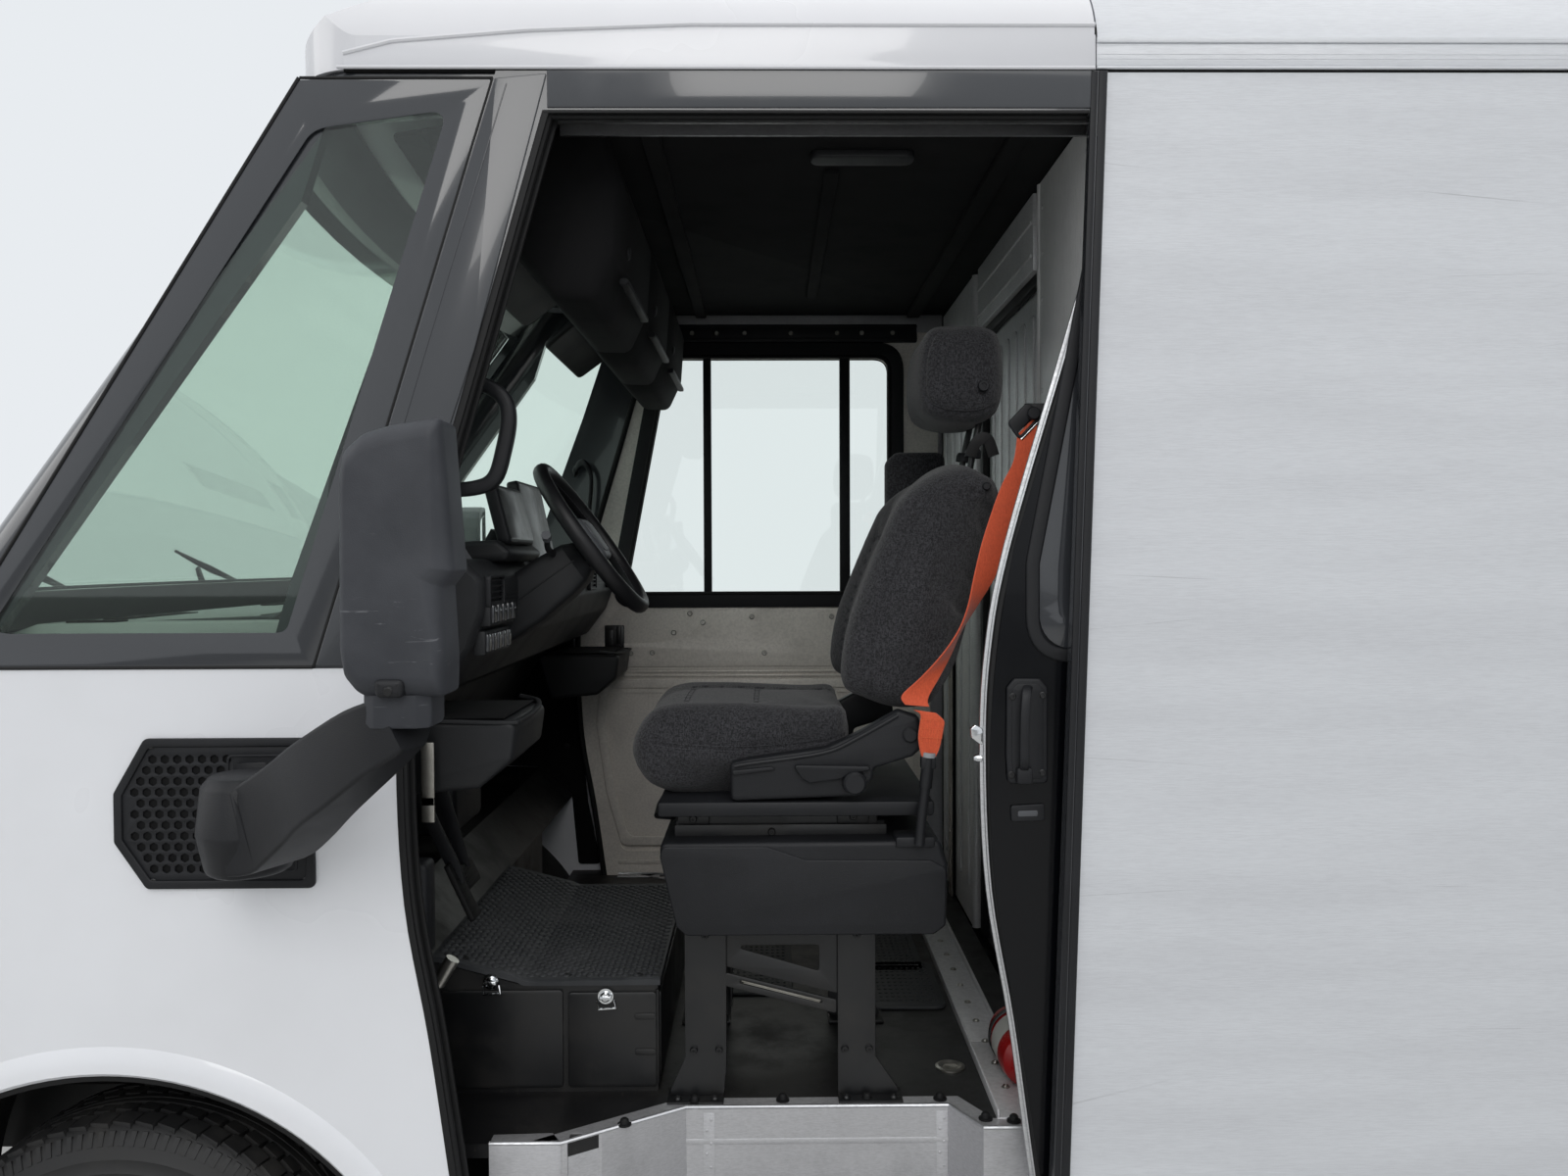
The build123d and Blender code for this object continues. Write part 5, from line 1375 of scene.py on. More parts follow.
def mirrorPieces(c):
    # each piece: name, mesh, finish, slot
    pieces = []
    neckRings = []
    for z, grow in ((1.506, -0.003), (1.512, 0.0), (1.552, 0.0)):
        corners = [(1.469 - grow, 1.326), (1.563 + grow, 1.326), (1.563 + grow, 1.398),
                   (1.545, 1.4125 + grow), (1.488, 1.4125 + grow), (1.469 - grow, 1.398)]
        neckRings.append([(x, y, z) for x, y in rounded(corners, 0.008, 4)])
    # the arm and hub take black grain, darker than the head's grey: painted shade on their faces
    pieces.append(("Arm", joined([mirrorHub(c), mirrorArm(c)]), "blackGrain", "black_plastic"))
    pieces.append(("Neck", loft(neckRings), "mirrorGrain", "black_plastic"))
    pod = slab([rounded([(1.5, 1.55), (1.536, 1.55), (1.539, 1.576), (1.497, 1.576)], 0.009)],
               sidePlane(1.415), (-0.02, 0.03), 0.008, 4)
    pieces.append(("Pod", pod, "blackGrain", "black_plastic"))
    pieces.append(("Eye", lathe([(0, 0.004), (0.0055, 0.004), (0.0075, 0.001), (0.0078, -0.01)],
            (1.518, 1.4325, 1.56), (0, 1, -0.25), 18), "screenGlass", "gloss_black"))
    pieces.append(("Head", mirrorHead(c), "mirrorGrain", "black_plastic"))
    low = c["depth"][0]
    panes = []
    lower = square(1.47, 1.566, 1.572, c["split"] - 0.004)
    upper = [(1.47, c["split"] + 0.004), (1.572, c["split"] + 0.004), (1.572, 1.862), (1.556, 1.882),
             (1.47, 1.896)]
    for pane in (lower, upper):
        panes.append(slab([rounded(pane, 0.01, 5)], sidePlane(low + 0.004), (-0.003, 0.002), 0.001, 2))
    pieces.append(("Faces", joined(panes), "mirrorFace", "mirror_face"))
    bar = brick((1.468, low + 0.0012, c["split"] - 0.004), (1.574, low + 0.01, c["split"] + 0.004), 0.0015)
    edge = [(1.47, 1.566), (1.572, 1.566), (1.572, 1.862), (1.556, 1.882), (1.47, 1.896)]
    rim = slab([rounded(offsetOutline(edge, 0.005), 0.013, 5), rounded(edge, 0.01, 5)],
               sidePlane(low + 0.003), (-0.003, 0.003), 0.0012, 2)
    pieces.append(("Bezel", joined([bar, rim]), "blackGrain", "black_plastic"))
    return pieces


def makeMirrors():
    c = mirrorSettings
    px, py = c["pivot"]
    turn = Matrix.Rotation(math.radians(c["swing"]), 4, "Z")
    swing = Matrix.Translation((px, -py, 0)) @ turn @ Matrix.Translation((-px, py, 0))
    other = swing @ Matrix.Diagonal((1, -1, 1, 1))
    for piece, mesh, finish, slot in mirrorPieces(c):
        stands = {"Head": ["mirror_{}"], "Faces": ["mirror_glass_{}"]}.get(piece, [])
        twin = mesh.copy()
        twin.transform(other)
        for side, shape in (("left", mesh), ("right", twin)):
            ownNodes = tuple(node.format(side) for node in stands)
            dress(side + "Mirror" + piece, shape, finish, "mirror_" + side, slot, ownNodes, crease=45)


makeVentPlates()
makeMirrors()
print("vent plates and mirrors made")


# Body side dressing: roof rails, pane borders, pillar covers, gaskets, arch lips and the black edges
railSettings = {"low": 2.545, "cabTop": 2.612, "cargoTop": 2.598, "seam": 0.4595, "bead": 0.0045}


def bead(points, radius, y):
    # a round bead along points given as (x, z) on a side plane
    return tube([(x, y, z) for x, z in points], radius)


def makeRoofRails():
    c = railSettings
    gap = 0.0016
    cab = [(c["seam"] + gap, c["low"]), (c["seam"] + gap, c["cabTop"] + 0.006), (1.13, c["cabTop"] + 0.006),
           (1.4, 2.608), (1.62, 2.59), (1.7, 2.57), (1.7, c["low"])]
    face = slab([cab], sidePlane(sideY), (-0.003, 0.002), 0.0012, 2)
    lines = [bead([(x, z) for x, z in cab[1:6]], c["bead"], sideY + 0.002),
             bead([(c["seam"] + gap, c["low"] + 0.002), (1.71, c["low"] + 0.002)], 0.0032, sideY + 0.0035)]
    # the cab rail takes the darker roof copy of the white paint: painted shade
    dress("cabRoofRail", mirrored(joined([face] + lines)), "roofWhiteShaded")
    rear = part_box("cargo_roof")[0].x
    front = c["seam"] - gap
    parts = []
    for low, high, lift in ((c["low"] + 0.0005, c["low"] + 0.005, 0.006), (c["low"] + 0.006, 2.588, 0.003),
                            (2.588, c["cargoTop"], 0.0065)):
        parts.append(brick((rear + 0.02, sideY - 0.004, low), (front, sideY + lift, high), 0.0012))
    for z in (2.5625, 2.57):
        parts.append(brick((rear + 0.02, sideY, z - 0.0007), (front, sideY + 0.0036, z + 0.0007), 0.0004))
    dress("cargoRoofRail", mirrored(joined(parts)), "cargoWhite")
    # near-black strips in the rail's seam and under its lower edge, on white panel: painted shadow in the
    # gaps
    seams = [brick((c["seam"] - gap, sideY - 0.01, c["low"]), (c["seam"] + gap, sideY - 0.001, 2.62)),
             brick((-2.95, sideY - 0.006, c["low"] - 0.004), (1.7, sideY + 0.0004, c["low"] + 0.0006))]
    dress("railSeams", mirrored(joined(seams)), "shadeBlack", slot="cargo_white")


def makeQuarterPanes():
    # the printed border of each quarter window and the slim rubber line round it
    outline = [(2.382, 1.561), (1.772, 2.527), (1.458, 2.529), (1.763, 1.561)]
    clear = [(2.3, 1.617), (1.752, 2.446, 0.05), (1.53, 2.478, 0.02), (1.806, 1.617)]
    border = slab([rounded(outline, 0.004), rounded(clear, 0.022, 8)], sidePlane(sideY), (-0.0012, 0.001),
                  0.0004)
    dress("quarterBorders", mirrored(border), "fritBlack")
    loops = [bead([(1.763, 1.5595), (2.384, 1.5595)], 0.003, sideY + 0.0005),
             bead([(1.4555, 2.53), (1.7605, 1.5595)], 0.0028, sideY + 0.0002),
             bead([(1.4555, 2.5305), (1.772, 2.5305)], 0.0028, sideY + 0.0002),
             bead([(2.386, 1.5595), (1.7735, 2.5305)], 0.0034, sideY + 0.0004)]
    dress("quarterRubbers", mirrored(joined(loops)), "gasket", slot="gloss_black")


pillarSettings = {"outline": [(1.4515, 2.529), (1.366, 2.537), (1.4885, 2.085), (1.598, 1.756),
                              (1.6265, 1.561), (1.7575, 1.561)]}


def makePillarCovers():
    # gloss covers of the windshield-side pillars, each with a fine ridge along it
    c = pillarSettings
    cover = slab([rounded(c["outline"], 0.003)], sidePlane(sideY), (-0.005, 0.001), 0.0018, 3)
    crease = [(1.432, 2.52), (1.57, 2.08), (1.662, 1.78), (1.7, 1.565)]
    ridge = sweep([(x, sideY + 0.0048, z) for x, z in crease], boxSection(0.0022, 0.0024, 0.0008),
                  (0, 1, 0))
    dress("pillarCovers", mirrored(joined([cover, ridge])), "blackGloss")


def doorwayEdge(shift=0.0, foot=0.372):
    upper = [(1.372 + shift, 2.481), (1.4775 + shift, 2.118), (1.583 + shift, 1.756)]
    lower = [(1.6165 + shift, 1.575), (1.625 + shift, 1.395), (1.614 + shift, 1.16), (1.575 + shift, 0.93),
             (1.5355 + shift, 0.645), (1.496 + shift, foot)]
    return upper + lower


def makeDoorwayRubbers():
    # a fat bulb seal on the doorway's front edge, a flat lip beside it and a line above
    path = flowing([(x, 0, z) for x, z in doorwayEdge()], 5)
    seals = [sweep([(p.x - 0.007, sideY - 0.014, p.z) for p in path], circleSection(0.0085, 10), (0, 1, 0)),
             sweep([(p.x - 0.004, sideY - 0.0015, p.z) for p in path], boxSection(0.012, 0.006, 0.002),
                   (0, 1, 0)), sweep([(p.x - 0.012, sideY - 0.036, p.z) for p in path],
                           boxSection(0.016, 0.008, 0.003), (0, 1, 0))]
    top = [(0.47, 2.4745), (1.372, 2.4745)]
    seals.append(sweep([(x, sideY - 0.016, z) for x, z in top], circleSection(0.007, 10), (0, 1, 0)))
    seals.append(sweep([(x, sideY - 0.001, z + 0.001) for x, z in top], boxSection(0.005, 0.006, 0.0015),
                       (0, 1, 0)))
    dress("doorwayRubbers", mirrored(joined(seals)), "gasket")
    header = [brick((0.466, sideY + 0.0012, 2.481), (1.366, sideY + 0.0045, 2.5425), 0.0014)]
    dress("headerCovers", mirrored(joined(header)), "blackGloss")
    # black upright at the front of the cargo side: an outer flange and a set-back inner one
    edge = [(0.4405, 2.541), (0.4995, 0.691), (0.5095, 0.372)]
    outer = sweep([(x + 0.0075, sideY + 0.0055, z) for x, z in edge], boxSection(0.013, 0.005, 0.0014),
                  (0, 1, 0))
    inner = sweep([(x + 0.021, sideY + 0.003, z) for x, z in edge], boxSection(0.0105, 0.006, 0.0014),
                  (0, 1, 0))
    dress("cargoEdges", mirrored(joined([outer, inner])), "blackGrain")


archSettings = {"centre": (2.12, 0.33), "radius": 0.55, "rearRadius": 0.5,
                "section": [(-0.003, -0.014), (-0.003, 0.004), (0.003, 0.0105), (0.014, 0.01),
                            (0.032, 0.006), (0.046, -0.0005), (0.046, -0.014)],
                "lip": [(-0.011, 0.0005), (-0.002, 0.0035), (-0.002, -0.03), (-0.011, -0.03)]}


class Skin:
    # the carried-over solids' surface, met by rays
    def __init__(self, *names):
        verts = []
        faces = []
        for name in names:
            mesh = nodes[name].data
            place = nodes[name].matrix_world
            start = len(verts)
            verts += [place @ v.co for v in mesh.vertices]
            faces += [[start + k for k in p.vertices] for p in mesh.polygons]
        self.tree = BVHTree.FromPolygons(verts, faces)

    def side(self, x, z, spare=None):
        hit = self.tree.ray_cast(Vector((x, 2.0, z)), Vector((0, -1, 0)))[0]
        return hit.y if hit else spare

    def above(self, x, y, spare=None):
        hit = self.tree.ray_cast(Vector((x, y, 4.0)), Vector((0, 0, -1)))[0]
        return hit.z if hit else spare

    def front(self, y, z, spare=None):
        hit = self.tree.ray_cast(Vector((5.0, y, z)), Vector((-1, 0, 0)))[0]
        return hit.x if hit else spare


def archRun(centre, radius):
    # from the foot behind the wheel, over it, to the foot ahead
    count = 56
    start = math.asin((0.365 - centre[1]) / radius)
    turns = [start + (math.pi - 2 * start) * k / count for k in range(count + 1)]
    return [(math.cos(t), math.sin(t)) for t in turns]


def archBand(skin, centre, radius, section):
    rings = []
    for across, upward in archRun(centre, radius):
        last = None
        ring = []
        for u, v in reversed(section):
            x = centre[0] + across * (radius + u)
            z = centre[1] + upward * (radius + u)
            y = skin.side(x, z, last)
            last = y if y is not None and y > 0.9 else last
            ring.append((x, (last or sideY) + v, z))
        rings.append(ring)
    return loft(rings)


def makeArchLips():
    # a soft flare pressed into the skin round each front wheel, and the black lip of each liner
    c = archSettings
    front = Skin("front_side_panels", "nose_panel")
    rear = Skin("cargo_sides")
    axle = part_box("tyre_rear_left")
    rearCentre = ((axle[0].x + axle[1].x) / 2, c["centre"][1])
    dress("archFlares", mirrored(archBand(front, c["centre"], c["radius"], c["section"])), "whitePaint")
    lips = [archBand(front, c["centre"], c["radius"] - 0.002, c["lip"]),
            archBand(rear, rearCentre, c["rearRadius"] - 0.001, c["lip"])]
    dress("archLips", mirrored(joined(lips)), "gasket")


makeRoofRails()
makeQuarterPanes()
makePillarCovers()
makeDoorwayRubbers()
makeArchLips()
print("body sides dressed")


# Doors: inner panel and black outer skin of the shut right door, trim and fittings of the open left one
doorSettings = {
    "pane": [(0.6, 1.625), (1.452, 1.625), (1.452, 1.7), (1.32, 2.392), (0.6, 2.392)], "divider": 1.205,
    "rightShift": 0.01, "leftShift": -1.0}


def windowRing(shift, y, span, grow, corner, edge=0.003, shrink=0.0, lift=0.0):
    pane = [(p[0] + shift, p[1] + lift) for p in doorSettings["pane"]]
    outer = offsetOutline(pane, grow)
    inner = offsetOutline(pane, -shrink)
    return slab([rounded(outer, corner + grow, 8), rounded(inner, corner, 8)], sidePlane(y), span, edge, 3)


def makeRightDoor():
    body = "door_right"
    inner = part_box("door_right")[1].y
    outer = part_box("door_right")[0].y
    # inner frame of black extrusion round the pane with its header and rounded rubber
    frame = [windowRing(0.01, inner, (-0.014, 0.004), 0.046, 0.045, 0.003)]
    header = brick((0.52, inner - 0.004, 2.438), (1.345, inner + 0.016, 2.497), 0.005)
    frame.append(header)
    frame.append(brick((0.52, inner + 0.014, 2.447), (1.345, inner + 0.0182, 2.452), 0.001))
    frame.append(brick((0.52, inner + 0.014, 2.486), (1.345, inner + 0.0182, 2.491), 0.001))
    frame.append(brick((doorSettings["divider"] - 0.015, inner - 0.016, 1.628),
                       (doorSettings["divider"] + 0.011, inner + 0.002, 2.4), 0.003))
    frame.append(brick((0.738, inner - 0.016, 1.628), (0.772, inner + 0.002, 2.4), 0.003))
    dress("rightDoorFrame", joined(frame), "blackGrain", body)
    ring = windowRing(0.01, inner, (-0.018, -0.003), 0.006, 0.045, 0.004, 0.006)
    dress("rightDoorRubber", ring, "gasket", body)
    heads = [((x, inner + 0.0155, 2.468), (0, 1, 0), (1, 0, 0))
             for x in (0.6, 0.7, 0.78, 0.93, 1.08, 1.17, 1.25, 1.3)]
    dressSpots("rightDoorScrews", heads, screwHead(0.0075, 0.004), "zincSteel", body)

    # stepped aluminium inner panel with pressed ribs
    upper = [(0.5, 1.601), (1.468, 1.601), (1.545, 1.52), (1.59, 1.46), (1.592, 1.37), (0.5, 1.37)]
    step = [(0.52, 1.575), (1.1, 1.575), (1.185, 1.568), (1.27, 1.488), (1.345, 1.47), (1.44, 1.464),
            (1.58, 1.464), (1.585, 1.385), (0.52, 1.385)]
    parts = [slab([rounded(upper, 0.012)], sidePlane(inner), (-0.004, 0.0), 0.0015),
             slab([rounded(step, 0.02)], sidePlane(inner), (-0.0085, -0.003), 0.002, 3)]
    lower = [(0.53, 1.345), (1.555, 1.345), (1.57, 1.2), (1.54, 0.98), (1.49, 0.8), (0.53, 0.8)]
    hollow = offsetOutline(lower, -0.03)
    parts.append(slab([rounded(lower, 0.03, 6), rounded(hollow, 0.035, 6)], sidePlane(inner), (-0.007, 0.0),
                      0.0028, 3))
    parts.append(brick((0.53, inner, 1.352), (1.592, inner + 0.008, 1.359), 0.002))
    parts.append(brick((0.53, inner, 1.366), (1.592, inner + 0.008, 1.373), 0.002))
    for x in (0.8, 1.06, 1.3):
        parts.append(brick((x - 0.02, inner - 0.002, 0.86), (x + 0.02, inner + 0.005, 1.3), 0.004))
    parts.append(brick((0.53, inner, 0.74), (1.5, inner + 0.006, 0.752), 0.002))
    low = [(0.5, 0.7), (1.5, 0.7), (1.49, 0.42), (0.5, 0.42)]
    parts.append(slab([rounded(low, 0.02), rounded(offsetOutline(low, -0.028), 0.02)], sidePlane(inner),
                      (-0.006, 0.0), 0.002, 3))
    dress("rightDoorPanel", joined(parts), "doorAluminium", body)
    plugs = [((x, inner + 0.0086, z), (0, 1, 0), (1, 0, 0))
             for x, z in ((1.262, 1.56), (1.22, 1.53), (1.315, 1.497), (1.385, 1.432), (1.455, 1.43),
                          (1.06, 1.548), (0.8, 1.548), (0.7, 1.43), (1.02, 1.43))]
    dressSpots("rightDoorPlugs", plugs, screwHead(0.0088, 0.005), "zincSteel", body)

    # latch case with its levers, and the front seal
    latch = [brick((1.476, inner, 1.432), (1.54, inner + 0.01, 1.522), 0.003),
             brick((1.486, inner + 0.008, 1.462), (1.5, inner + 0.022, 1.52), 0.002),
             brick((1.51, inner + 0.008, 1.44), (1.53, inner + 0.018, 1.508), 0.002),
             lathe([(0, 0.03), (0.008, 0.03), (0.008, 0.0)], (1.493, inner, 1.452), (0, 1, 0), 14),
             lathe([(0, 0.022), (0.006, 0.022), (0.006, 0.0)], (1.52, inner, 1.478), (0, 1, 0), 14)]
    dress("rightDoorLatch", joined(latch), "blackSteel", body)
    path = flowing([(x + 0.004, inner + 0.0005, z) for x, z in doorwayEdge(0.0, 0.385)], 5)
    dress("rightDoorSeal", sweep(path, circleSection(0.009, 10), (0, -1, 0)), "gasket", body)

    # outer side: black skin, rubber round the pane, handle
    dressDoorOutside("right", outer, -1, doorSettings["rightShift"])


def dressDoorOutside(side, outer, hand, shift):
    body = f"door_{side}"
    name = side + "Door"
    span = (-0.004, 0.003) if hand > 0 else (-0.003, 0.004)
    rim = windowRing(shift, outer, span, 0.02, 0.045, 0.002, 0.004)
    dress(name + "PaneRubber", rim, "gasket", body)
    lower = [(0.5 + shift, 0.4), (1.5 + shift, 0.4), (1.578 + shift, 0.93), (1.618 + shift, 1.2),
             (1.621 + shift, 1.395), (1.606 + shift, 1.555), (0.46 + shift, 1.555)]
    skins = [slab([rounded(lower, 0.01)], sidePlane(outer), (-0.003, 0.001) if hand > 0
                  else (-0.001, 0.003), 0.0012)]
    if hand < 0:
        # the shut door's window frame is black outside too
        upper = [(x + shift, z) for x, z in ((0.46, 1.5555), (1.612, 1.5555), (1.579, 1.756),
                (1.4735, 2.118), (1.366, 2.488), (0.46, 2.488))]
        clear = offsetOutline([(x + shift, z) for x, z in doorSettings["pane"]], 0.004)
        skins.append(slab([rounded(upper, 0.004), rounded(clear, 0.049, 8)], sidePlane(outer),
                          (-0.001, 0.0015), 0.0005))
    # the skin takes the near-black door finish: partly its paint, partly painted shade
    dress(name + "Skin", joined(skins), "doorBlackShaded", body)
    plate = [(1.395 + shift, 1.27), (1.555 + shift, 1.27), (1.565 + shift, 1.38), (1.545 + shift, 1.455),
             (1.395 + shift, 1.455)]
    cup = rounded(offsetOutline(plate, -0.018), 0.012)
    face = outer + hand * 0.003
    handle = [slab([rounded(plate, 0.016), cup], sidePlane(face), (-0.006, 0.004) if hand > 0
                   else (-0.004, 0.006), 0.002, 3), slab([cup], sidePlane(face - hand * 0.001),
                           (-0.0012, 0.0012), 0.0004), brick((1.425 + shift, min(face, face + hand * 0.014),
                                   1.385), (1.535 + shift, max(face, face + hand * 0.014), 1.412), 0.006,
                                           3)]
    dress(name + "Handle", joined(handle), "blackGrain", body)


def makeLeftDoor():
    body = "door_left"
    low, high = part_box("door_left")
    inner, outer = low.y, high.y
    shift = doorSettings["leftShift"]
    # bright strip on the leading edge: two fine ridges with a groove between
    edge = [(p[0] + shift + 0.0015, p[1]) for p in doorwayEdge(0.0, 0.385)]
    path = flowing([(x, inner + 0.008, z) for x, z in edge], 5)
    strip = [sweep(path, boxSection(0.023, 0.008, 0.0018), (0, 1, 0)),
             sweep([(p.x + 0.0025, p.y - 0.0068, p.z) for p in path], circleSection(0.0036, 8), (0, 1, 0)),
             sweep([(p.x + 0.0025, p.y + 0.0068, p.z) for p in path], circleSection(0.0036, 8), (0, 1, 0))]
    dress("leftDoorStrip", joined(strip), "edgeAluminium", body)
    seal = sweep([(p.x - 0.004, inner + 0.03, p.z) for p in path], circleSection(0.008, 8), (0, 1, 0))
    dress("leftDoorSeal", seal, "gasket", body)
    # fat rubber round the pane, seen from outside through the gap of the doorway
    rim = [windowRing(shift + 0.024, outer, (-0.006, 0.004), 0.088, 0.055, 0.004, -0.064, 0.02),
           windowRing(shift, outer, (-0.004, 0.006), 0.018, 0.055, 0.003, 0.004)]
    dress("leftDoorPaneRubber", joined(rim), "blackGrain", body)
    border = windowRing(shift + 0.024, outer, (-0.0015, 0.002), 0.066, 0.055, 0.001, -0.01, 0.02)
    dress("leftDoorPaneBorder", border, "fritBlack", body)
    face = outer + 0.001
    plate = [(0.5265, 1.35), (0.5955, 1.35), (0.5985, 1.4), (0.5975, 1.515), (0.585, 1.531), (0.54, 1.531),
             (0.5265, 1.515)]
    parts = [slab([rounded(plate, 0.01)], sidePlane(face), (-0.008, 0.001), 0.004, 3),
             slab([rounded(offsetOutline(plate, -0.009), 0.008)], sidePlane(face + 0.008), (-0.0015, 0.001),
                  0.001, 2)]
    bar = flowing([(0.562, face + 0.008, 1.515), (0.568, face + 0.026, 1.505), (0.572, face + 0.032, 1.47),
                   (0.573, face + 0.032, 1.42), (0.572, face + 0.028, 1.388), (0.567, face + 0.008, 1.372)],
                   5)
    parts.append(sweep(bar, boxSection(0.011, 0.016, 0.004), (1, 0, 0)))
    parts.append(brick((0.556, face + 0.004, 1.352), (0.583, face + 0.024, 1.38), 0.004))
    dress("leftDoorHandle", joined(parts), "blackGrain", body)
    heads = [((x, face + 0.009, z), (0, 1, 0), (1, 0, 0))
             for x, z in ((0.5365, 1.502), (0.588, 1.5), (0.5365, 1.369), (0.59, 1.366))]
    dressSpots("leftDoorScrews", heads, screwHead(0.0062, 0.003), "blackSteel", body, slot="black_plastic")
    latch = [(0.531, 1.286), (0.589, 1.284), (0.59, 1.312), (0.532, 1.315)]
    parts = [slab([rounded(latch, 0.005)], sidePlane(face), (-0.005, 0.001), 0.0018, 3)]
    dress("leftDoorLatch", joined(parts), "blackGrain", body)
    slot = [slab([rounded([(0.544, 1.294), (0.578, 1.293), (0.578, 1.303), (0.544, 1.304)], 0.003)],
                 sidePlane(face), (-0.0062, -0.003), 0.001)]
    dress("leftDoorLatchSlot", joined(slot), "hubGrey", body)
    # striker tongue and pin that stand out ahead of the edge
    y = inner + 0.008
    tongue = [(0.624, 1.437), (0.646, 1.447), (0.654, 1.44), (0.652, 1.424), (0.636, 1.412), (0.624, 1.414)]
    parts = [slab([rounded(tongue, 0.003)], sidePlane(y), (-0.005, 0.005), 0.0015),
             lathe([(0, 0.026), (0.0045, 0.026), (0.0072, 0.02), (0.0072, 0.012), (0.004, 0.01),
                    (0.004, -0.004)], (0.622, y, 1.388), (1, 0, 0), 16)]
    dress("leftDoorStriker", joined(parts), "chromeSteel", body)


makeRightDoor()
makeLeftDoor()
print("doors dressed")


# Steering wheel, column and dashboard
steeringSettings = {"centre": (1.367, 0.55, 1.78), "tilt": 35.5, "radius": 0.171, "rim": 0.0155}


def wheelAxes():
    # across is to the left, above points up the wheel's face, and out looks back at the driver
    c = steeringSettings
    lean = math.radians(c["tilt"])
    out = Vector((-math.cos(lean), 0, math.sin(lean)))
    across = Vector((0, 1, 0))
    above = out.cross(across)
    return Vector(c["centre"]), across, (above if above.z > 0 else -above), out


def onWheel(u, v, w):
    centre, across, above, out = wheelAxes()
    return centre + across * u + above * v + out * w


def wheelSlab(outlines, span, edge, steps=2):
    centre, across, above, out = wheelAxes()
    axes = Matrix((across, above, out)).transposed()
    return slab(outlines, Matrix.Translation(centre) @ axes.to_4x4(), span, edge, steps)


def makeSteeringWheel():
    c = steeringSettings
    ring = []
    for k in range(72):
        turn = 2 * math.pi * k / 72
        ring.append(onWheel(c["radius"] * math.cos(turn), c["radius"] * math.sin(turn), 0))
    out = wheelAxes()[3]
    section = [(c["rim"] * 0.92 * math.cos(2 * math.pi * k / 14),
                c["rim"] * 1.06 * math.sin(2 * math.pi * k / 14)) for k in range(14)]
    rim = sweep(ring, section, tuple(out), True)
    spokes = []
    for side in (1, -1):
        outline = [(side * 0.05, 0.03), (side * 0.1, 0.016), (side * 0.163, 0.02), (side * 0.166, -0.018),
                   (side * 0.105, -0.022), (side * 0.05, -0.04)]
        spokes.append(wheelSlab([rounded(outline, 0.01)], (-0.016, -0.002), 0.005, 3))
    lower = [(-0.036, -0.05), (0.036, -0.05), (0.03, -0.11), (0.046, -0.16), (-0.046, -0.16),
             (-0.03, -0.11)]
    slot = [(-0.014, -0.086), (0.014, -0.086), (0.016, -0.14), (-0.016, -0.14)]
    spokes.append(wheelSlab([rounded(lower, 0.01), rounded(slot, 0.008)], (-0.018, -0.004), 0.005, 3))
    dress("wheelRim", rim, "blackLeather", "steering_wheel", "gloss_black")
    dress("wheelSpokes", joined(spokes), "blackGrain", "steering_wheel", "gloss_black", ("steering_wheel",))
    pad = [(-0.058, 0.046), (0.058, 0.046), (0.064, 0.0), (0.05, -0.052), (-0.05, -0.052), (-0.064, 0.0)]
    dress("wheelPad", joined([wheelSlab([rounded(pad, 0.022, 6)], (-0.03, 0.01), 0.01, 4),
                              wheelSlab([rounded([(p[0] * 0.72, p[1] * 0.72) for p in pad], 0.014, 5)],
                                      (0.008, 0.0125), 0.003, 2)]), "hubGrey", "steering_wheel",
                                              "gloss_black")
    seam = [onWheel((c["radius"] - 0.015) * math.cos(2 * math.pi * k / 96),
                    (c["radius"] - 0.015) * math.sin(2 * math.pi * k / 96), 0.0) for k in range(97)]
    dress("wheelStitches", stitches([seam], "seatThread", 0.009, 0.006, 0.0009), "seatThread",
          "steering_wheel", "gloss_black")
    buttons = []
    for side in (1, -1):
        for u, v in ((0.08, 0.006), (0.098, 0.004), (0.116, 0.003)):
            outline = square(side * u - 0.007, v - 0.008, side * u + 0.007, v + 0.008)
            buttons.append(wheelSlab([rounded(outline, 0.003)], (-0.004, 0.001), 0.0012, 2))
    dress("wheelButtons", joined(buttons), "dashGrain", "steering_wheel", "gloss_black")


def columnPoint(away, u=0.0, v=0.0):
    return onWheel(u, v, -away)


def makeColumn():
    # two-part shroud and the stalks with their bright ends
    rings = []
    for away, wide, deep in ((0.034, 0.042, 0.042), (0.055, 0.06, 0.056), (0.1, 0.066, 0.064),
                             (0.17, 0.066, 0.07), (0.25, 0.06, 0.066)):
        ring = rounded(square(-wide, -deep, wide, deep * 0.62), 0.022, 5)
        rings.append([columnPoint(away, u, v - 0.012) for u, v in ring])
    shroud = loft(rings)
    seam = []
    for away, wide, deep in ((0.05, 0.0585, 0), (0.1, 0.0665, 0), (0.17, 0.0668, 0), (0.24, 0.061, 0)):
        seam.append(columnPoint(away, wide, -0.02))
    groove = tube(flowing(seam, 4), 0.0014, 6)
    dress("columnShroud", joined([shroud, groove]), "dashGrain")
    stalks = []
    tips = []
    for side, rise in ((1, 0.012), (-1, -0.004)):
        path = flowing([columnPoint(0.075, side * 0.05, rise), columnPoint(0.072, side * 0.1, rise + 0.012),
                        columnPoint(0.055, side * 0.15, rise + 0.024)], 5)
        stalks.append(sweep(path, circleSection(0.0075, 10, 0.8), (1, 0, 0)))
        end = [columnPoint(0.055, side * 0.15, rise + 0.024), columnPoint(0.05, side * 0.168, rise + 0.029)]
        tips.append(tube(end, 0.0092, 12))
    dress("columnStalks", joined(stalks), "dashGrain")
    dress("stalkTips", joined(tips), "hubGrey")


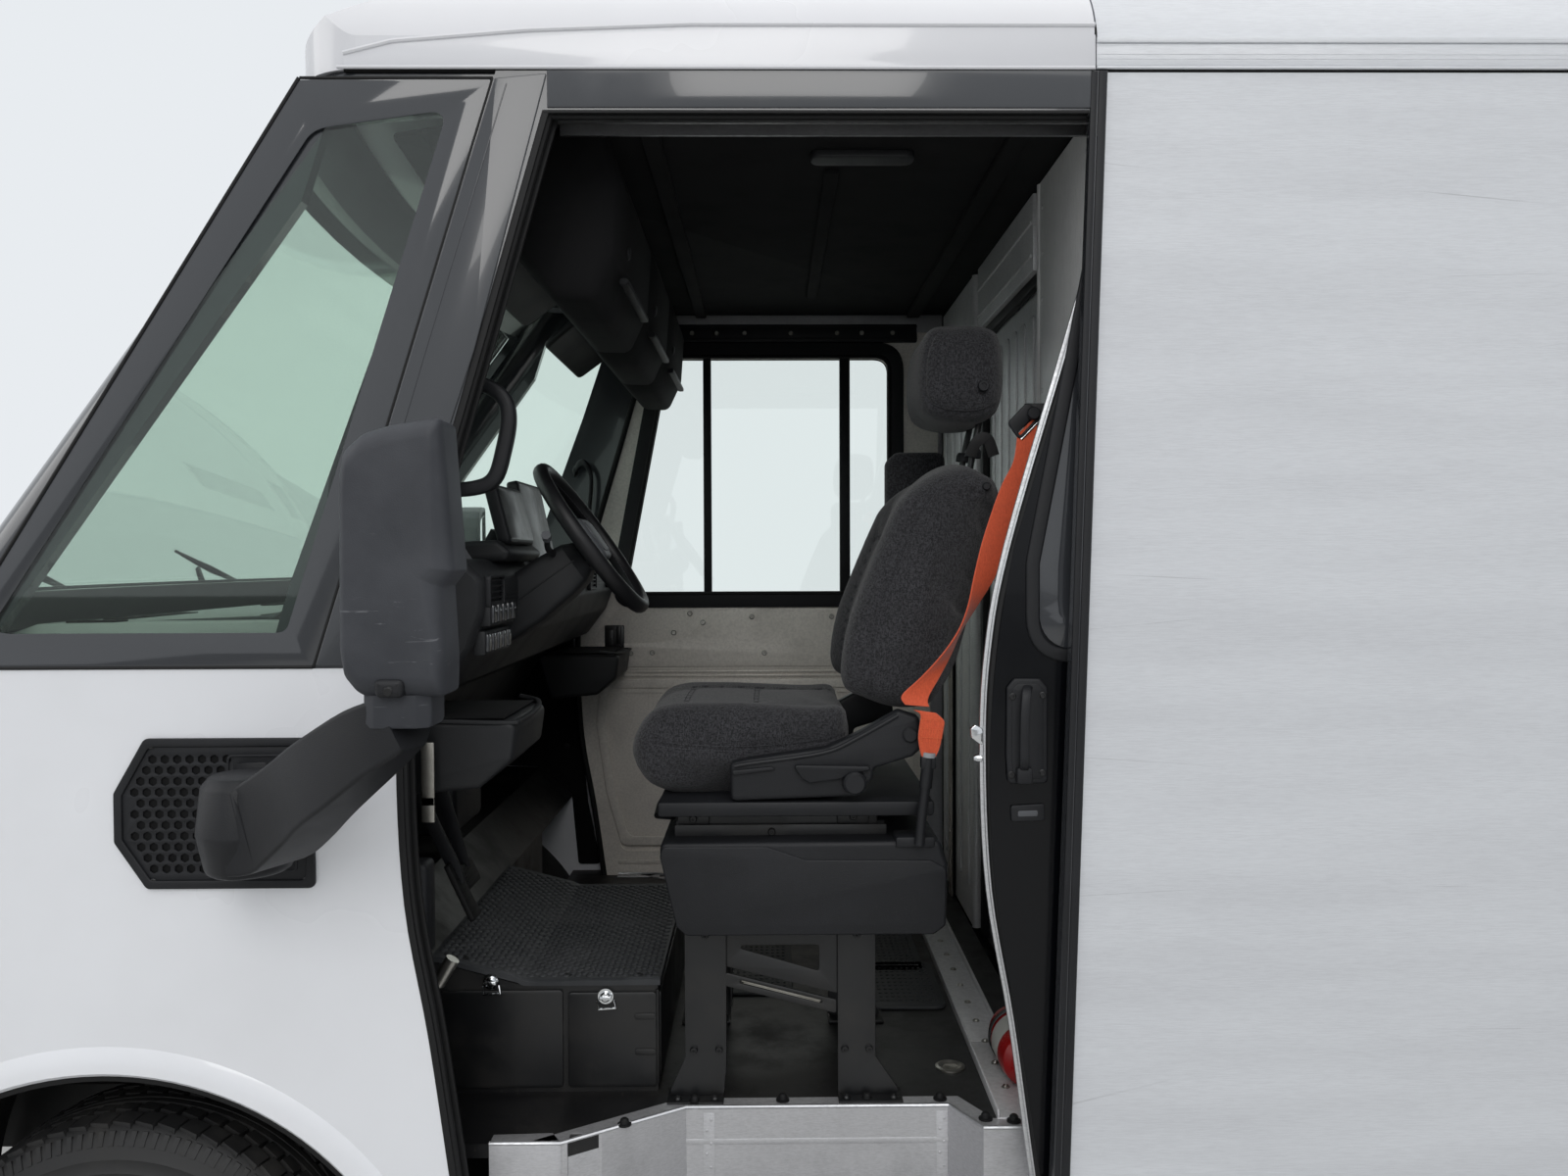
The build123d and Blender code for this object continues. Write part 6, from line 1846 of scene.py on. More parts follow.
def loftAcross(profiles):
    # sections given as ((x, z), ...) at a sideways place
    return loft([[(x, y, z) for x, z in ring] for y, ring in profiles])


def makeDash():
    # a soft-edged moulding from pillar to pillar, deeper ahead of the driver
    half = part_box("dashboard")[1].y
    top = [(2.35, 1.59), (2.285, 1.624), (1.88, 1.64), (1.76, 1.7), (1.65, 1.742), (1.545, 1.738),
           (1.506, 1.704), (1.508, 1.64), (1.53, 1.58), (1.59, 1.5), (1.73, 1.44), (1.89, 1.2),
           (2.43, 1.204), (2.452, 1.4)]
    ring = rounded(top, 0.028, 5)
    rings = []
    for y, shrink in ((-half, 0.012), (-half + 0.008, 0.003), (-half + 0.02, 0.0), (half - 0.02, 0.0),
                      (half - 0.008, 0.003), (half, 0.012)):
        middle = Vector((1.95, 1.5))
        rings.append((y, [tuple(Vector(p) - (Vector(p) - middle).normalized() * shrink) for p in ring]))
    body = loftAcross(rings)
    dress("dashMoulding", body, "dashGrain", stands=("dashboard",), crease=40)
    # pale cover under the windshield, with a demist slot near each end; its paleness is partly its own grey,
    # partly painted light
    cover = [(2.275, 1.6225), (1.905, 1.6372), (1.905, 1.6412), (2.275, 1.6265)]
    ledges = [slab([rounded([(2.3, 1.596), (1.79, 1.6), (1.79, 1.634), (2.25, 1.63), (2.3, 1.612)], 0.002)],
                   sidePlane(hand * 0.938), (-0.045, 0.045), 0.002, 2) for hand in (1, -1)]
    dress("dashCover", joined([slab([cover], sidePlane(0), (-0.9, 0.9), 0.0015, 2)] + ledges), "coverGreyLit")
    # the demist slots are near-black: painted shade inside them
    slots = [brick((2.17, y - 0.14, 1.6295), (2.215, y + 0.14, 1.6325), 0.0006) for y in (0.7, 0.0, -0.7)]
    slots += [brick((2.13, hand * 0.938 - 0.022, 1.629), (2.215, hand * 0.938 + 0.022, 1.634), 0.0006)
              for hand in (1, -1)]
    dress("dashCoverSlots", joined(slots), "shadeBlack")

    parts = []
    # raised brow over the instruments and the long storage tray below the near end
    brow = [(1.512, 1.735), (1.5, 1.752), (1.53, 1.775), (1.6, 1.772), (1.7, 1.745), (1.72, 1.715)]
    parts.append(slab([rounded(brow, 0.014)], sidePlane(0.545), (-0.165, 0.165), 0.01, 3))
    for y in (0.915, -0.915):
        hand = 1 if y > 0 else -1
        rim = [(1.508, y - hand * 0.32, 1.462), (1.47, y - hand * 0.3, 1.455),
               (1.452, y - hand * 0.2, 1.45), (1.452, y - hand * 0.04, 1.448),
               (1.47, y - hand * 0.008, 1.448), (1.6, y - hand * 0.004, 1.452)]
        parts.append(sweep(flowing(rim, 5), boxSection(0.01, 0.007, 0.002), (0, 0, 1)))
    tray = [(1.452, 1.45), (1.462, 1.38), (1.52, 1.33), (1.66, 1.318), (1.7, 1.452)]
    for y in (0.762, -0.762):
        parts.append(slab([rounded(tray, 0.018)], sidePlane(y), (-0.15, 0.15), 0.01, 3))
    for z in (1.672, 1.664):
        parts.append(sweep([(1.509, -0.9, z), (1.506, 0, z), (1.509, 0.9, z)],
                           boxSection(0.004, 0.003, 0.001), (0, 0, 1)))
    # blank switch bank beside the column, in two rows
    keyRows = (1.64, 1.588)
    for row, z in enumerate(keyRows):
        parts.append(brick((1.498 + row * 0.01, 0.69, z - 0.022), (1.52 + row * 0.01, 0.9, z + 0.022),
                           0.004))
    dress("dashFittings", joined(parts), "dashGrain")
    # near-black floors laid in the trays: painted shade in their hollows
    trays = [brick((1.475, 0.625, 1.4535), (1.65, 0.9, 1.456), 0.001),
             brick((1.475, -0.9, 1.4535), (1.65, -0.625, 1.456), 0.001)]
    dress("trayFloors", joined(trays), "shadeBlack")
    keys = []
    for row, z in enumerate(keyRows):
        for step in range(5):
            y = 0.712 + 0.042 * step
            keys.append(brick((1.493 + row * 0.01, y - 0.014, z - 0.016),
                              (1.503 + row * 0.01, y + 0.014, z + 0.016), 0.003))
    dress("dashKeys", joined(keys), "blackGloss", slot="black_plastic")
    marks = []
    for row, z in enumerate(keyRows):
        for step in range(5):
            y = 0.712 + 0.042 * step
            marks.append(brick((1.4918 + row * 0.01, y - 0.004, z + 0.004),
                    (1.4935 + row * 0.01, y + 0.004, z + 0.006), 0.0003))
    dress("dashKeyMarks", joined(marks), "greyGrain")

    # instrument display and the wide middle screen: thin cases with dark faces
    for name, centre, wide, tall, lean in (("cluster", (1.522, 0.55, 1.828), 0.125, 0.06, 14),
            ("tablet", (1.545, 0.196, 1.825), 0.14, 0.092, 12)):
        tip = math.radians(lean)
        along = Vector((0, 1, 0))
        up = Vector((math.sin(tip), 0, math.cos(tip)))
        plane = tiltedPlane(centre, along, up)
        case = rounded(square(-wide, -tall, wide, tall), 0.016, 5)
        face = rounded(square(-wide + 0.008, -tall + 0.008, wide - 0.008, tall - 0.008), 0.01, 4)
        back = plane.to_3x3() @ Vector((0, 0, 1))
        toDriver = 1 if back.x < 0 else -1
        span = (-0.026, 0.0) if toDriver > 0 else (0.0, 0.026)
        shine = (-0.0005, 0.0012) if toDriver > 0 else (-0.0012, 0.0005)
        dress(name + "Case", slab([case], plane, span, 0.006, 3), "blackGrain")
        dress(name + "Face", slab([face], plane, shine, 0.0004), "screenGlass")
        foot = [tuple(Vector(centre) + Vector((0.03, 0, -tall * 0.6))),
                tuple(Vector(centre) + Vector((0.075, 0, -tall - 0.055)))]
        dress(name + "Foot", sweep(foot, boxSection(0.1, 0.03, 0.008), (1, 0, 0.4)), "blackGrain")
    # the pale grey speaker hump at the near end of the dash top, and air outlets
    hump = lathe([(0.0, 0.052), (0.03, 0.05), (0.062, 0.036), (0.082, 0.012), (0.088, -0.02)],
                 (1.64, 0.79, 1.735), (-0.12, 0, 1), 36)
    dress("dashHump", hump, "humpGrey")
    fins = []
    for y in (-0.78, -0.4, -0.02, 0.84):
        for row in range(5):
            z = 1.7 - row * 0.0105
            fins.append(brick((1.5, y - 0.055, z - 0.0016), (1.516, y + 0.055, z + 0.0016), 0.001))
        frame = rounded(square(y - 0.063, 1.65, y + 0.063, 1.71), 0.01)
        hole = rounded(square(y - 0.056, 1.656, y + 0.056, 1.704), 0.007)
        fins.append(slab([frame, hole], crossPlane(1.504), (-0.007, 0.004), 0.002, 2))
    dress("dashOutlets", joined(fins), "blackGrain")


def makeHandles():
    # moulded grab handle on each front pillar: a bent grip with flattened feet
    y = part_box("grab_handles")[1].y - 0.091
    grip = [(1.628, 2.022), (1.56, 2.048), (1.51, 2.046), (1.47, 2.022), (1.46, 1.985), (1.469, 1.93),
            (1.486, 1.88), (1.522, 1.863), (1.575, 1.858), (1.64, 1.852)]
    shift = [(x, y, z) for x, z in grip]
    shift[0] = (1.605, y + 0.055, 2.022)
    shift[1] = (1.56, y + 0.018, 2.044)
    shift[-2] = (1.59, y + 0.012, 1.858)
    shift[-1] = (1.636, y + 0.055, 1.853)
    path = flowing(shift, 6)

    def swell(t):
        return 1.35 if t < 0.05 or t > 0.95 else 1.0 + 0.12 * math.sin(math.pi * t)
    bar = sweep(path, rounded(square(-0.012, -0.014, 0.012, 0.014), 0.009, 4), (0, 1, 0), False, swell)
    far = bar.copy()
    far.transform(Matrix.Translation((1.66, 0, 0)) @ Matrix.Diagonal((0.42, -1, 1, 1))
                  @ Matrix.Translation((-1.66, 0, 0)))
    dress("grabHandles", joined([bar, far]), "blackGrain", stands=("grab_handles",))


makeSteeringWheel()
makeColumn()
makeDash()
makeHandles()
print("dashboard and steering dressed")


# Behind and above the seats: bulkhead, its sliding panel, the ceiling with its console, and the belt
bulkheadSettings = {"x": 0.408, "walk": (-0.25, 0.45), "walkTop": 2.33, "floor": 0.7055, "top": 2.519,
                    "half": 0.9215}


def makeBulkhead():
    c = bulkheadSettings
    x, half, floor, top = c["x"], c["half"], c["floor"], c["top"]
    walkLow, walkHigh = c["walk"]
    sheet = [(-half, floor), (-half, top), (half, top), (half, floor), (walkHigh, floor),
             (walkHigh, c["walkTop"]), (walkLow, c["walkTop"]), (walkLow, floor)]
    parts = [slab([sheet], crossPlane(x), (0.0005, 0.005), 0.0008)]
    # the wide brushed face beside the driver and its fellow, each with a rolled inner edge
    near = []
    for low, high, pile in ((0.512, 0.915, near), (-0.915, -0.315, parts)):
        face = rounded(square(low, floor + 0.004, high, top - 0.004), 0.004)
        pile.append(slab([face], crossPlane(x), (0.026, 0.03), 0.0012))
        edge = low if low > 0 else high
        pile.append(tube([(x + 0.022, edge, floor + 0.006), (x + 0.022, edge, top - 0.006)], 0.0125, 12))
        for y in (low + 0.02, high - 0.02):
            pile.append(brick((x + 0.004, y - 0.012, floor + 0.004), (x + 0.028, y + 0.012, top - 0.006),
                              0.002))
    # the near face and its rolled edge take the paler copy: painted light falling on them; the far face
    # keeps the wall aluminium
    dress("bulkheadFace", joined(near), "litFaceAluminium")
    # pressed ribs on the far part, and the header over the walkway
    for step in range(4):
        y = -0.845 + 0.145 * step
        ring = rounded(square(y - 0.03, floor + 0.1, y + 0.03, top - 0.16), 0.02)
        parts.append(slab([ring], crossPlane(x), (0.028, 0.036), 0.0035, 3))
    parts.append(brick((x + 0.004, walkLow, c["walkTop"] + 0.02), (x + 0.03, walkHigh, top - 0.004), 0.003))
    for z in (c["walkTop"] + 0.055, c["walkTop"] + 0.125):
        parts.append(brick((x + 0.028, walkLow + 0.01, z - 0.004), (x + 0.034, walkHigh - 0.01, z + 0.004),
                           0.0015))
    parts.append(brick((x - 0.038, -half + 0.02, c["walkTop"] + 0.046),
                       (x, walkHigh + 0.06, c["walkTop"] + 0.09), 0.002))
    dress("bulkheadSheet", joined(parts), "wallAluminium", stands=("bulkhead",))
    frame = []
    for y in (walkLow - 0.006, walkHigh + 0.01):
        frame.append(brick((x - 0.001, y - 0.02, floor), (x + 0.018, y + 0.016, c["walkTop"] + 0.02),
                           0.004))
    frame.append(brick((x - 0.001, walkLow - 0.02, c["walkTop"] - 0.004),
                       (x + 0.018, walkHigh + 0.02, c["walkTop"] + 0.022), 0.004))
    dress("walkwayEdging", joined(frame), "gasket")
    rivets = [((x + 0.0302, y, floor + 0.06 + 0.094 * k), (1, 0, 0), (0, 1, 0)) for k in range(19)
              for y in (0.545, 0.895, -0.895, -0.345)]
    dressSpots("bulkheadRivets", rivets, domeHead(0.005, 0.0018), "wallAluminium")
    # slotted post beyond the driver's seat, as shelving uprights have
    post = rounded(square(-0.705, floor, -0.64, 1.66), 0.003)
    slots = []
    for row in range(9):
        z = 0.8 + 0.095 * row
        slots.append(rounded(square(-0.68, z, -0.664, z + 0.045), 0.007))
    dress("slottedPost", slab([post] + slots, crossPlane(x), (0.04, 0.044), 0.0008), "zincSteel")
    # a near-black strip behind the post's slots, where the wall is bare aluminium: painted shade
    dress("slottedPostBack", brick((x + 0.031, -0.7, floor), (x + 0.038, -0.645, 1.655), 0.001),
          "shadeBlack", slot="bare_aluminium")


def makeWalkDoor():
    low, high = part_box("bulkhead_door")
    parts = []
    y = low.y + 0.05
    while y < high.y - 0.06:
        ring = rounded(square(y, low.z + 0.07, y + 0.055, high.z - 0.09), 0.02)
        parts.append(slab([ring], crossPlane(high.x), (-0.001, 0.0042), 0.002, 3))
        y += 0.098
    parts.append(brick((high.x - 0.002, high.y - 0.04, 1.45), (high.x + 0.0045, high.y - 0.012, 1.62),
                       0.002))
    dress("walkDoorRibs", joined(parts), "wallAluminium", "bulkhead_door")


consoleSettings = {
    "profile": [(1.3, 2.5215, 0.01), (1.268, 2.43, 0.05), (1.278, 2.29, 0.06), (1.318, 2.205, 0.03),
                (1.392, 2.208, 0.03), (1.44, 2.262, 0.03), (1.56, 2.405, 0.03), (1.64, 2.5215, 0.01)],
                "half": 0.845}


def makeCeiling():
    c = consoleSettings
    ring = rounded(c["profile"], 0.03, 6)
    rings = []
    middle = Vector((1.42, 2.4))
    for y, shrink in ((-c["half"], 0.03), (-c["half"] + 0.006, 0.012), (-c["half"] + 0.024, 0.0),
                      (-0.262, 0.0), (-0.258, 0.003), (-0.254, 0.0), (0.262, 0.0), (0.266, 0.003),
                      (0.27, 0.0), (c["half"] - 0.024, 0.0), (c["half"] - 0.006, 0.012), (c["half"], 0.03)):
        rings.append([(p[0] - (Vector(p) - middle).normalized().x * shrink, y,
                       p[1] - (Vector(p) - middle).normalized().y * shrink) for p in ring])
    console = loft(rings)
    plate = [(0.416, -0.915), (1.375, -0.915), (1.44, -0.88), (1.7, -0.775), (1.76, 0.0), (1.7, 0.775),
             (1.44, 0.88), (1.375, 0.915), (0.416, 0.915)]
    ceiling = slab([rounded(plate, 0.02)], levelPlane(2.5205), (0, 0.011), 0.003)
    dress("cabCeiling", joined([console, ceiling]), "headliner", stands=("cab_ceiling",), crease=40)
    parts = []
    for y in (-0.56, 0.0, 0.56):
        lip = [(1.276, y - 0.19, 2.262), (1.272, y - 0.17, 2.258), (1.272, y + 0.17, 2.258),
               (1.276, y + 0.19, 2.262)]
        parts.append(sweep(lip, boxSection(0.016, 0.012, 0.004), (0, 0, 1)))
        parts.append(lathe([(0, 0.006), (0.01, 0.006), (0.013, 0.003), (0.013, -0.006)],
                           (1.276, y + 0.12, 2.33), (-1, 0, -0.1), 20))
    for y in (0.42, -0.42):
        visor = rounded([(1.46, y - 0.3), (1.6, y - 0.28), (1.6, y + 0.28), (1.46, y + 0.3)], 0.03, 5)
        mesh = slab([visor], levelPlane(0), (-0.009, 0.009), 0.008, 4)
        lean = Matrix.Rotation(math.radians(38), 4, "Y")
        mesh.transform(Matrix.Translation((1.53, y, 2.335)) @ lean @ Matrix.Translation((-1.53, -y, 0)))
        parts.append(mesh)
        parts.append(tube([(1.475, y + 0.32, 2.395), (1.478, y - 0.32, 2.395)], 0.006, 8))
    dress("consoleFittings", joined(parts), "dashGrain")
    # dome lamp, two bows and the wiring cover of the ceiling
    parts = [brick((0.86, -0.6, 2.509), (0.89, 0.6, 2.521), 0.004),
             brick((0.52, -0.88, 2.505), (0.56, 0.88, 2.5205), 0.004),
             brick((1.2, -0.88, 2.505), (1.235, 0.88, 2.5205), 0.004)]
    dress("ceilingBows", joined(parts), "headliner")
    lamp = rounded(square(0.72, 0.66, 0.92, 0.72), 0.025, 6)
    dress("domeLamp", slab([lamp], levelPlane(2.509), (-0.004, 0.012), 0.004, 3), "dashGrain",
          slot="lamp_clear")


beltSettings = {"rows": [((0.549, 1.962, 0.842), (0.511, 2.0, 0.842)),
                         ((0.556, 1.914, 0.842), (0.515, 1.942, 0.842)),
                         ((0.577, 1.872, 0.843), (0.524, 1.89, 0.842)),
                         ((0.595, 1.825, 0.845), (0.54, 1.83, 0.842)),
                         ((0.615, 1.764, 0.848), (0.566, 1.76, 0.842)),
                         ((0.63, 1.705, 0.853), (0.59, 1.7, 0.84)),
                         ((0.643, 1.648, 0.862), (0.622, 1.648, 0.834)),
                         ((0.66, 1.606, 0.868), (0.649, 1.604, 0.828)),
                         ((0.69, 1.562, 0.866), (0.668, 1.562, 0.832)),
                         ((0.728, 1.52, 0.858), (0.69, 1.522, 0.844)),
                         ((0.762, 1.487, 0.854), (0.713, 1.482, 0.85)),
                         ((0.756, 1.47, 0.856), (0.712, 1.466, 0.856))],
    "tab": [((0.742, 1.461, 0.8595), (0.7, 1.455, 0.8595)),
            ((0.729, 1.452, 0.8615), (0.686, 1.442, 0.8615)), ((0.731, 1.432, 0.862), (0.686, 1.43, 0.862)),
            ((0.733, 1.411, 0.861), (0.69, 1.408, 0.861)), ((0.73, 1.388, 0.859), (0.694, 1.39, 0.859)),
            ((0.726, 1.374, 0.857), (0.702, 1.372, 0.857))],
    "thick": 0.0014}


def ribbon(rows, thick):
    # a strap between two edge lines, thicker just inside its selvedges
    left = flowing([(r[0][0], r[0][2], r[0][1]) for r in rows], 5)
    right = flowing([(r[1][0], r[1][2], r[1][1]) for r in rows], 5)
    rings = []
    for k, (a, b) in enumerate(zip(left, right)):
        n = min(k + 1, len(left) - 1)
        p = max(k - 1, 0)
        ahead = (left[n] + right[n] - left[p] - right[p]).normalized()
        across = (b - a).normalized()
        out = across.cross(ahead).normalized()
        bulges = ((0, 0.5), (0.04, 1.25), (0.12, 1.0), (0.5, 1.0), (0.88, 1.0), (0.96, 1.25), (1, 0.5))
        front = [a + (b - a) * t + out * (thick * bulge) for t, bulge in bulges]
        back = [a + (b - a) * t - out * (thick * bulge) for t, bulge in reversed(bulges)]
        rings.append(front + back)
    return loft(rings)


def makeBelt():
    c = beltSettings
    dress("beltStrap", joined([ribbon(c["rows"], c["thick"]), ribbon(c["tab"], c["thick"] * 1.7)]),
          "beltWebbing", stands=("seat_belt",))
    lines = []
    for u in (0.14, 0.5, 0.86):
        lines.append([Vector((0.733 - 0.044 * u, 0.8645, 1.448 - 0.006 * u)),
                      Vector((0.7325 - 0.04 * u, 0.8635, 1.402))])
    for z in (1.444, 1.428, 1.412):
        lines.append([Vector((0.728, 0.8648, z)), Vector((0.692, 0.8648, z - 0.003))])
    dress("beltStitches", stitches(lines, "beltThread", 0.0045, 0.0034, 0.0008), "beltThread")
    ring = rounded([(-0.034, -0.013), (0.034, -0.013), (0.026, 0.026), (-0.026, 0.026)], 0.01, 5)
    slot = rounded(square(-0.026, -0.007, 0.026, -0.001), 0.0028, 3)
    along = Vector((0.043, 0, -0.045)).normalized()
    plane = tiltedPlane((0.531, 0.843, 1.984), along, Vector((0.7, 0.0, 0.7)))
    dress("beltRing", slab([ring, slot], plane, (-0.004, 0.004), 0.0025, 3), "blackGrain",
          slot="frame_black")
    # a bright chrome line on the black ring's lower edge: painted glint
    edge = [plane @ Vector((u, -0.0135, 0)) for u in (-0.03, 0.03)]
    dress("beltRingWear", tube(edge, 0.003, 8), "chromeSteel", slot="frame_black")
    parts = [brick((0.44, 0.828, 1.962), (0.535, 0.8385, 2.02), 0.004),
             brick((0.438, 0.806, 1.9), (0.462, 0.862, 2.1), 0.006),
             lathe([(0, 0.01), (0.01, 0.01), (0.012, 0.007), (0.012, -0.006)], (0.521, 0.846, 2.0),
                   (0, 1, 0), 18)]
    dress("beltAnchor", joined(parts), "blackGrain", slot="frame_black")
    loop = [(0.612, 0.7, 1.935), (0.6, 0.705, 1.962), (0.58, 0.705, 1.968), (0.566, 0.7, 1.935)]
    dress("backLoop", sweep(flowing(loop, 6), boxSection(0.022, 0.003, 0.001), (0, 1, 0)), "gasket",
          slot="belt_webbing")


def makeExtinguisher():
    low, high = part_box("fire_extinguisher")
    x, z = (low.x + high.x) / 2, (low.z + high.z) / 2
    radius = (high.x - low.x) / 2 * 0.985
    length = high.y - low.y
    turn = [(0, 0), (radius * 0.7, 0.004), (radius * 0.93, 0.016), (radius, 0.04), (radius, length * 0.84),
            (radius * 0.93, length * 0.93), (radius * 0.66, length * 0.985), (0.02, length), (0, length)]
    body = lathe([(r, -h) for r, h in turn], (x, high.y, z), (0, 1, 0), 40)
    dress("extinguisherShell", body, "redPaint", stands=("fire_extinguisher",))
    label = lathe([(radius + 0.0006, -length * 0.3), (radius + 0.0006, -length * 0.64)], (x, high.y, z),
                  (0, 1, 0), 40)
    dress("extinguisherLabel", label, "whiteLabel", slot="red_paint")
    strap = lathe([(radius + 0.001, -length * 0.7), (radius + 0.003, -length * 0.705),
                   (radius + 0.003, -length * 0.77), (radius + 0.001, -length * 0.775)], (x, high.y, z),
                   (0, 1, 0), 40)
    dress("extinguisherStrap", strap, "blackSteel")


makeBulkhead()
makeWalkDoor()
makeCeiling()
makeBelt()
makeExtinguisher()
print("bulkhead, ceiling and belt dressed")


# Foot platform, its dimpled mat, the step wells and what lies on the cab floor
matSettings = {
    "half": (0.014, 0.724), "top": 0.9255, "lift": 0.0475, "fold": (1.478, 1.656), "pitch": (0.023, 0.0135)}


def matHeight(x):
    c = matSettings
    low, high = c["fold"]
    t = min(max((x - low + 0.01) / (high - low), 0), 1)
    soft = t * t * (3 - 2 * t) if t < 0.12 else t
    return c["top"] + c["lift"] * soft


def makeMat():
    c = matSettings
    near, far = c["half"][1], c["half"][0]
    stations = [1.217 + 0.0126 * k for k in range(36)]
    rings = []
    for x in stations:
        z = matHeight(x)
        droop = 0.0016 * math.sin(x * 21) + 0.0012 * math.sin(x * 47)
        rings.append([(x, near, z - 0.0125), (x, near + 0.001, z - 0.003 + droop),
                      (x, near - 0.004, z + 0.0005 + droop), (x, near - 0.014, z - 0.0015),
                      (x, far + 0.012, z - 0.0015), (x, far + 0.003, z), (x, far, z - 0.003),
                      (x, far, z - 0.0125)])
    dress("platformMat", loft(rings), "matRubber", stands=("platform_mat",), crease=50)
    cell = turned([(0.0, 0.003), (0.005, 0.0029), (0.0068, 0.0018), (0.0076, 0.0)], 6)
    cell.transform(Matrix.Diagonal((1.15, 1.25, 1, 1)))
    places = []
    row = 0
    x = 1.23
    while x < 1.648:
        y = far + 0.022 + (c["pitch"][1] if row % 2 else 0)
        slope = (matHeight(x + 0.004) - matHeight(x - 0.004)) / 0.008
        while y < near - 0.022:
            places.append(((x, y, matHeight(x) - 0.0017), (-slope, 0, 1), (1, 0, slope)))
            y += 2 * c["pitch"][1]
        x += c["pitch"][0] / 2
        row += 1
    dressSpots("matDimples", places, cell, "matRubber", crease=60)


def makePlatform():
    # panelled front of the platform, a bead on its seam, and its latches
    near = 0.7205
    parts = []
    for low, high in ((1.2245, 1.395), (1.405, 1.64)):
        top = 0.9 if high < 1.5 else 0.905
        ring = rounded(square(low, 0.715, high, top), 0.008)
        parts.append(slab([ring], sidePlane(near), (-0.005, 0.0), 0.002))
    parts.append(tube([(1.2225, near + 0.003, 0.722), (1.2225, near + 0.003, 0.905)], 0.0035, 8))
    for z in (0.784, 0.853):
        parts.append(slab([rounded(square(1.226, z - 0.006, 1.266, z + 0.006), 0.005)],
                          sidePlane(near + 0.005), (-0.0025, 0.0), 0.001))
    front = rounded(square(0.03, 0.72, 0.7, 0.895), 0.012)
    parts.append(slab([front], crossPlane(1.2215), (-0.004, 0.0005), 0.002))
    dress("platformPanels", joined(parts), "blackSteel")
    parts = []
    for x, z in ((1.543, 0.935), (1.322, 0.905)):
        parts += [lathe([(0, 0.01), (0.007, 0.01), (0.01, 0.007), (0.0105, 0.002), (0.015, 0.002),
                         (0.015, 0)], (x, near + 0.005, z - 0.012), (0, 1, 0), 20),
                         brick((x - 0.012, near + 0.012, z - 0.016), (x + 0.012, near + 0.018, z - 0.009),
                                 0.002), tube([(x - 0.016, near + 0.006, z - 0.02),
                                         (x - 0.02, near + 0.016, z - 0.032),
                                                 (x + 0.012, near + 0.016, z - 0.034),
                                                         (x + 0.016, near + 0.006, z - 0.02)], 0.0022, 6)]
    dress("platformLatches", joined(parts), "chromeSteel")
    # a damper under the toe wall, in front of the driver
    parts = [tube([(1.584, 0.85, 1.008), (1.612, 0.85, 0.962)], 0.013, 12),
             tube([(1.612, 0.85, 0.962), (1.64, 0.85, 0.915)], 0.008, 10)]
    # bright keeper plates on the door frame's inner edge
    for z, high in ((1.362, 0.112), (1.3, 0.045)):
        parts.append(brick((1.59, 0.936, z - high / 2), (1.613, 0.942, z + high / 2), 0.0015))
    dress("hoodStrut", joined(parts), "zincSteel")
    # toe wall kick panel, heater box and the two pedals over the slope
    parts = [brick((1.7, 0.1, 1.12), (1.83, 0.36, 1.34), 0.02, 3),
             brick((1.66, 0.4, 1.3), (1.78, 0.72, 1.42), 0.025, 3),
             brick((1.61, 0.86, 1.03), (1.69, 0.925, 1.2), 0.012, 3),
             brick((1.63, 0.87, 0.97), (1.68, 0.92, 1.025), 0.006)]
    for y, reach in ((0.5, 0.0), (0.63, 0.02)):
        arm = flowing([(1.72, y, 1.36), (1.69, y, 1.24), (1.655 - reach, y, 1.12),
                       (1.648 - reach, y, 1.09)], 4)
        parts.append(sweep(arm, boxSection(0.012, 0.026, 0.003), (1, 0, 0)))
    dress("toeFittings", joined(parts), "blackGrain")
    parts = []
    for y, reach, wide, tall in ((0.5, 0.0, 0.052, 0.026), (0.63, 0.02, 0.027, 0.062)):
        plane = tiltedPlane((1.64 - reach, y, 1.075), (0, 1, 0), (0.42, 0, 0.9))
        pad = rounded(square(-wide, -tall, wide, tall), 0.008)
        parts.append(slab([pad], plane, (-0.006, 0.006), 0.003))
        for k in range(-2, 3):
            rib = square(-wide * 0.8, k * tall * 0.36 - 0.0015, wide * 0.8, k * tall * 0.36 + 0.0015)
            parts.append(slab([rib], plane, (-0.0075, -0.005), 0.0005))
            parts.append(slab([rib], plane, (0.005, 0.0075), 0.0005))
    dress("pedalPads", joined(parts), "gasket")
    dressSpots("matKeepers", [((x, 0.695, matHeight(x) - 0.001), (0, 0, 1), (1, 0, 0))
                              for x in (1.26, 1.4, 1.6)], domeHead(0.008, 0.003), "gasket")


wellSettings = {"back": 0.8, "floor": 0.705, "tread": 0.4,
                "edge": [(1.49, 1.003), (1.375, 0.94), (1.163, 0.8), (0.669, 0.8), (0.618, 0.895),
                         (0.53, 0.895)]}


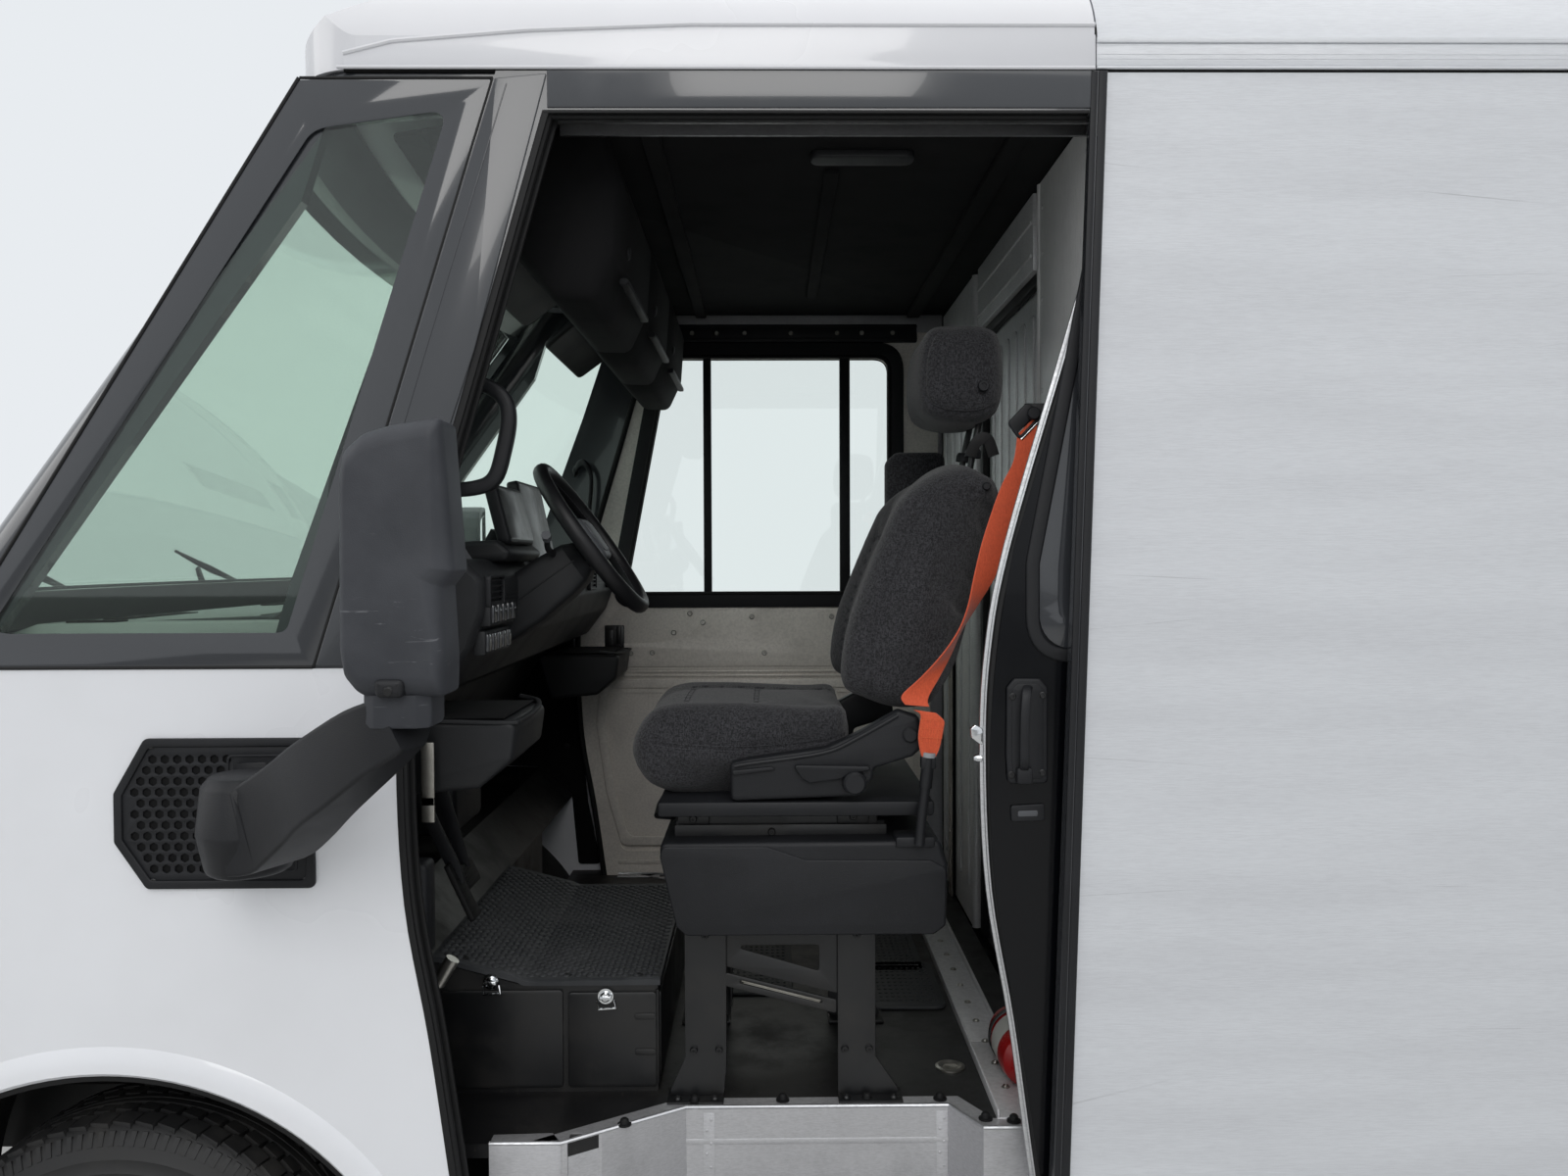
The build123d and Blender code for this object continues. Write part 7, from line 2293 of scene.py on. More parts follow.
def makeWells():
    c = wellSettings
    line = [Vector((x, y)) for x, y in c["edge"][1:]]
    parts = []
    # rolled lip along the top fold, seams and the raised kick strip on the riser
    seam = [(p.x, p.y + 0.00105, c["floor"] - 0.062) for p in line[1:3]]
    parts.append(sweep(seam, boxSection(0.006, 0.012, 0.002), (0, 0, 1)))
    for x in (1.12, 0.682):
        parts.append(brick((x - 0.011, c["back"] - 0.001, 0.405), (x + 0.011, c["back"] + 0.004, 0.698),
                           0.0015))
    parts.append(brick((0.7, c["back"] - 0.001, 0.43), (1.1, c["back"] + 0.003, 0.455), 0.0012))
    wing = [(1.165, 0.7995), (1.374, 0.9365), (1.382, 0.941), (1.5, 0.941)]
    parts.append(sweep([(x, y + 0.0015, 0.5535) for x, y in wing], boxSection(0.003, 0.307, 0.001),
                       (0, 0, 1)))
    parts.append(slab([[(1.374, 0.938), (1.382, 0.9435), (1.5, 0.9435), (1.5, 0.905), (1.395, 0.9)]],
                      levelPlane(0.7052), (0, 0.0028), 0.001))
    dress("wellSeams", mirrored(joined(parts)), "stepAluminium")
    fold = [(p.x, p.y + 0.0012, c["floor"] + 0.0035) for p in [Vector((1.5, 0.9395))] + line]
    dress("wellFold", mirrored(tube(fold, 0.0042, 8)), "edgeAluminium")
    pins = [(1.27, 0.873), (1.148, 0.78), (0.981, 0.776), (0.821, 0.776), (0.682, 0.776), (0.61, 0.862),
            (0.56, 0.872)]
    places = [((x, hand * y, c["floor"] + 0.0035), (0, 0, 1), (1, 0, 0)) for x, y in pins
              for hand in (1, -1)]
    pin = turned([(0, 0.013), (0.005, 0.013), (0.008, 0.01), (0.009, 0.004), (0.013, 0.003), (0.013, 0)],
                 12)
    dressSpots("wellPins", places, pin, "gasket")
    places = []
    for x in (1.124, 1.116, 0.686, 0.678):
        for k in range(6):
            places.append(((x, c["back"] + 0.0042, 0.44 + 0.045 * k + (0.02 if x in (1.116, 0.678) else 0)),
                           (0, 1, 0), (1, 0, 0)))
    places += [((p[0][0], -p[0][1], p[0][2]), (0, -1, 0), (1, 0, 0)) for p in places]
    dressSpots("wellRivets", places, domeHead(0.0033, 0.0013, 8), "stepAluminium")
    # raised grips on the tread: rows of small rings
    grip = turned([(0.004, 0.0), (0.0045, 0.0016), (0.0075, 0.0016), (0.008, 0.0)], 8)
    places = []
    for row in range(5):
        for k in range(21):
            x = 0.7 + 0.022 * k + (0.011 if row % 2 else 0)
            places += [((x, hand * (0.822 + 0.021 * row), c["tread"]), (0, 0, 1), (1, 0, 0))
                       for hand in (1, -1)]
    dressSpots("treadGrips", places, grip, "stepAluminium")
    nose = sweep([(1.33, 0.94, 0.4005), (0.56, 0.94, 0.4005)], boxSection(0.02, 0.01, 0.003), (0, 0, 1))
    dress("treadNosing", mirrored(nose), "gasket")


def makeFloorGoods():
    floor = 0.7052
    parts = []
    for low, high, near, far in ((0.6, 0.8, 0.3, -0.02), (0.62, 0.84, 0.05, -0.42),
            (0.95, 1.17, 0.2, -0.6)):
        pad = rounded(square(low, far, high, near), 0.03)
        parts.append(slab([pad], levelPlane(floor), (0, 0.008), 0.003))
    dress("floorMats", joined(parts), "matRubber")
    ribs = [((low + 0.02 + 0.014 * k, y, floor + 0.008), (0, 0, 1), (1, 0, 0))
            for low, near, far, count in ((0.6, 0.3, -0.02, 12), (0.62, 0.05, -0.42, 13),
                    (0.95, 0.2, -0.6, 13)) for k in range(count)
                    for y in [far + 0.03 + 0.025 * n for n in range(int((near - far - 0.04) / 0.025))]]
    bead = turned([(0, 0.0022), (0.003, 0.0018), (0.0045, 0)], 6)
    dressSpots("floorMatBeads", ribs, bead, "matRubber")
    parts = []
    for x, y in ((0.64, 0.62), (1.2, -0.55), (0.64, -0.62)):
        parts.append(lathe([(0.03, 0), (0.03, 0.003), (0.024, 0.005), (0.02, 0.002), (0.018, 0.001),
                            (0, 0.001)], (x, y, floor), (0, 0, 1), 24))
        loop = [(x - 0.014, y, floor + 0.002), (x - 0.012, y, floor + 0.006), (x + 0.012, y, floor + 0.006),
                (x + 0.014, y, floor + 0.002)]
        parts.append(tube(loop, 0.0022, 6))
    dress("tieDownRings", joined(parts), "zincSteel")
    # dusty channel between the bulkhead's foot and the well
    parts = [brick((0.508, -0.46, floor), (0.588, 0.5, floor + 0.006), 0.0015)]
    for x in (0.508, 0.583):
        parts.append(brick((x, -0.46, floor + 0.004), (x + 0.005, 0.86, floor + 0.02), 0.0015))
    parts.append(brick((0.508, 0.45, floor), (0.588, 0.86, floor + 0.005), 0.0015))
    dress("floorChannel", joined(parts), "wallAluminium")
    places = [((0.548, -0.42 + 0.115 * k, floor + 0.0055), (0, 0, 1), (1, 0, 0)) for k in range(11)]
    dressSpots("channelBolts", places, screwHead(0.008, 0.004), "zincSteel")


def makeFootLinings():
    # dark moulded lining inside each front side panel, with its fixing plugs
    front = [(1.65, 1.55), (1.652, 1.395), (1.606, 0.93), (1.566, 0.725), (1.64, 0.725), (1.66, 0.95),
             (1.77, 1.05), (2.19, 1.07), (2.425, 1.19), (2.45, 1.52), (2.45, 1.55)]
    sheet = slab([rounded(front, 0.012)], sidePlane(0), (-1.012, -1.004), 0.003)
    dress("footLinings", mirrored(sheet), "headliner")
    places = [((x, hand * 1.004, z), (0, -hand, 0), (1, 0, 0)) for hand in (1, -1)
              for x, z in ((1.685, 1.5), (1.69, 1.3), (1.675, 1.12), (1.9, 1.1), (2.15, 1.11), (2.38, 1.25),
                           (2.4, 1.48), (2.05, 1.5))]
    dressSpots("liningPlugs", places, domeHead(0.01, 0.004), "gasket")


makeMat()
makePlatform()
makeWells()
makeFloorGoods()
makeFootLinings()
print("floor and steps dressed")


# Tyres with cut treads, and what shows of the wheels and brakes
wheelSettings = {"radius": 0.387, "half": 0.1225, "centreY": 0.887, "axles": {"front": 2.12, "rear": -1.84},
                 "blocks": 62}
blockRows = [(-0.074, 0.036, 0.0, 1.22), (-0.035, 0.026, 0.5, 1.12), (0.035, 0.026, 0.0, 1.12),
             (0.074, 0.036, 0.5, 1.22)]


def tyreProfile():
    # (radius, height across) from the outer bead over the sidewall, its ribs and the tread floor
    side = [(0.2035, 0.0965), (0.21, 0.104), (0.222, 0.1085), (0.225, 0.1115), (0.229, 0.1115),
            (0.232, 0.11), (0.248, 0.1165), (0.251, 0.1185), (0.254, 0.1172), (0.276, 0.1208),
            (0.279, 0.1222), (0.2815, 0.1212), (0.305, 0.121), (0.308, 0.1222), (0.311, 0.1204),
            (0.326, 0.1178), (0.33, 0.1188), (0.3335, 0.116), (0.349, 0.1108), (0.358, 0.106),
            (0.3655, 0.101), (0.372, 0.0945), (0.376, 0.0905)]
    tread = [(0.3775, 0.088), (0.3785, 0.055)]
    middle = [(0.3785, 0.0165), (0.3865, 0.0155), (0.387, 0.013), (0.387, 0.002), (0.3845, 0.0012)]
    outer = side + tread + middle
    return outer + [(r, -y) for r, y in reversed(outer)]


def makeTyre(end, hand):
    c = wheelSettings
    body = f"wheel_{end}_{'left' if hand > 0 else 'right'}"
    x, y, z = c["axles"][end], hand * c["centreY"], c["radius"]
    carcass = lathe(tyreProfile(), (x, y, z), (0, 1, 0), 96)
    block = bmesh.new()
    bmesh.ops.create_cube(block, size=1)
    for v in block.verts:
        if v.co.z > 0:
            v.co.x *= 0.9
            v.co.y *= 0.94
    mesh = bpy.data.meshes.new("block")
    block.to_mesh(mesh)
    block.free()
    parts = [carcass]
    for offset, width, phase, long in blockRows:
        places = []
        for k in range(c["blocks"]):
            turn = 2 * math.pi * (k + phase) / c["blocks"]
            out = Vector((math.cos(turn), 0, math.sin(turn)))
            reach = 0.3815 if abs(offset) < 0.05 else 0.3795
            lean = 0.0 if abs(offset) < 0.05 else 0.13 * (1 if offset > 0 else -1)
            facing = (out + Vector((0, lean, 0))).normalized()
            ahead = Vector((-out.z, 0, out.x)) + Vector((0, 0.22 * (1 if offset * (k % 2 - 0.5) > 0 else 1),
                    0))
            places.append((Vector((x, y + offset, z)) + out * reach, facing, ahead))
        shape = mesh.copy()
        shape.transform(Matrix.Diagonal((0.0305 * long, width, 0.0105, 1)))
        parts.append(spots(places, shape, "tyreRubber"))
    # short shoulder lugs that run down onto the sidewall
    places = []
    for k in range(c["blocks"] * 2):
        turn = math.pi * (k + 0.25) / c["blocks"]
        out = Vector((math.cos(turn), 0, math.sin(turn)))
        for side in (1, -1):
            facing = (out * 0.55 + Vector((0, side, 0))).normalized()
            places.append((Vector((x, y + side * 0.104, z)) + out * 0.36, facing,
                           Vector((-out.z, 0, out.x))))
    shape = mesh.copy()
    shape.transform(Matrix.Diagonal((0.0098, 0.026, 0.0045, 1)))
    parts.append(spots(places, shape, "tyreRubber"))
    side = "left" if hand > 0 else "right"
    dress(f"tyre{end.title()}{side.title()}", joined(parts), "tyreRubber", body,
          stands=(f"tyre_{end}_{side}",), crease=28)
    return body, (x, y, z), side


def makeWheel(end, hand):
    body, (x, y, z), side = makeTyre(end, hand)
    name = f"{end}{side.title()}"
    out = Vector((0, hand, 0))
    centre = Vector((x, y, z))
    # rolled rim flange inside and outside, hub cap over the bearing, wheel nuts and the valve
    flange = [(0.192, 0.0955), (0.203, 0.096), (0.2085, 0.0985), (0.211, 0.103), (0.2105, 0.1065),
              (0.2065, 0.1075), (0.204, 0.104), (0.2015, 0.0995), (0.192, 0.099)]
    parts = [lathe(flange, centre, (0, 1, 0), 72), lathe(flange, centre, (0, -1, 0), 72)]
    cap = [(0.0, 0.0985), (0.026, 0.0985), (0.03, 0.0965), (0.032, 0.0915), (0.036, 0.0905), (0.06, 0.09),
           (0.0645, 0.0875), (0.066, 0.079), (0.069, 0.07)]
    parts.append(lathe(cap, centre + out * 0.0125, out, 40))
    dress(name + "RimEdges", joined(parts), "wheelSteel", body)
    nut = joined([turned([(0.0, 0.024), (0.006, 0.023), (0.0095, 0.02), (0.0105, 0.004)], 6),
                  turned([(0.0105, 0.005), (0.0145, 0.003), (0.0145, 0.0)], 16)])
    places = []
    for k in range(8):
        turn = 2 * math.pi * (k + 0.5) / 8
        spoke = Vector((math.cos(turn), 0, math.sin(turn)))
        places.append((centre + spoke * 0.0925 + out * 0.0775, out, spoke))
    dressSpots(name + "Nuts", places, nut, "zincSteel", body, slot="wheel_steel")
    lean = Vector((0.157, 0, 0.057))
    valve = [centre + lean * 1.06 + out * 0.048, centre + lean * 1.05 + out * 0.062,
             centre + lean * 1.04 + out * 0.082]
    weight = [centre + Vector((math.cos(a), 0, math.sin(a))) * 0.2005 + out * 0.1035
              for a in (2.4, 2.47, 2.54, 2.61)]
    parts = [tube(valve, 0.0042, 10), sweep(weight, boxSection(0.01, 0.008, 0.002), (0, 1, 0))]
    dress(name + "Valve", joined(parts), "gasket", body, "wheel_steel")
    disc = [(0.068, -0.052), (0.162, -0.052), (0.164, -0.05), (0.164, -0.03), (0.162, -0.028),
            (0.104, -0.028), (0.1, -0.018), (0.068, -0.018)]
    plate = lathe(disc, centre, out, 64)
    vents = [(centre + Vector((math.cos(a), 0, math.sin(a))) * 0.1638 - out * 0.04,
              (math.cos(a), 0, math.sin(a)), tuple(out)) for a in [2 * math.pi * k / 48 for k in range(48)]]
    slot = brick((-0.005, -0.0025, 0), (0.005, 0.0025, 0.0012))
    dress(name + "BrakeDisc", joined([plate, spots(vents, slot, "zincSteel")]), "zincSteel", body,
          "wheel_steel")
    # calliper on the carrier that doesn't turn
    holder = f"knuckle_{side}" if end == "front" else "root"
    block = rounded([(-0.07, 0.11), (0.07, 0.11), (0.078, 0.15), (0.055, 0.188), (-0.055, 0.188),
                     (-0.078, 0.15)], 0.014)
    meshes = [slab([block], tiltedPlane(centre - out * 0.04, (0, 0, 1), (-1, 0, 0)), (-0.036, 0.036), 0.008,
                   3)]
    hose = flowing([(x - 0.165, y - hand * 0.075, z + 0.02), (x - 0.19, y - hand * 0.11, z + 0.09),
                    (x - 0.15, y - hand * 0.17, z + 0.15), (x - 0.08, y - hand * 0.2, z + 0.16)], 6)
    meshes.append(tube(hose, 0.0055, 8))
    dress(name + "Calliper", joined(meshes), "caseSteel", holder, "frame_black")


for end in ("front", "rear"):
    for hand in (1, -1):
        makeWheel(end, hand)


# Springs, dampers, plates under the floor and the liners inside the arches
def makeUnderbody():
    parts = []
    for x, y in ((2.155, 0.6), (-1.86, 0.6)):
        coil = [(x + 0.055 * math.cos(t), y + 0.055 * math.sin(t), 0.46 + 0.0118 * t)
                for t in [2 * math.pi * k / 16 for k in range(16 * 5 + 1)]]
        parts.append(tube(coil, 0.0075, 8))
    for x, y in ((2.02, 0.56), (-1.7, 0.66)):
        damper = lathe([(0, 0.4), (0.01, 0.4), (0.01, 0.26), (0.026, 0.255), (0.028, 0.25), (0.028, 0.03),
                        (0.022, 0.0), (0, 0)], (x, y, 0.36), (0.0, -0.12, 1), 20)
        parts.append(damper)
    dress("springsAndDampers", mirrored(joined(parts)), "blackSteel")
    # ribbed lid of the battery tray, its bolts and cables
    low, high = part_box("battery_pack")
    lid = []
    for k in range(9):
        x = low.x + 0.18 + k * (high.x - low.x - 0.36) / 8
        lid.append(brick((x - 0.03, -0.66, low.z - 0.004), (x + 0.03, 0.66, low.z + 0.004), 0.003))
    dress("batteryRibs", joined(lid), "caseSteel")
    places = [((low.x + 0.045 + 0.115 * k, hand * 0.722, low.z), (0, 0, -1), (1, 0, 0)) for k in range(23)
              for hand in (1, -1)]
    dressSpots("batteryBolts", places, screwHead(0.01, 0.006, 8), "zincSteel", slot="battery_case")
    cables = []
    for shift in (0.0, 0.028):
        cables.append(tube(flowing([(1.47, 0.16 + shift, 0.4), (1.62, 0.16 + shift, 0.47),
                (1.8, 0.16 + shift, 0.55), (1.95, 0.16 + shift, 0.55), (2.02, 0.16 + shift, 0.52)], 5),
                0.01, 10))
    dress("batteryCables", joined(cables), "gasket", slot="frame_black")
    # stiffening ribs on the arch liners
    ribs = []
    for x, radius in ((2.12, 0.54), (-1.84, 0.49)):
        for k in range(7):
            turn = math.radians(24 + 22 * k)
            out = Vector((math.cos(turn), 0, math.sin(turn)))
            foot = Vector((x, 0.72, 0.387)) + out * (radius - 0.001)
            ahead = Vector((-out.z, 0, out.x)) * 0.014
            ribs.append(loft([[foot - ahead, foot + ahead, foot + ahead * 0.5 - out * 0.005,
                    foot - ahead * 0.5 - out * 0.005], [p + Vector((0, 0.26, 0))
                            for p in (foot - ahead, foot + ahead, foot + ahead * 0.5 - out * 0.005,
                                    foot - ahead * 0.5 - out * 0.005)]]))
    dress("linerRibs", mirrored(joined(ribs)), "archFelt")


makeUnderbody()
print("wheels and underbody dressed")


# Front end: lamps behind lenses, cowl louvres, wipers, hood edges, bumper and roof markers
def wrapped(meet, outline, lift, thick):
    # a plate that follows the body's skin; meet gives the skin's depth at a place on the outline's plane
    middle = sum((Vector(p) for p in outline), Vector((0, 0))) / len(outline)
    dense = []
    for k, corner in enumerate(outline):
        here, ahead = Vector(corner), Vector(outline[(k + 1) % len(outline)])
        steps = max(1, int((ahead - here).length / 0.05))
        dense += [here + (ahead - here) * n / steps for n in range(steps)]
    rings = []
    for shrink, sink in ((1.0, 0.6), (0.985, 0.12), (0.93, 0), (0.75, 0), (0.5, 0), (0.25, 0)):
        drop = sink * thick
        ring = []
        for p in dense:
            u, v = middle + (p - middle) * shrink
            ring.append(meet(u, v, lift - drop))
        rings.append(ring)
    first = [meet(p.x, p.y, lift - thick) for p in dense]
    return loft([first] + rings + [[meet(middle.x, middle.y, lift)] * len(dense)], capped=False)


def onNose(skin):
    def place(y, z, lift):
        return (skin.front(y, z, 2.95) + lift, y, z)
    return place


def slotOutline(middle, width, height, steps=10):
    # an upright slot with round ends, (y, z)
    r = width / 2
    rise = height / 2 - r
    top = [(middle[0] + r * math.cos(math.pi * k / steps),
            middle[1] + rise + r * math.sin(math.pi * k / steps)) for k in range(steps + 1)]
    return top + [(2 * middle[0] - y, 2 * middle[1] - z) for y, z in top]


headlampSettings = {"y": 0.8, "z": 1.005, "width": 0.15, "height": 0.25}


def makeHeadlamps():
    c = headlampSettings
    skin = Skin("headlamps")
    nose = Skin("headlamps", "nose_panel")
    lensRing = slotOutline((c["y"], c["z"]), c["width"] - 0.004, c["height"] - 0.004)
    lens = wrapped(onNose(skin), lensRing, 0.0, 0.0045)
    dress("headlampLens", mirrored(lens), "clearGlass", slot="lamp_clear", stands=("headlamps",))
    back = skin.front(c["y"], c["z"], 2.95)
    bowl = []
    for depth, grow in ((-0.006, 1.0), (-0.05, 0.94), (-0.085, 0.8)):
        ring = slotOutline((c["y"], c["z"]), (c["width"] - 0.008) * grow, (c["height"] - 0.008) * grow)
        bowl.append([(skin.front(y, z, back) * (1 if depth > -0.01 else 0)
                      + (0 if depth > -0.01 else back - 0.01) + depth, y, z) for y, z in ring])
    bowlMesh = loft(bowl[::-1], capped=False)
    floor = loft([bowl[2], [(back - 0.094, c["y"], c["z"])] * len(bowl[2])], capped=False)
    # the bowls are near-black: painted shade inside the lamps
    dress("headlampBowls", mirrored(joined([bowlMesh, floor])), "shadeBlack", slot="lamp_clear")
    parts = []
    for z in (c["z"] - 0.062, c["z"], c["z"] + 0.062):
        x = back - 0.04
        parts.append(lathe([(0.02, 0.012), (0.0245, 0.014), (0.0265, 0.01), (0.0265, -0.044),
                            (0.02, -0.044)], (x, c["y"], z), (1, 0, 0), 28))
    dress("headlampBarrels", mirrored(joined(parts)), "chromeSteel", slot="lamp_clear")
    parts = []
    for z in (c["z"] - 0.062, c["z"], c["z"] + 0.062):
        parts.append(lathe([(0.0, 0.019), (0.008, 0.0175), (0.015, 0.0125), (0.0205, 0.004), (0.0205, 0.0)],
                           (back - 0.04, c["y"], z), (1, 0, 0), 28))
    guide = slotOutline((c["y"], c["z"]), c["width"] - 0.026, c["height"] - 0.026, 12)
    parts.append(sweep([(skin.front(y, z, back) - 0.018, y, z) for y, z in guide], circleSection(0.0045, 8),
                       (1, 0, 0), True))
    dress("headlampLights", mirrored(joined(parts)), "lampLens")
    rim = slotOutline((c["y"], c["z"]), c["width"] + 0.008, c["height"] + 0.008, 12)
    path = [(nose.front(y, z, back) + 0.0005, y, z) for y, z in rim]
    dress("headlampRims", mirrored(sweep(path, circleSection(0.0035, 8), (1, 0, 0), True)), "gasket")


def makeNose():
    nose = Skin("nose_panel", "hood", "nose_trims", "headlamps")
    place = onNose(nose)
    # blank mask between the lamps, with rows of fine level fins in its lower part
    mask = rounded(square(-0.618, 0.908, 0.618, 1.102), 0.055, 6)
    rim = wrapped(place, mask, 0.004, 0.006)
    dress("maskPanel", rim, "blackGloss")
    fins = []
    for row in range(4):
        z = 0.93 + 0.016 * row
        line = [place(-0.54 + 0.06 * k, z, 0.005) for k in range(19)]
        fins.append(sweep(line, boxSection(0.01, 0.005, 0.002), (0, 0, 1)))
    dress("maskFins", joined(fins), "blackGrain")
    # rubber along the hood's lower shut line
    foot = [place(y, 1.287, -0.004) for y in [-0.645 + 0.0645 * k for k in range(21)]]
    dress("hoodSeal", tube(foot, 0.0042, 6), "gasket")
    jets = []
    for y in (-0.3, 0.3):
        x = 2.7
        jets.append(lathe([(0, 0.006), (0.006, 0.006), (0.011, 0.002), (0.011, 0)],
                          (x, y, nose.above(x, y, 1.5)), (0.1, 0, 1), 14))
    dress("hoodJets", joined(jets), "blackGrain", "hood")
    # louvres of the cowl
    fins = []
    for k in range(74):
        y = -0.876 + 0.024 * k
        low = [(x, y, nose.above(x, y, 1.55) + 0.001) for x in (2.525, 2.56, 2.595, 2.63)]
        fins.append(sweep(low, boxSection(0.006, 0.007, 0.002), (0, 0, 1)))
    dress("cowlLouvres", joined(fins), "blackGrain")
    # seam where the nose meets the side panels
    seam = [Vector((2.48, 1.04, z)) for z in [0.895 + 0.0655 * k for k in range(11)]]
    dress("noseSeams", mirrored(tube(seam, 0.0022, 6)), "gasket")


def makeWipers():
    glass = Skin("cab_glass", "cab_frame", "cab_roof")

    def onPane(y, z, lift):
        x = glass.front(y, z, 2.4)
        return Vector((x + lift, y, z + lift * 0.5))
    arms, blades = [], []
    for foot, tip in ((0.36, 0.92), (-0.5, 0.06)):
        base = Vector((glass.front(foot, 1.6, 2.5) + 0.045, foot, 1.567))
        arms.append(lathe([(0, 0.026), (0.014, 0.026), (0.02, 0.018), (0.022, -0.012)], base, (0.5, 0, 1),
                          20))
        mid = onPane(foot + (tip - foot) * 0.42, 1.66, 0.03)
        end = onPane(foot + (tip - foot) * 0.6, 1.705, 0.026)
        arms.append(sweep([base + Vector((0, 0, 0.018)),
                           base + Vector((-0.004, (tip - foot) * 0.12, 0.045)), mid, end],
                           boxSection(0.022, 0.01, 0.003), (0.8, 0, 0.6), False, lambda t: 1.1 - 0.5 * t))
        line = [onPane(foot + (tip - foot) * t, 1.655 + 0.1 * t, 0.011)
                for t in [0.06 + 0.094 * k for k in range(11)]]
        blades.append(sweep(line, boxSection(0.012, 0.01, 0.003), (0.8, 0, 0.6), False,
                            lambda t: 0.55 + 1.8 * min(t, 1 - t)))
        blades.append(sweep([p - Vector((0.006, 0, 0.003)) for p in line], boxSection(0.003, 0.009, 0.001),
                            (0.8, 0, 0.6)))
    dress("wiperArms", joined(arms), "blackGrain")
    dress("wiperBlades", joined(blades), "gasket")
    # black printed border and the rubber round the windshield
    corners = rounded(square(-0.938, 1.575, 0.938, 2.514), 0.03, 4)
    inner = rounded(square(-0.845, 1.685, 0.845, 2.425), 0.05, 4)

    def dense(ring):
        return [Vector(a).lerp(Vector(b), n / 8) for a, b in zip(ring, ring[1:] + ring[:1])
                for n in range(8)]

    rows = []
    for a, b in zip(dense(corners), dense(inner)):
        rows.append([tuple(onPane(*a.lerp(b, t), 0.0012)) for t in (0, 0.35, 0.7, 1.0)])
    count = len(rows)
    verts = [p for row in rows for p in row]
    faces = [(i * 4 + k, i * 4 + k + 1, (i + 1) % count * 4 + k + 1, (i + 1) % count * 4 + k)
             for i in range(count) for k in range(3)]
    mesh = bpy.data.meshes.new("border")
    mesh.from_pydata(verts, [], faces)
    dress("windshieldBorder", mesh, "fritBlack")
    # pale upstand of the dash cover, just inside the pane's lower edge; its paleness is partly its own grey,
    # partly painted light
    section = ((1.588, 0.01), (1.684, 0.01), (1.684, 0.013), (1.588, 0.013))
    upstand = [[tuple(onPane(-0.86 + 1.72 * k / 24, z, -depth)) for z, depth in section] for k in range(25)]
    dress("dashUpstand", loft(upstand), "coverGreyLit")
    edge = [tuple(onPane(*p, 0.002)) for p in dense(corners)]
    dress("windshieldRubber", sweep(edge, circleSection(0.005, 6), (1, 0, 0.5), True), "gasket")


def makeBumper():
    skin = Skin("bumper_front")
    place = onNose(skin)
    # mouth with a mesh of level bars, side pockets with round lamps, a blank cover for the towing eye
    mouth = rounded([(-0.5, 0.365), (0.5, 0.365), (0.56, 0.49), (-0.56, 0.49)], 0.03, 5)
    # the mouth behind the bars is a near-black sheet: painted shade in the opening
    dress("bumperMouth", wrapped(place, mouth, 0.0015, 0.003), "shadeBlack")
    rim = [place(y, z, 0.002) for y, z in offsetOutline(mouth, 0.004)]
    bars = [sweep(rim, boxSection(0.01, 0.01, 0.003), (1, 0, 0), True)]
    for row in range(4):
        z = 0.388 + 0.026 * row
        wide = 0.5 + 0.06 * (z - 0.365) / 0.125
        line = [place(-wide + 2 * wide * k / 20, z, 0.003) for k in range(21)]
        bars.append(sweep(line, boxSection(0.008, 0.007, 0.002), (0, 0, 1)))
    dress("bumperGrille", joined(bars), "blackGrain")
    lamp = (skin.front(0.74, 0.47, 3.0), 0.74, 0.47)
    lamps = [lathe([(0, 0.004), (0.02, 0.003), (0.034, -0.004), (0.034, -0.012)], lamp, (1, 0.25, 0), 32)]
    rims = [lathe([(0.034, 0.002), (0.038, 0.005), (0.046, 0.004), (0.05, -0.006), (0.05, -0.02)], lamp,
                  (1, 0.25, 0), 32)]
    for y, z in ((0.3, 0.56), (0.66, 0.57)):
        x = skin.front(y, z, 3.0)
        rims.append(lathe([(0, 0.003), (0.009, 0.003), (0.0105, 0.001), (0.0125, 0.001), (0.0125, -0.004)],
                          (x, y, z), (1, 0, 0), 20))
    dress("bumperLamps", mirrored(joined(lamps)), "lampLens")
    dress("bumperLampRims", mirrored(joined(rims)), "blackGrain")
    crease = []
    for z in (0.52, 0.602):
        line = [place(-0.86 + 0.0717 * k, z, 0.0005) for k in range(25)]
        crease.append(sweep(line, circleSection(0.003, 6), (0, 0, 1)))
    dress("bumperCreases", joined(crease), "blackGrain")


def makeMarkers():
    # five small amber lamps on the brow, as wide vans carry
    roof = Skin("cab_roof")
    pods, caps = [], []
    for y in (-0.84, -0.17, 0.0, 0.17, 0.84):
        z = 2.705 if abs(y) < 0.5 else 2.64
        x = roof.front(y, z, 1.8)
        pods.append(slab([rounded(square(y - 0.052, z - 0.018, y + 0.052, z + 0.018), 0.015, 5)],
                         crossPlane(x), (-0.02, 0.006), 0.003, 3))
        caps.append(slab([rounded(square(y - 0.044, z - 0.012, y + 0.044, z + 0.012), 0.011, 5)],
                         crossPlane(x), (0.0, 0.012), 0.005, 4))
    dress("markerPods", joined(pods), "blackGrain")
    dress("markerLenses", joined(caps), "amberLens")


makeHeadlamps()
makeNose()
makeWipers()
makeBumper()
makeMarkers()
print("front end dressed")


# Rear end: roll-up slats, handle, lamps behind lenses, step and plate holder, and the sides' low trim
rearSettings = {"door": -3.058, "frame": -3.07, "half": 0.86, "low": 0.705, "high": 2.43, "slats": 8}


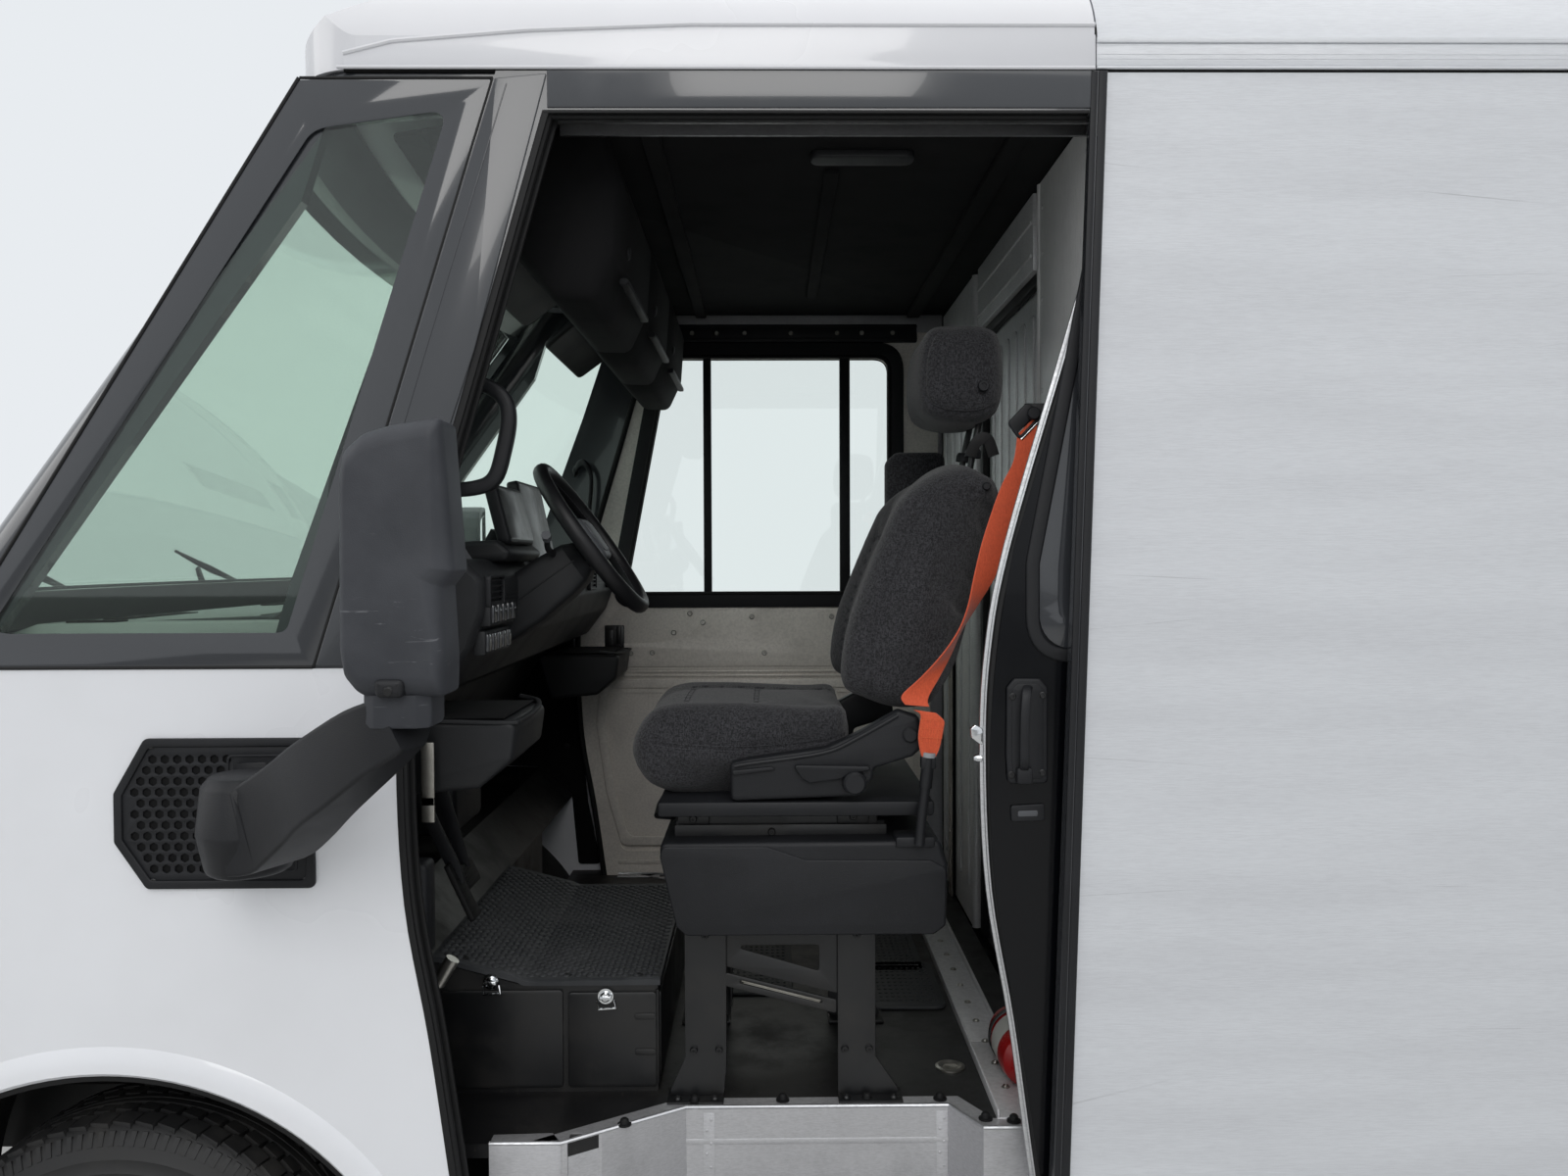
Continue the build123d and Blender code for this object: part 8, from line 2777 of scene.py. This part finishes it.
def makeRearDoor():
    c = rearSettings
    rise = (c["high"] - c["low"]) / c["slats"]
    half = c["half"] - 0.012
    slats = []
    for row in range(c["slats"]):
        z = c["low"] + row * rise
        face = [(0.0, z + 0.007), (-0.006, z + 0.012), (-0.0065, z + rise - 0.012), (0.0, z + rise - 0.007),
                (0.0095, z + rise - 0.006), (0.0095, z + 0.006)]
        slats.append(loft([[(c["door"] + 0.0045 + x, y, h) for x, h in face] for y in (-half, half)]))
        for step in (0.33, 0.67):
            mid = z + rise * step
            slats.append(sweep([(c["door"] - 0.0018, -half + 0.03, mid),
                    (c["door"] - 0.0018, half - 0.03, mid)], boxSection(0.006, 0.0025, 0.001), (0, 0, 1)))
    dress("rearSlats", joined(slats), "whitePaint", slot="cargo_white", stands=("rear_door",))
    gapShade = brick((c["door"] + 0.012, -c["half"] + 0.002, c["low"] + 0.002),
                  # a dark sheet behind the slats, where the door's inside is white: painted shade in the
                  # gaps between slats
                  (c["door"] + 0.02, c["half"] - 0.002, c["high"] - 0.002), 0.001)
    dress("rearDoorBack", gapShade, "gasket", slot="cargo_white")
    places = []
    for row in range(c["slats"]):
        for y in (-0.8, -0.4, 0.0, 0.4, 0.8):
            for z in (0.03, rise - 0.03):
                places.append(((c["door"] - 0.002, y, c["low"] + row * rise + z), (-1, 0, 0), (0, 1, 0)))
    dressSpots("rearDoorRivets", places, domeHead(0.0055, 0.0022, 8), "zincSteel")
    seal = [(c["door"] + 0.002, -half, c["low"] + 0.006), (c["door"] + 0.002, half, c["low"] + 0.006)]
    frame = [(c["frame"] + 0.002, -c["half"] + 0.004, c["low"] + 0.01),
             (c["frame"] + 0.002, -c["half"] + 0.004, c["high"] - 0.004),
             (c["frame"] + 0.002, c["half"] - 0.004, c["high"] - 0.004),
             (c["frame"] + 0.002, c["half"] - 0.004, c["low"] + 0.01)]
    parts = [sweep(seal, boxSection(0.012, 0.016, 0.003), (0, 0, 1)),
             sweep(frame, boxSection(0.012, 0.012, 0.004), (-1, 0, 0))]
    dress("rearDoorSeal", joined(parts), "gasket")
    # latch plate with its lever, and a grab handle on the post
    x = c["door"] - 0.002
    plate = rounded(square(-0.11, 0.9, 0.11, 1.01), 0.02, 5)
    parts = [slab([plate], crossPlane(x), (-0.005, 0.002), 0.0015),
             sweep([(x - 0.004, -0.07, 0.955), (x - 0.009, -0.045, 0.955), (x - 0.009, 0.065, 0.955)],
                   boxSection(0.024, 0.009, 0.004), (0, 0, 1)),
                   lathe([(0, 0.013), (0.016, 0.013), (0.019, 0.009), (0.02, 0.0)],
                         (x - 0.002, -0.07, 0.955), (-1, 0, 0), 24)]
    dress("rearLatch", joined(parts), "zincSteel")
    bar = flowing([(c["frame"] - 0.0, 0.905, 1.55), (c["frame"] - 0.034, 0.905, 1.585),
                   (c["frame"] - 0.036, 0.905, 1.72), (c["frame"] - 0.034, 0.905, 1.855),
                   (c["frame"] - 0.0, 0.905, 1.89)], 5)
    feet = [lathe([(0, 0.006), (0.018, 0.006), (0.022, 0.0)], (c["frame"], 0.905, z), (-1, 0, 0), 20)
            for z in (1.55, 1.89)]
    dress("rearHandles", mirrored(joined([tube(bar, 0.011, 12)] + feet)), "blackGrain")


def makeTailLamps():
    c = rearSettings
    x = c["frame"] - 0.0155
    parts, clear, rims = [], [], []
    for z, tall in ((1.355, 0.205), (1.145, 0.205)):
        ring = slotOutline((0.95, z), 0.084, tall - 0.006, 8)
        target = parts if z > 1.2 else clear
        target.append(slab([ring], crossPlane(x), (-0.0, 0.015), 0.006, 4))
    marker = rounded(square(0.807, 2.504, 0.953, 2.536), 0.015, 5)
    parts.append(slab([marker], crossPlane(x), (0, 0.015), 0.005, 4))
    for y in (0.0, 0.075):
        pod = rounded(square(y - 0.032, 2.5, y + 0.032, 2.524), 0.011, 5)
        parts.append(slab([pod], crossPlane(c["frame"] - 0.009), (0, 0.009), 0.004, 3))
    dress("tailLenses", mirrored(joined(parts)), "redLens", stands=("tail_lamps",))
    dress("reverseLenses", mirrored(joined(clear)), "lampLens")
    ring = slotOutline((0.95, 1.25), 0.098, 0.428, 10)
    inner = slotOutline((0.95, 1.25), 0.086, 0.416, 10)
    rims.append(slab([ring, inner], crossPlane(c["frame"]), (-0.012, 0.001), 0.003, 3))
    rims.append(slab([slotOutline((0.95, 1.25), 0.094, 0.424, 10)], crossPlane(c["frame"]), (-0.003, 0.001),
                     0.001))
    dress("tailLampRims", mirrored(joined(rims)), "blackGrain")


def makeRearBumper():
    x, high = -3.1, 0.56
    parts = []
    for k in range(26):
        y = -0.93 + 0.0744 * k
        parts.append(brick((x + 0.002, y - 0.026, high - 0.001), (x + 0.028, y + 0.026, high + 0.0035),
                           0.0015))
    for z in (0.462, 0.528):
        parts.append(sweep([(x - 0.0005, -0.95, z), (x - 0.0005, 0.95, z)], circleSection(0.004, 6),
                           (0, 0, 1)))
    dress("bumperTreads", joined(parts), "gasket")
    holder = rounded(square(-0.165, 0.445, 0.165, 0.545), 0.008)
    dress("plateHolder", slab([holder], crossPlane(x), (-0.006, 0.002), 0.002), "blackGrain")
    blank = rounded(square(-0.152, 0.4525, 0.152, 0.5375), 0.006)
    dress("plateBlank", slab([blank], crossPlane(x), (-0.0085, -0.0055), 0.0008), "whiteLabel",
          slot="bare_aluminium")
    caps, reds = [], []
    for y in (0.3, 0.74):
        caps.append(lathe([(0, 0.003), (0.009, 0.003), (0.0105, 0.001), (0.0125, 0.001), (0.0125, -0.003)],
                          (x, y, 0.495), (-1, 0, 0), 20))
    reds.append(slab([rounded(square(0.82, 0.48, 0.93, 0.51), 0.006)], crossPlane(x), (-0.005, 0.001),
                     0.002))
    dress("bumperSensors", mirrored(joined(caps)), "blackGrain")
    dress("rearReflectors", mirrored(joined(reds)), "redLens")
    camera = [brick((-3.082, -0.035, 2.462), (-3.066, 0.035, 2.488), 0.006, 3),
              lathe([(0, 0.004), (0.006, 0.003), (0.008, 0.0)], (-3.082, 0, 2.472), (-1, 0, -0.4), 16)]
    dress("rearCamera", joined(camera), "blackGrain")


def makeSideTrim():
    ribs, places = [], []
    # sill trim under the cargo side, with its clips, and amber and red side lamps
    for low, high in ((-1.325, 0.43), (-3.0, -2.36)):
        ribs.append(brick((low, sideY - 0.004, 0.362), (high, sideY + 0.0025, 0.408), 0.002))
        ribs.append(sweep([(low, sideY + 0.003, 0.412), (high, sideY + 0.003, 0.412)],
                          circleSection(0.0035, 6), (0, 0, 1)))
        step = low + 0.07
        while step < high - 0.03:
            places.append(((step, sideY + 0.0025, 0.385), (0, 1, 0), (1, 0, 0)))
            step += 0.165
    dress("sillTrim", mirrored(joined(ribs)), "gasket")
    places += [((p[0][0], -p[0][1], p[0][2]), (0, -1, 0), (1, 0, 0)) for p in places]
    dressSpots("sillClips", places, domeHead(0.007, 0.003, 10), "gasket")
    pods, ambers, reds = [], [], []
    z = 0.52
    for x, caps in ((-0.62, ambers), (-2.9, reds)):
        ring = rounded(square(x - 0.05, z - 0.018, x + 0.05, z + 0.018), 0.014, 5)
        pods.append(slab([ring], sidePlane(sideY), (-0.004, 0.002), 0.0015))
        cap = rounded(square(x - 0.043, z - 0.012, x + 0.043, z + 0.012), 0.01, 5)
        caps.append(slab([cap], sidePlane(sideY), (-0.0085, -0.002), 0.003, 3))
    dress("sideLampPods", mirrored(joined(pods)), "blackGrain")
    dress("sideLampsAmber", mirrored(joined(ambers)), "amberLens")
    dress("sideLampsRed", mirrored(joined(reds)), "redLens")
    # corner edging of the cargo box and rivets of its frame
    edge = [(-3.0205, sideY + 0.001, 0.48), (-3.0205, sideY + 0.001, 2.545)]
    parts = [sweep(edge, boxSection(0.007, 0.004, 0.0015), (0, 1, 0))]
    dress("cornerEdging", mirrored(joined(parts)), "edgeAluminium")
    posts = [((-3.0705, hand * y, 0.6 + 0.105 * k), (-1, 0, 0), (0, 1, 0)) for hand in (1, -1)
             for y in (0.882, 1.018) for k in range(18)]
    dressSpots("frameRivets", posts, domeHead(0.0055, 0.0022, 8), "zincSteel")
    # mud flaps behind both axles
    flaps = []
    for x, low in ((1.5, 0.15), (-2.36, 0.16)):
        flaps.append(brick((x - 0.003, 0.765, low), (x + 0.003, 1.005, low + 0.222), 0.002))
        for k in range(5):
            flaps.append(brick((x + 0.002, 0.8 + 0.038 * k, low + 0.02),
                    (x + 0.006, 0.808 + 0.038 * k, low + 0.2), 0.001))
    dress("mudFlaps", mirrored(joined(flaps)), "gasket")
    # charge flap on the right side of the nose, shut flush
    flap = rounded(square(2.512, 0.985, 2.668, 1.155), 0.03, 6)
    nose = Skin("nose_panel")
    seam = [(x, -nose.side(x, z, 1.04) + 0.0008, z) for x, z in flap]
    dress("chargeFlapSeam", sweep(seam, circleSection(0.0022, 6), (0, 1, 0), True), "gasket")


def makeRoofTrim():
    roof = Skin("cargo_roof", "cab_roof")
    bands = []
    bandPlaces = [-2.7 + 0.6 * k for k in range(5)]
    for x in bandPlaces:
        rows = []
        for y in [-0.8 + 0.08 * n for n in range(21)]:
            z = roof.above(x, y, 2.75)
            rows.append((x, y, z + 0.001))
        bands.append(sweep(rows, boxSection(0.034, 0.005, 0.002), (0, 0, 1)))
    dress("roofBands", joined(bands), "cargoWhite")
    places = []
    for x in bandPlaces:
        for n in range(17):
            y = -0.76 + 0.095 * n
            for side in (-0.012, 0.012):
                places.append(((x + side, y, roof.above(x, y, 2.75) + 0.0035), (0, 0, 1), (1, 0, 0)))
    dressSpots("roofRivets", places, domeHead(0.0045, 0.0018, 8), "bareAluminium")
    z = roof.above(0.94, 0, 2.78)
    pad = lathe([(0, 0.016), (0.03, 0.014), (0.04, 0.006), (0.042, -0.004)], (0.94, 0, z - 0.002),
                (0, 0, 1), 28)
    dress("aerialPuck", pad, "gasket")


makeRearDoor()
makeTailLamps()
makeRearBumper()
makeSideTrim()
makeRoofTrim()
print("rear end and sides dressed")
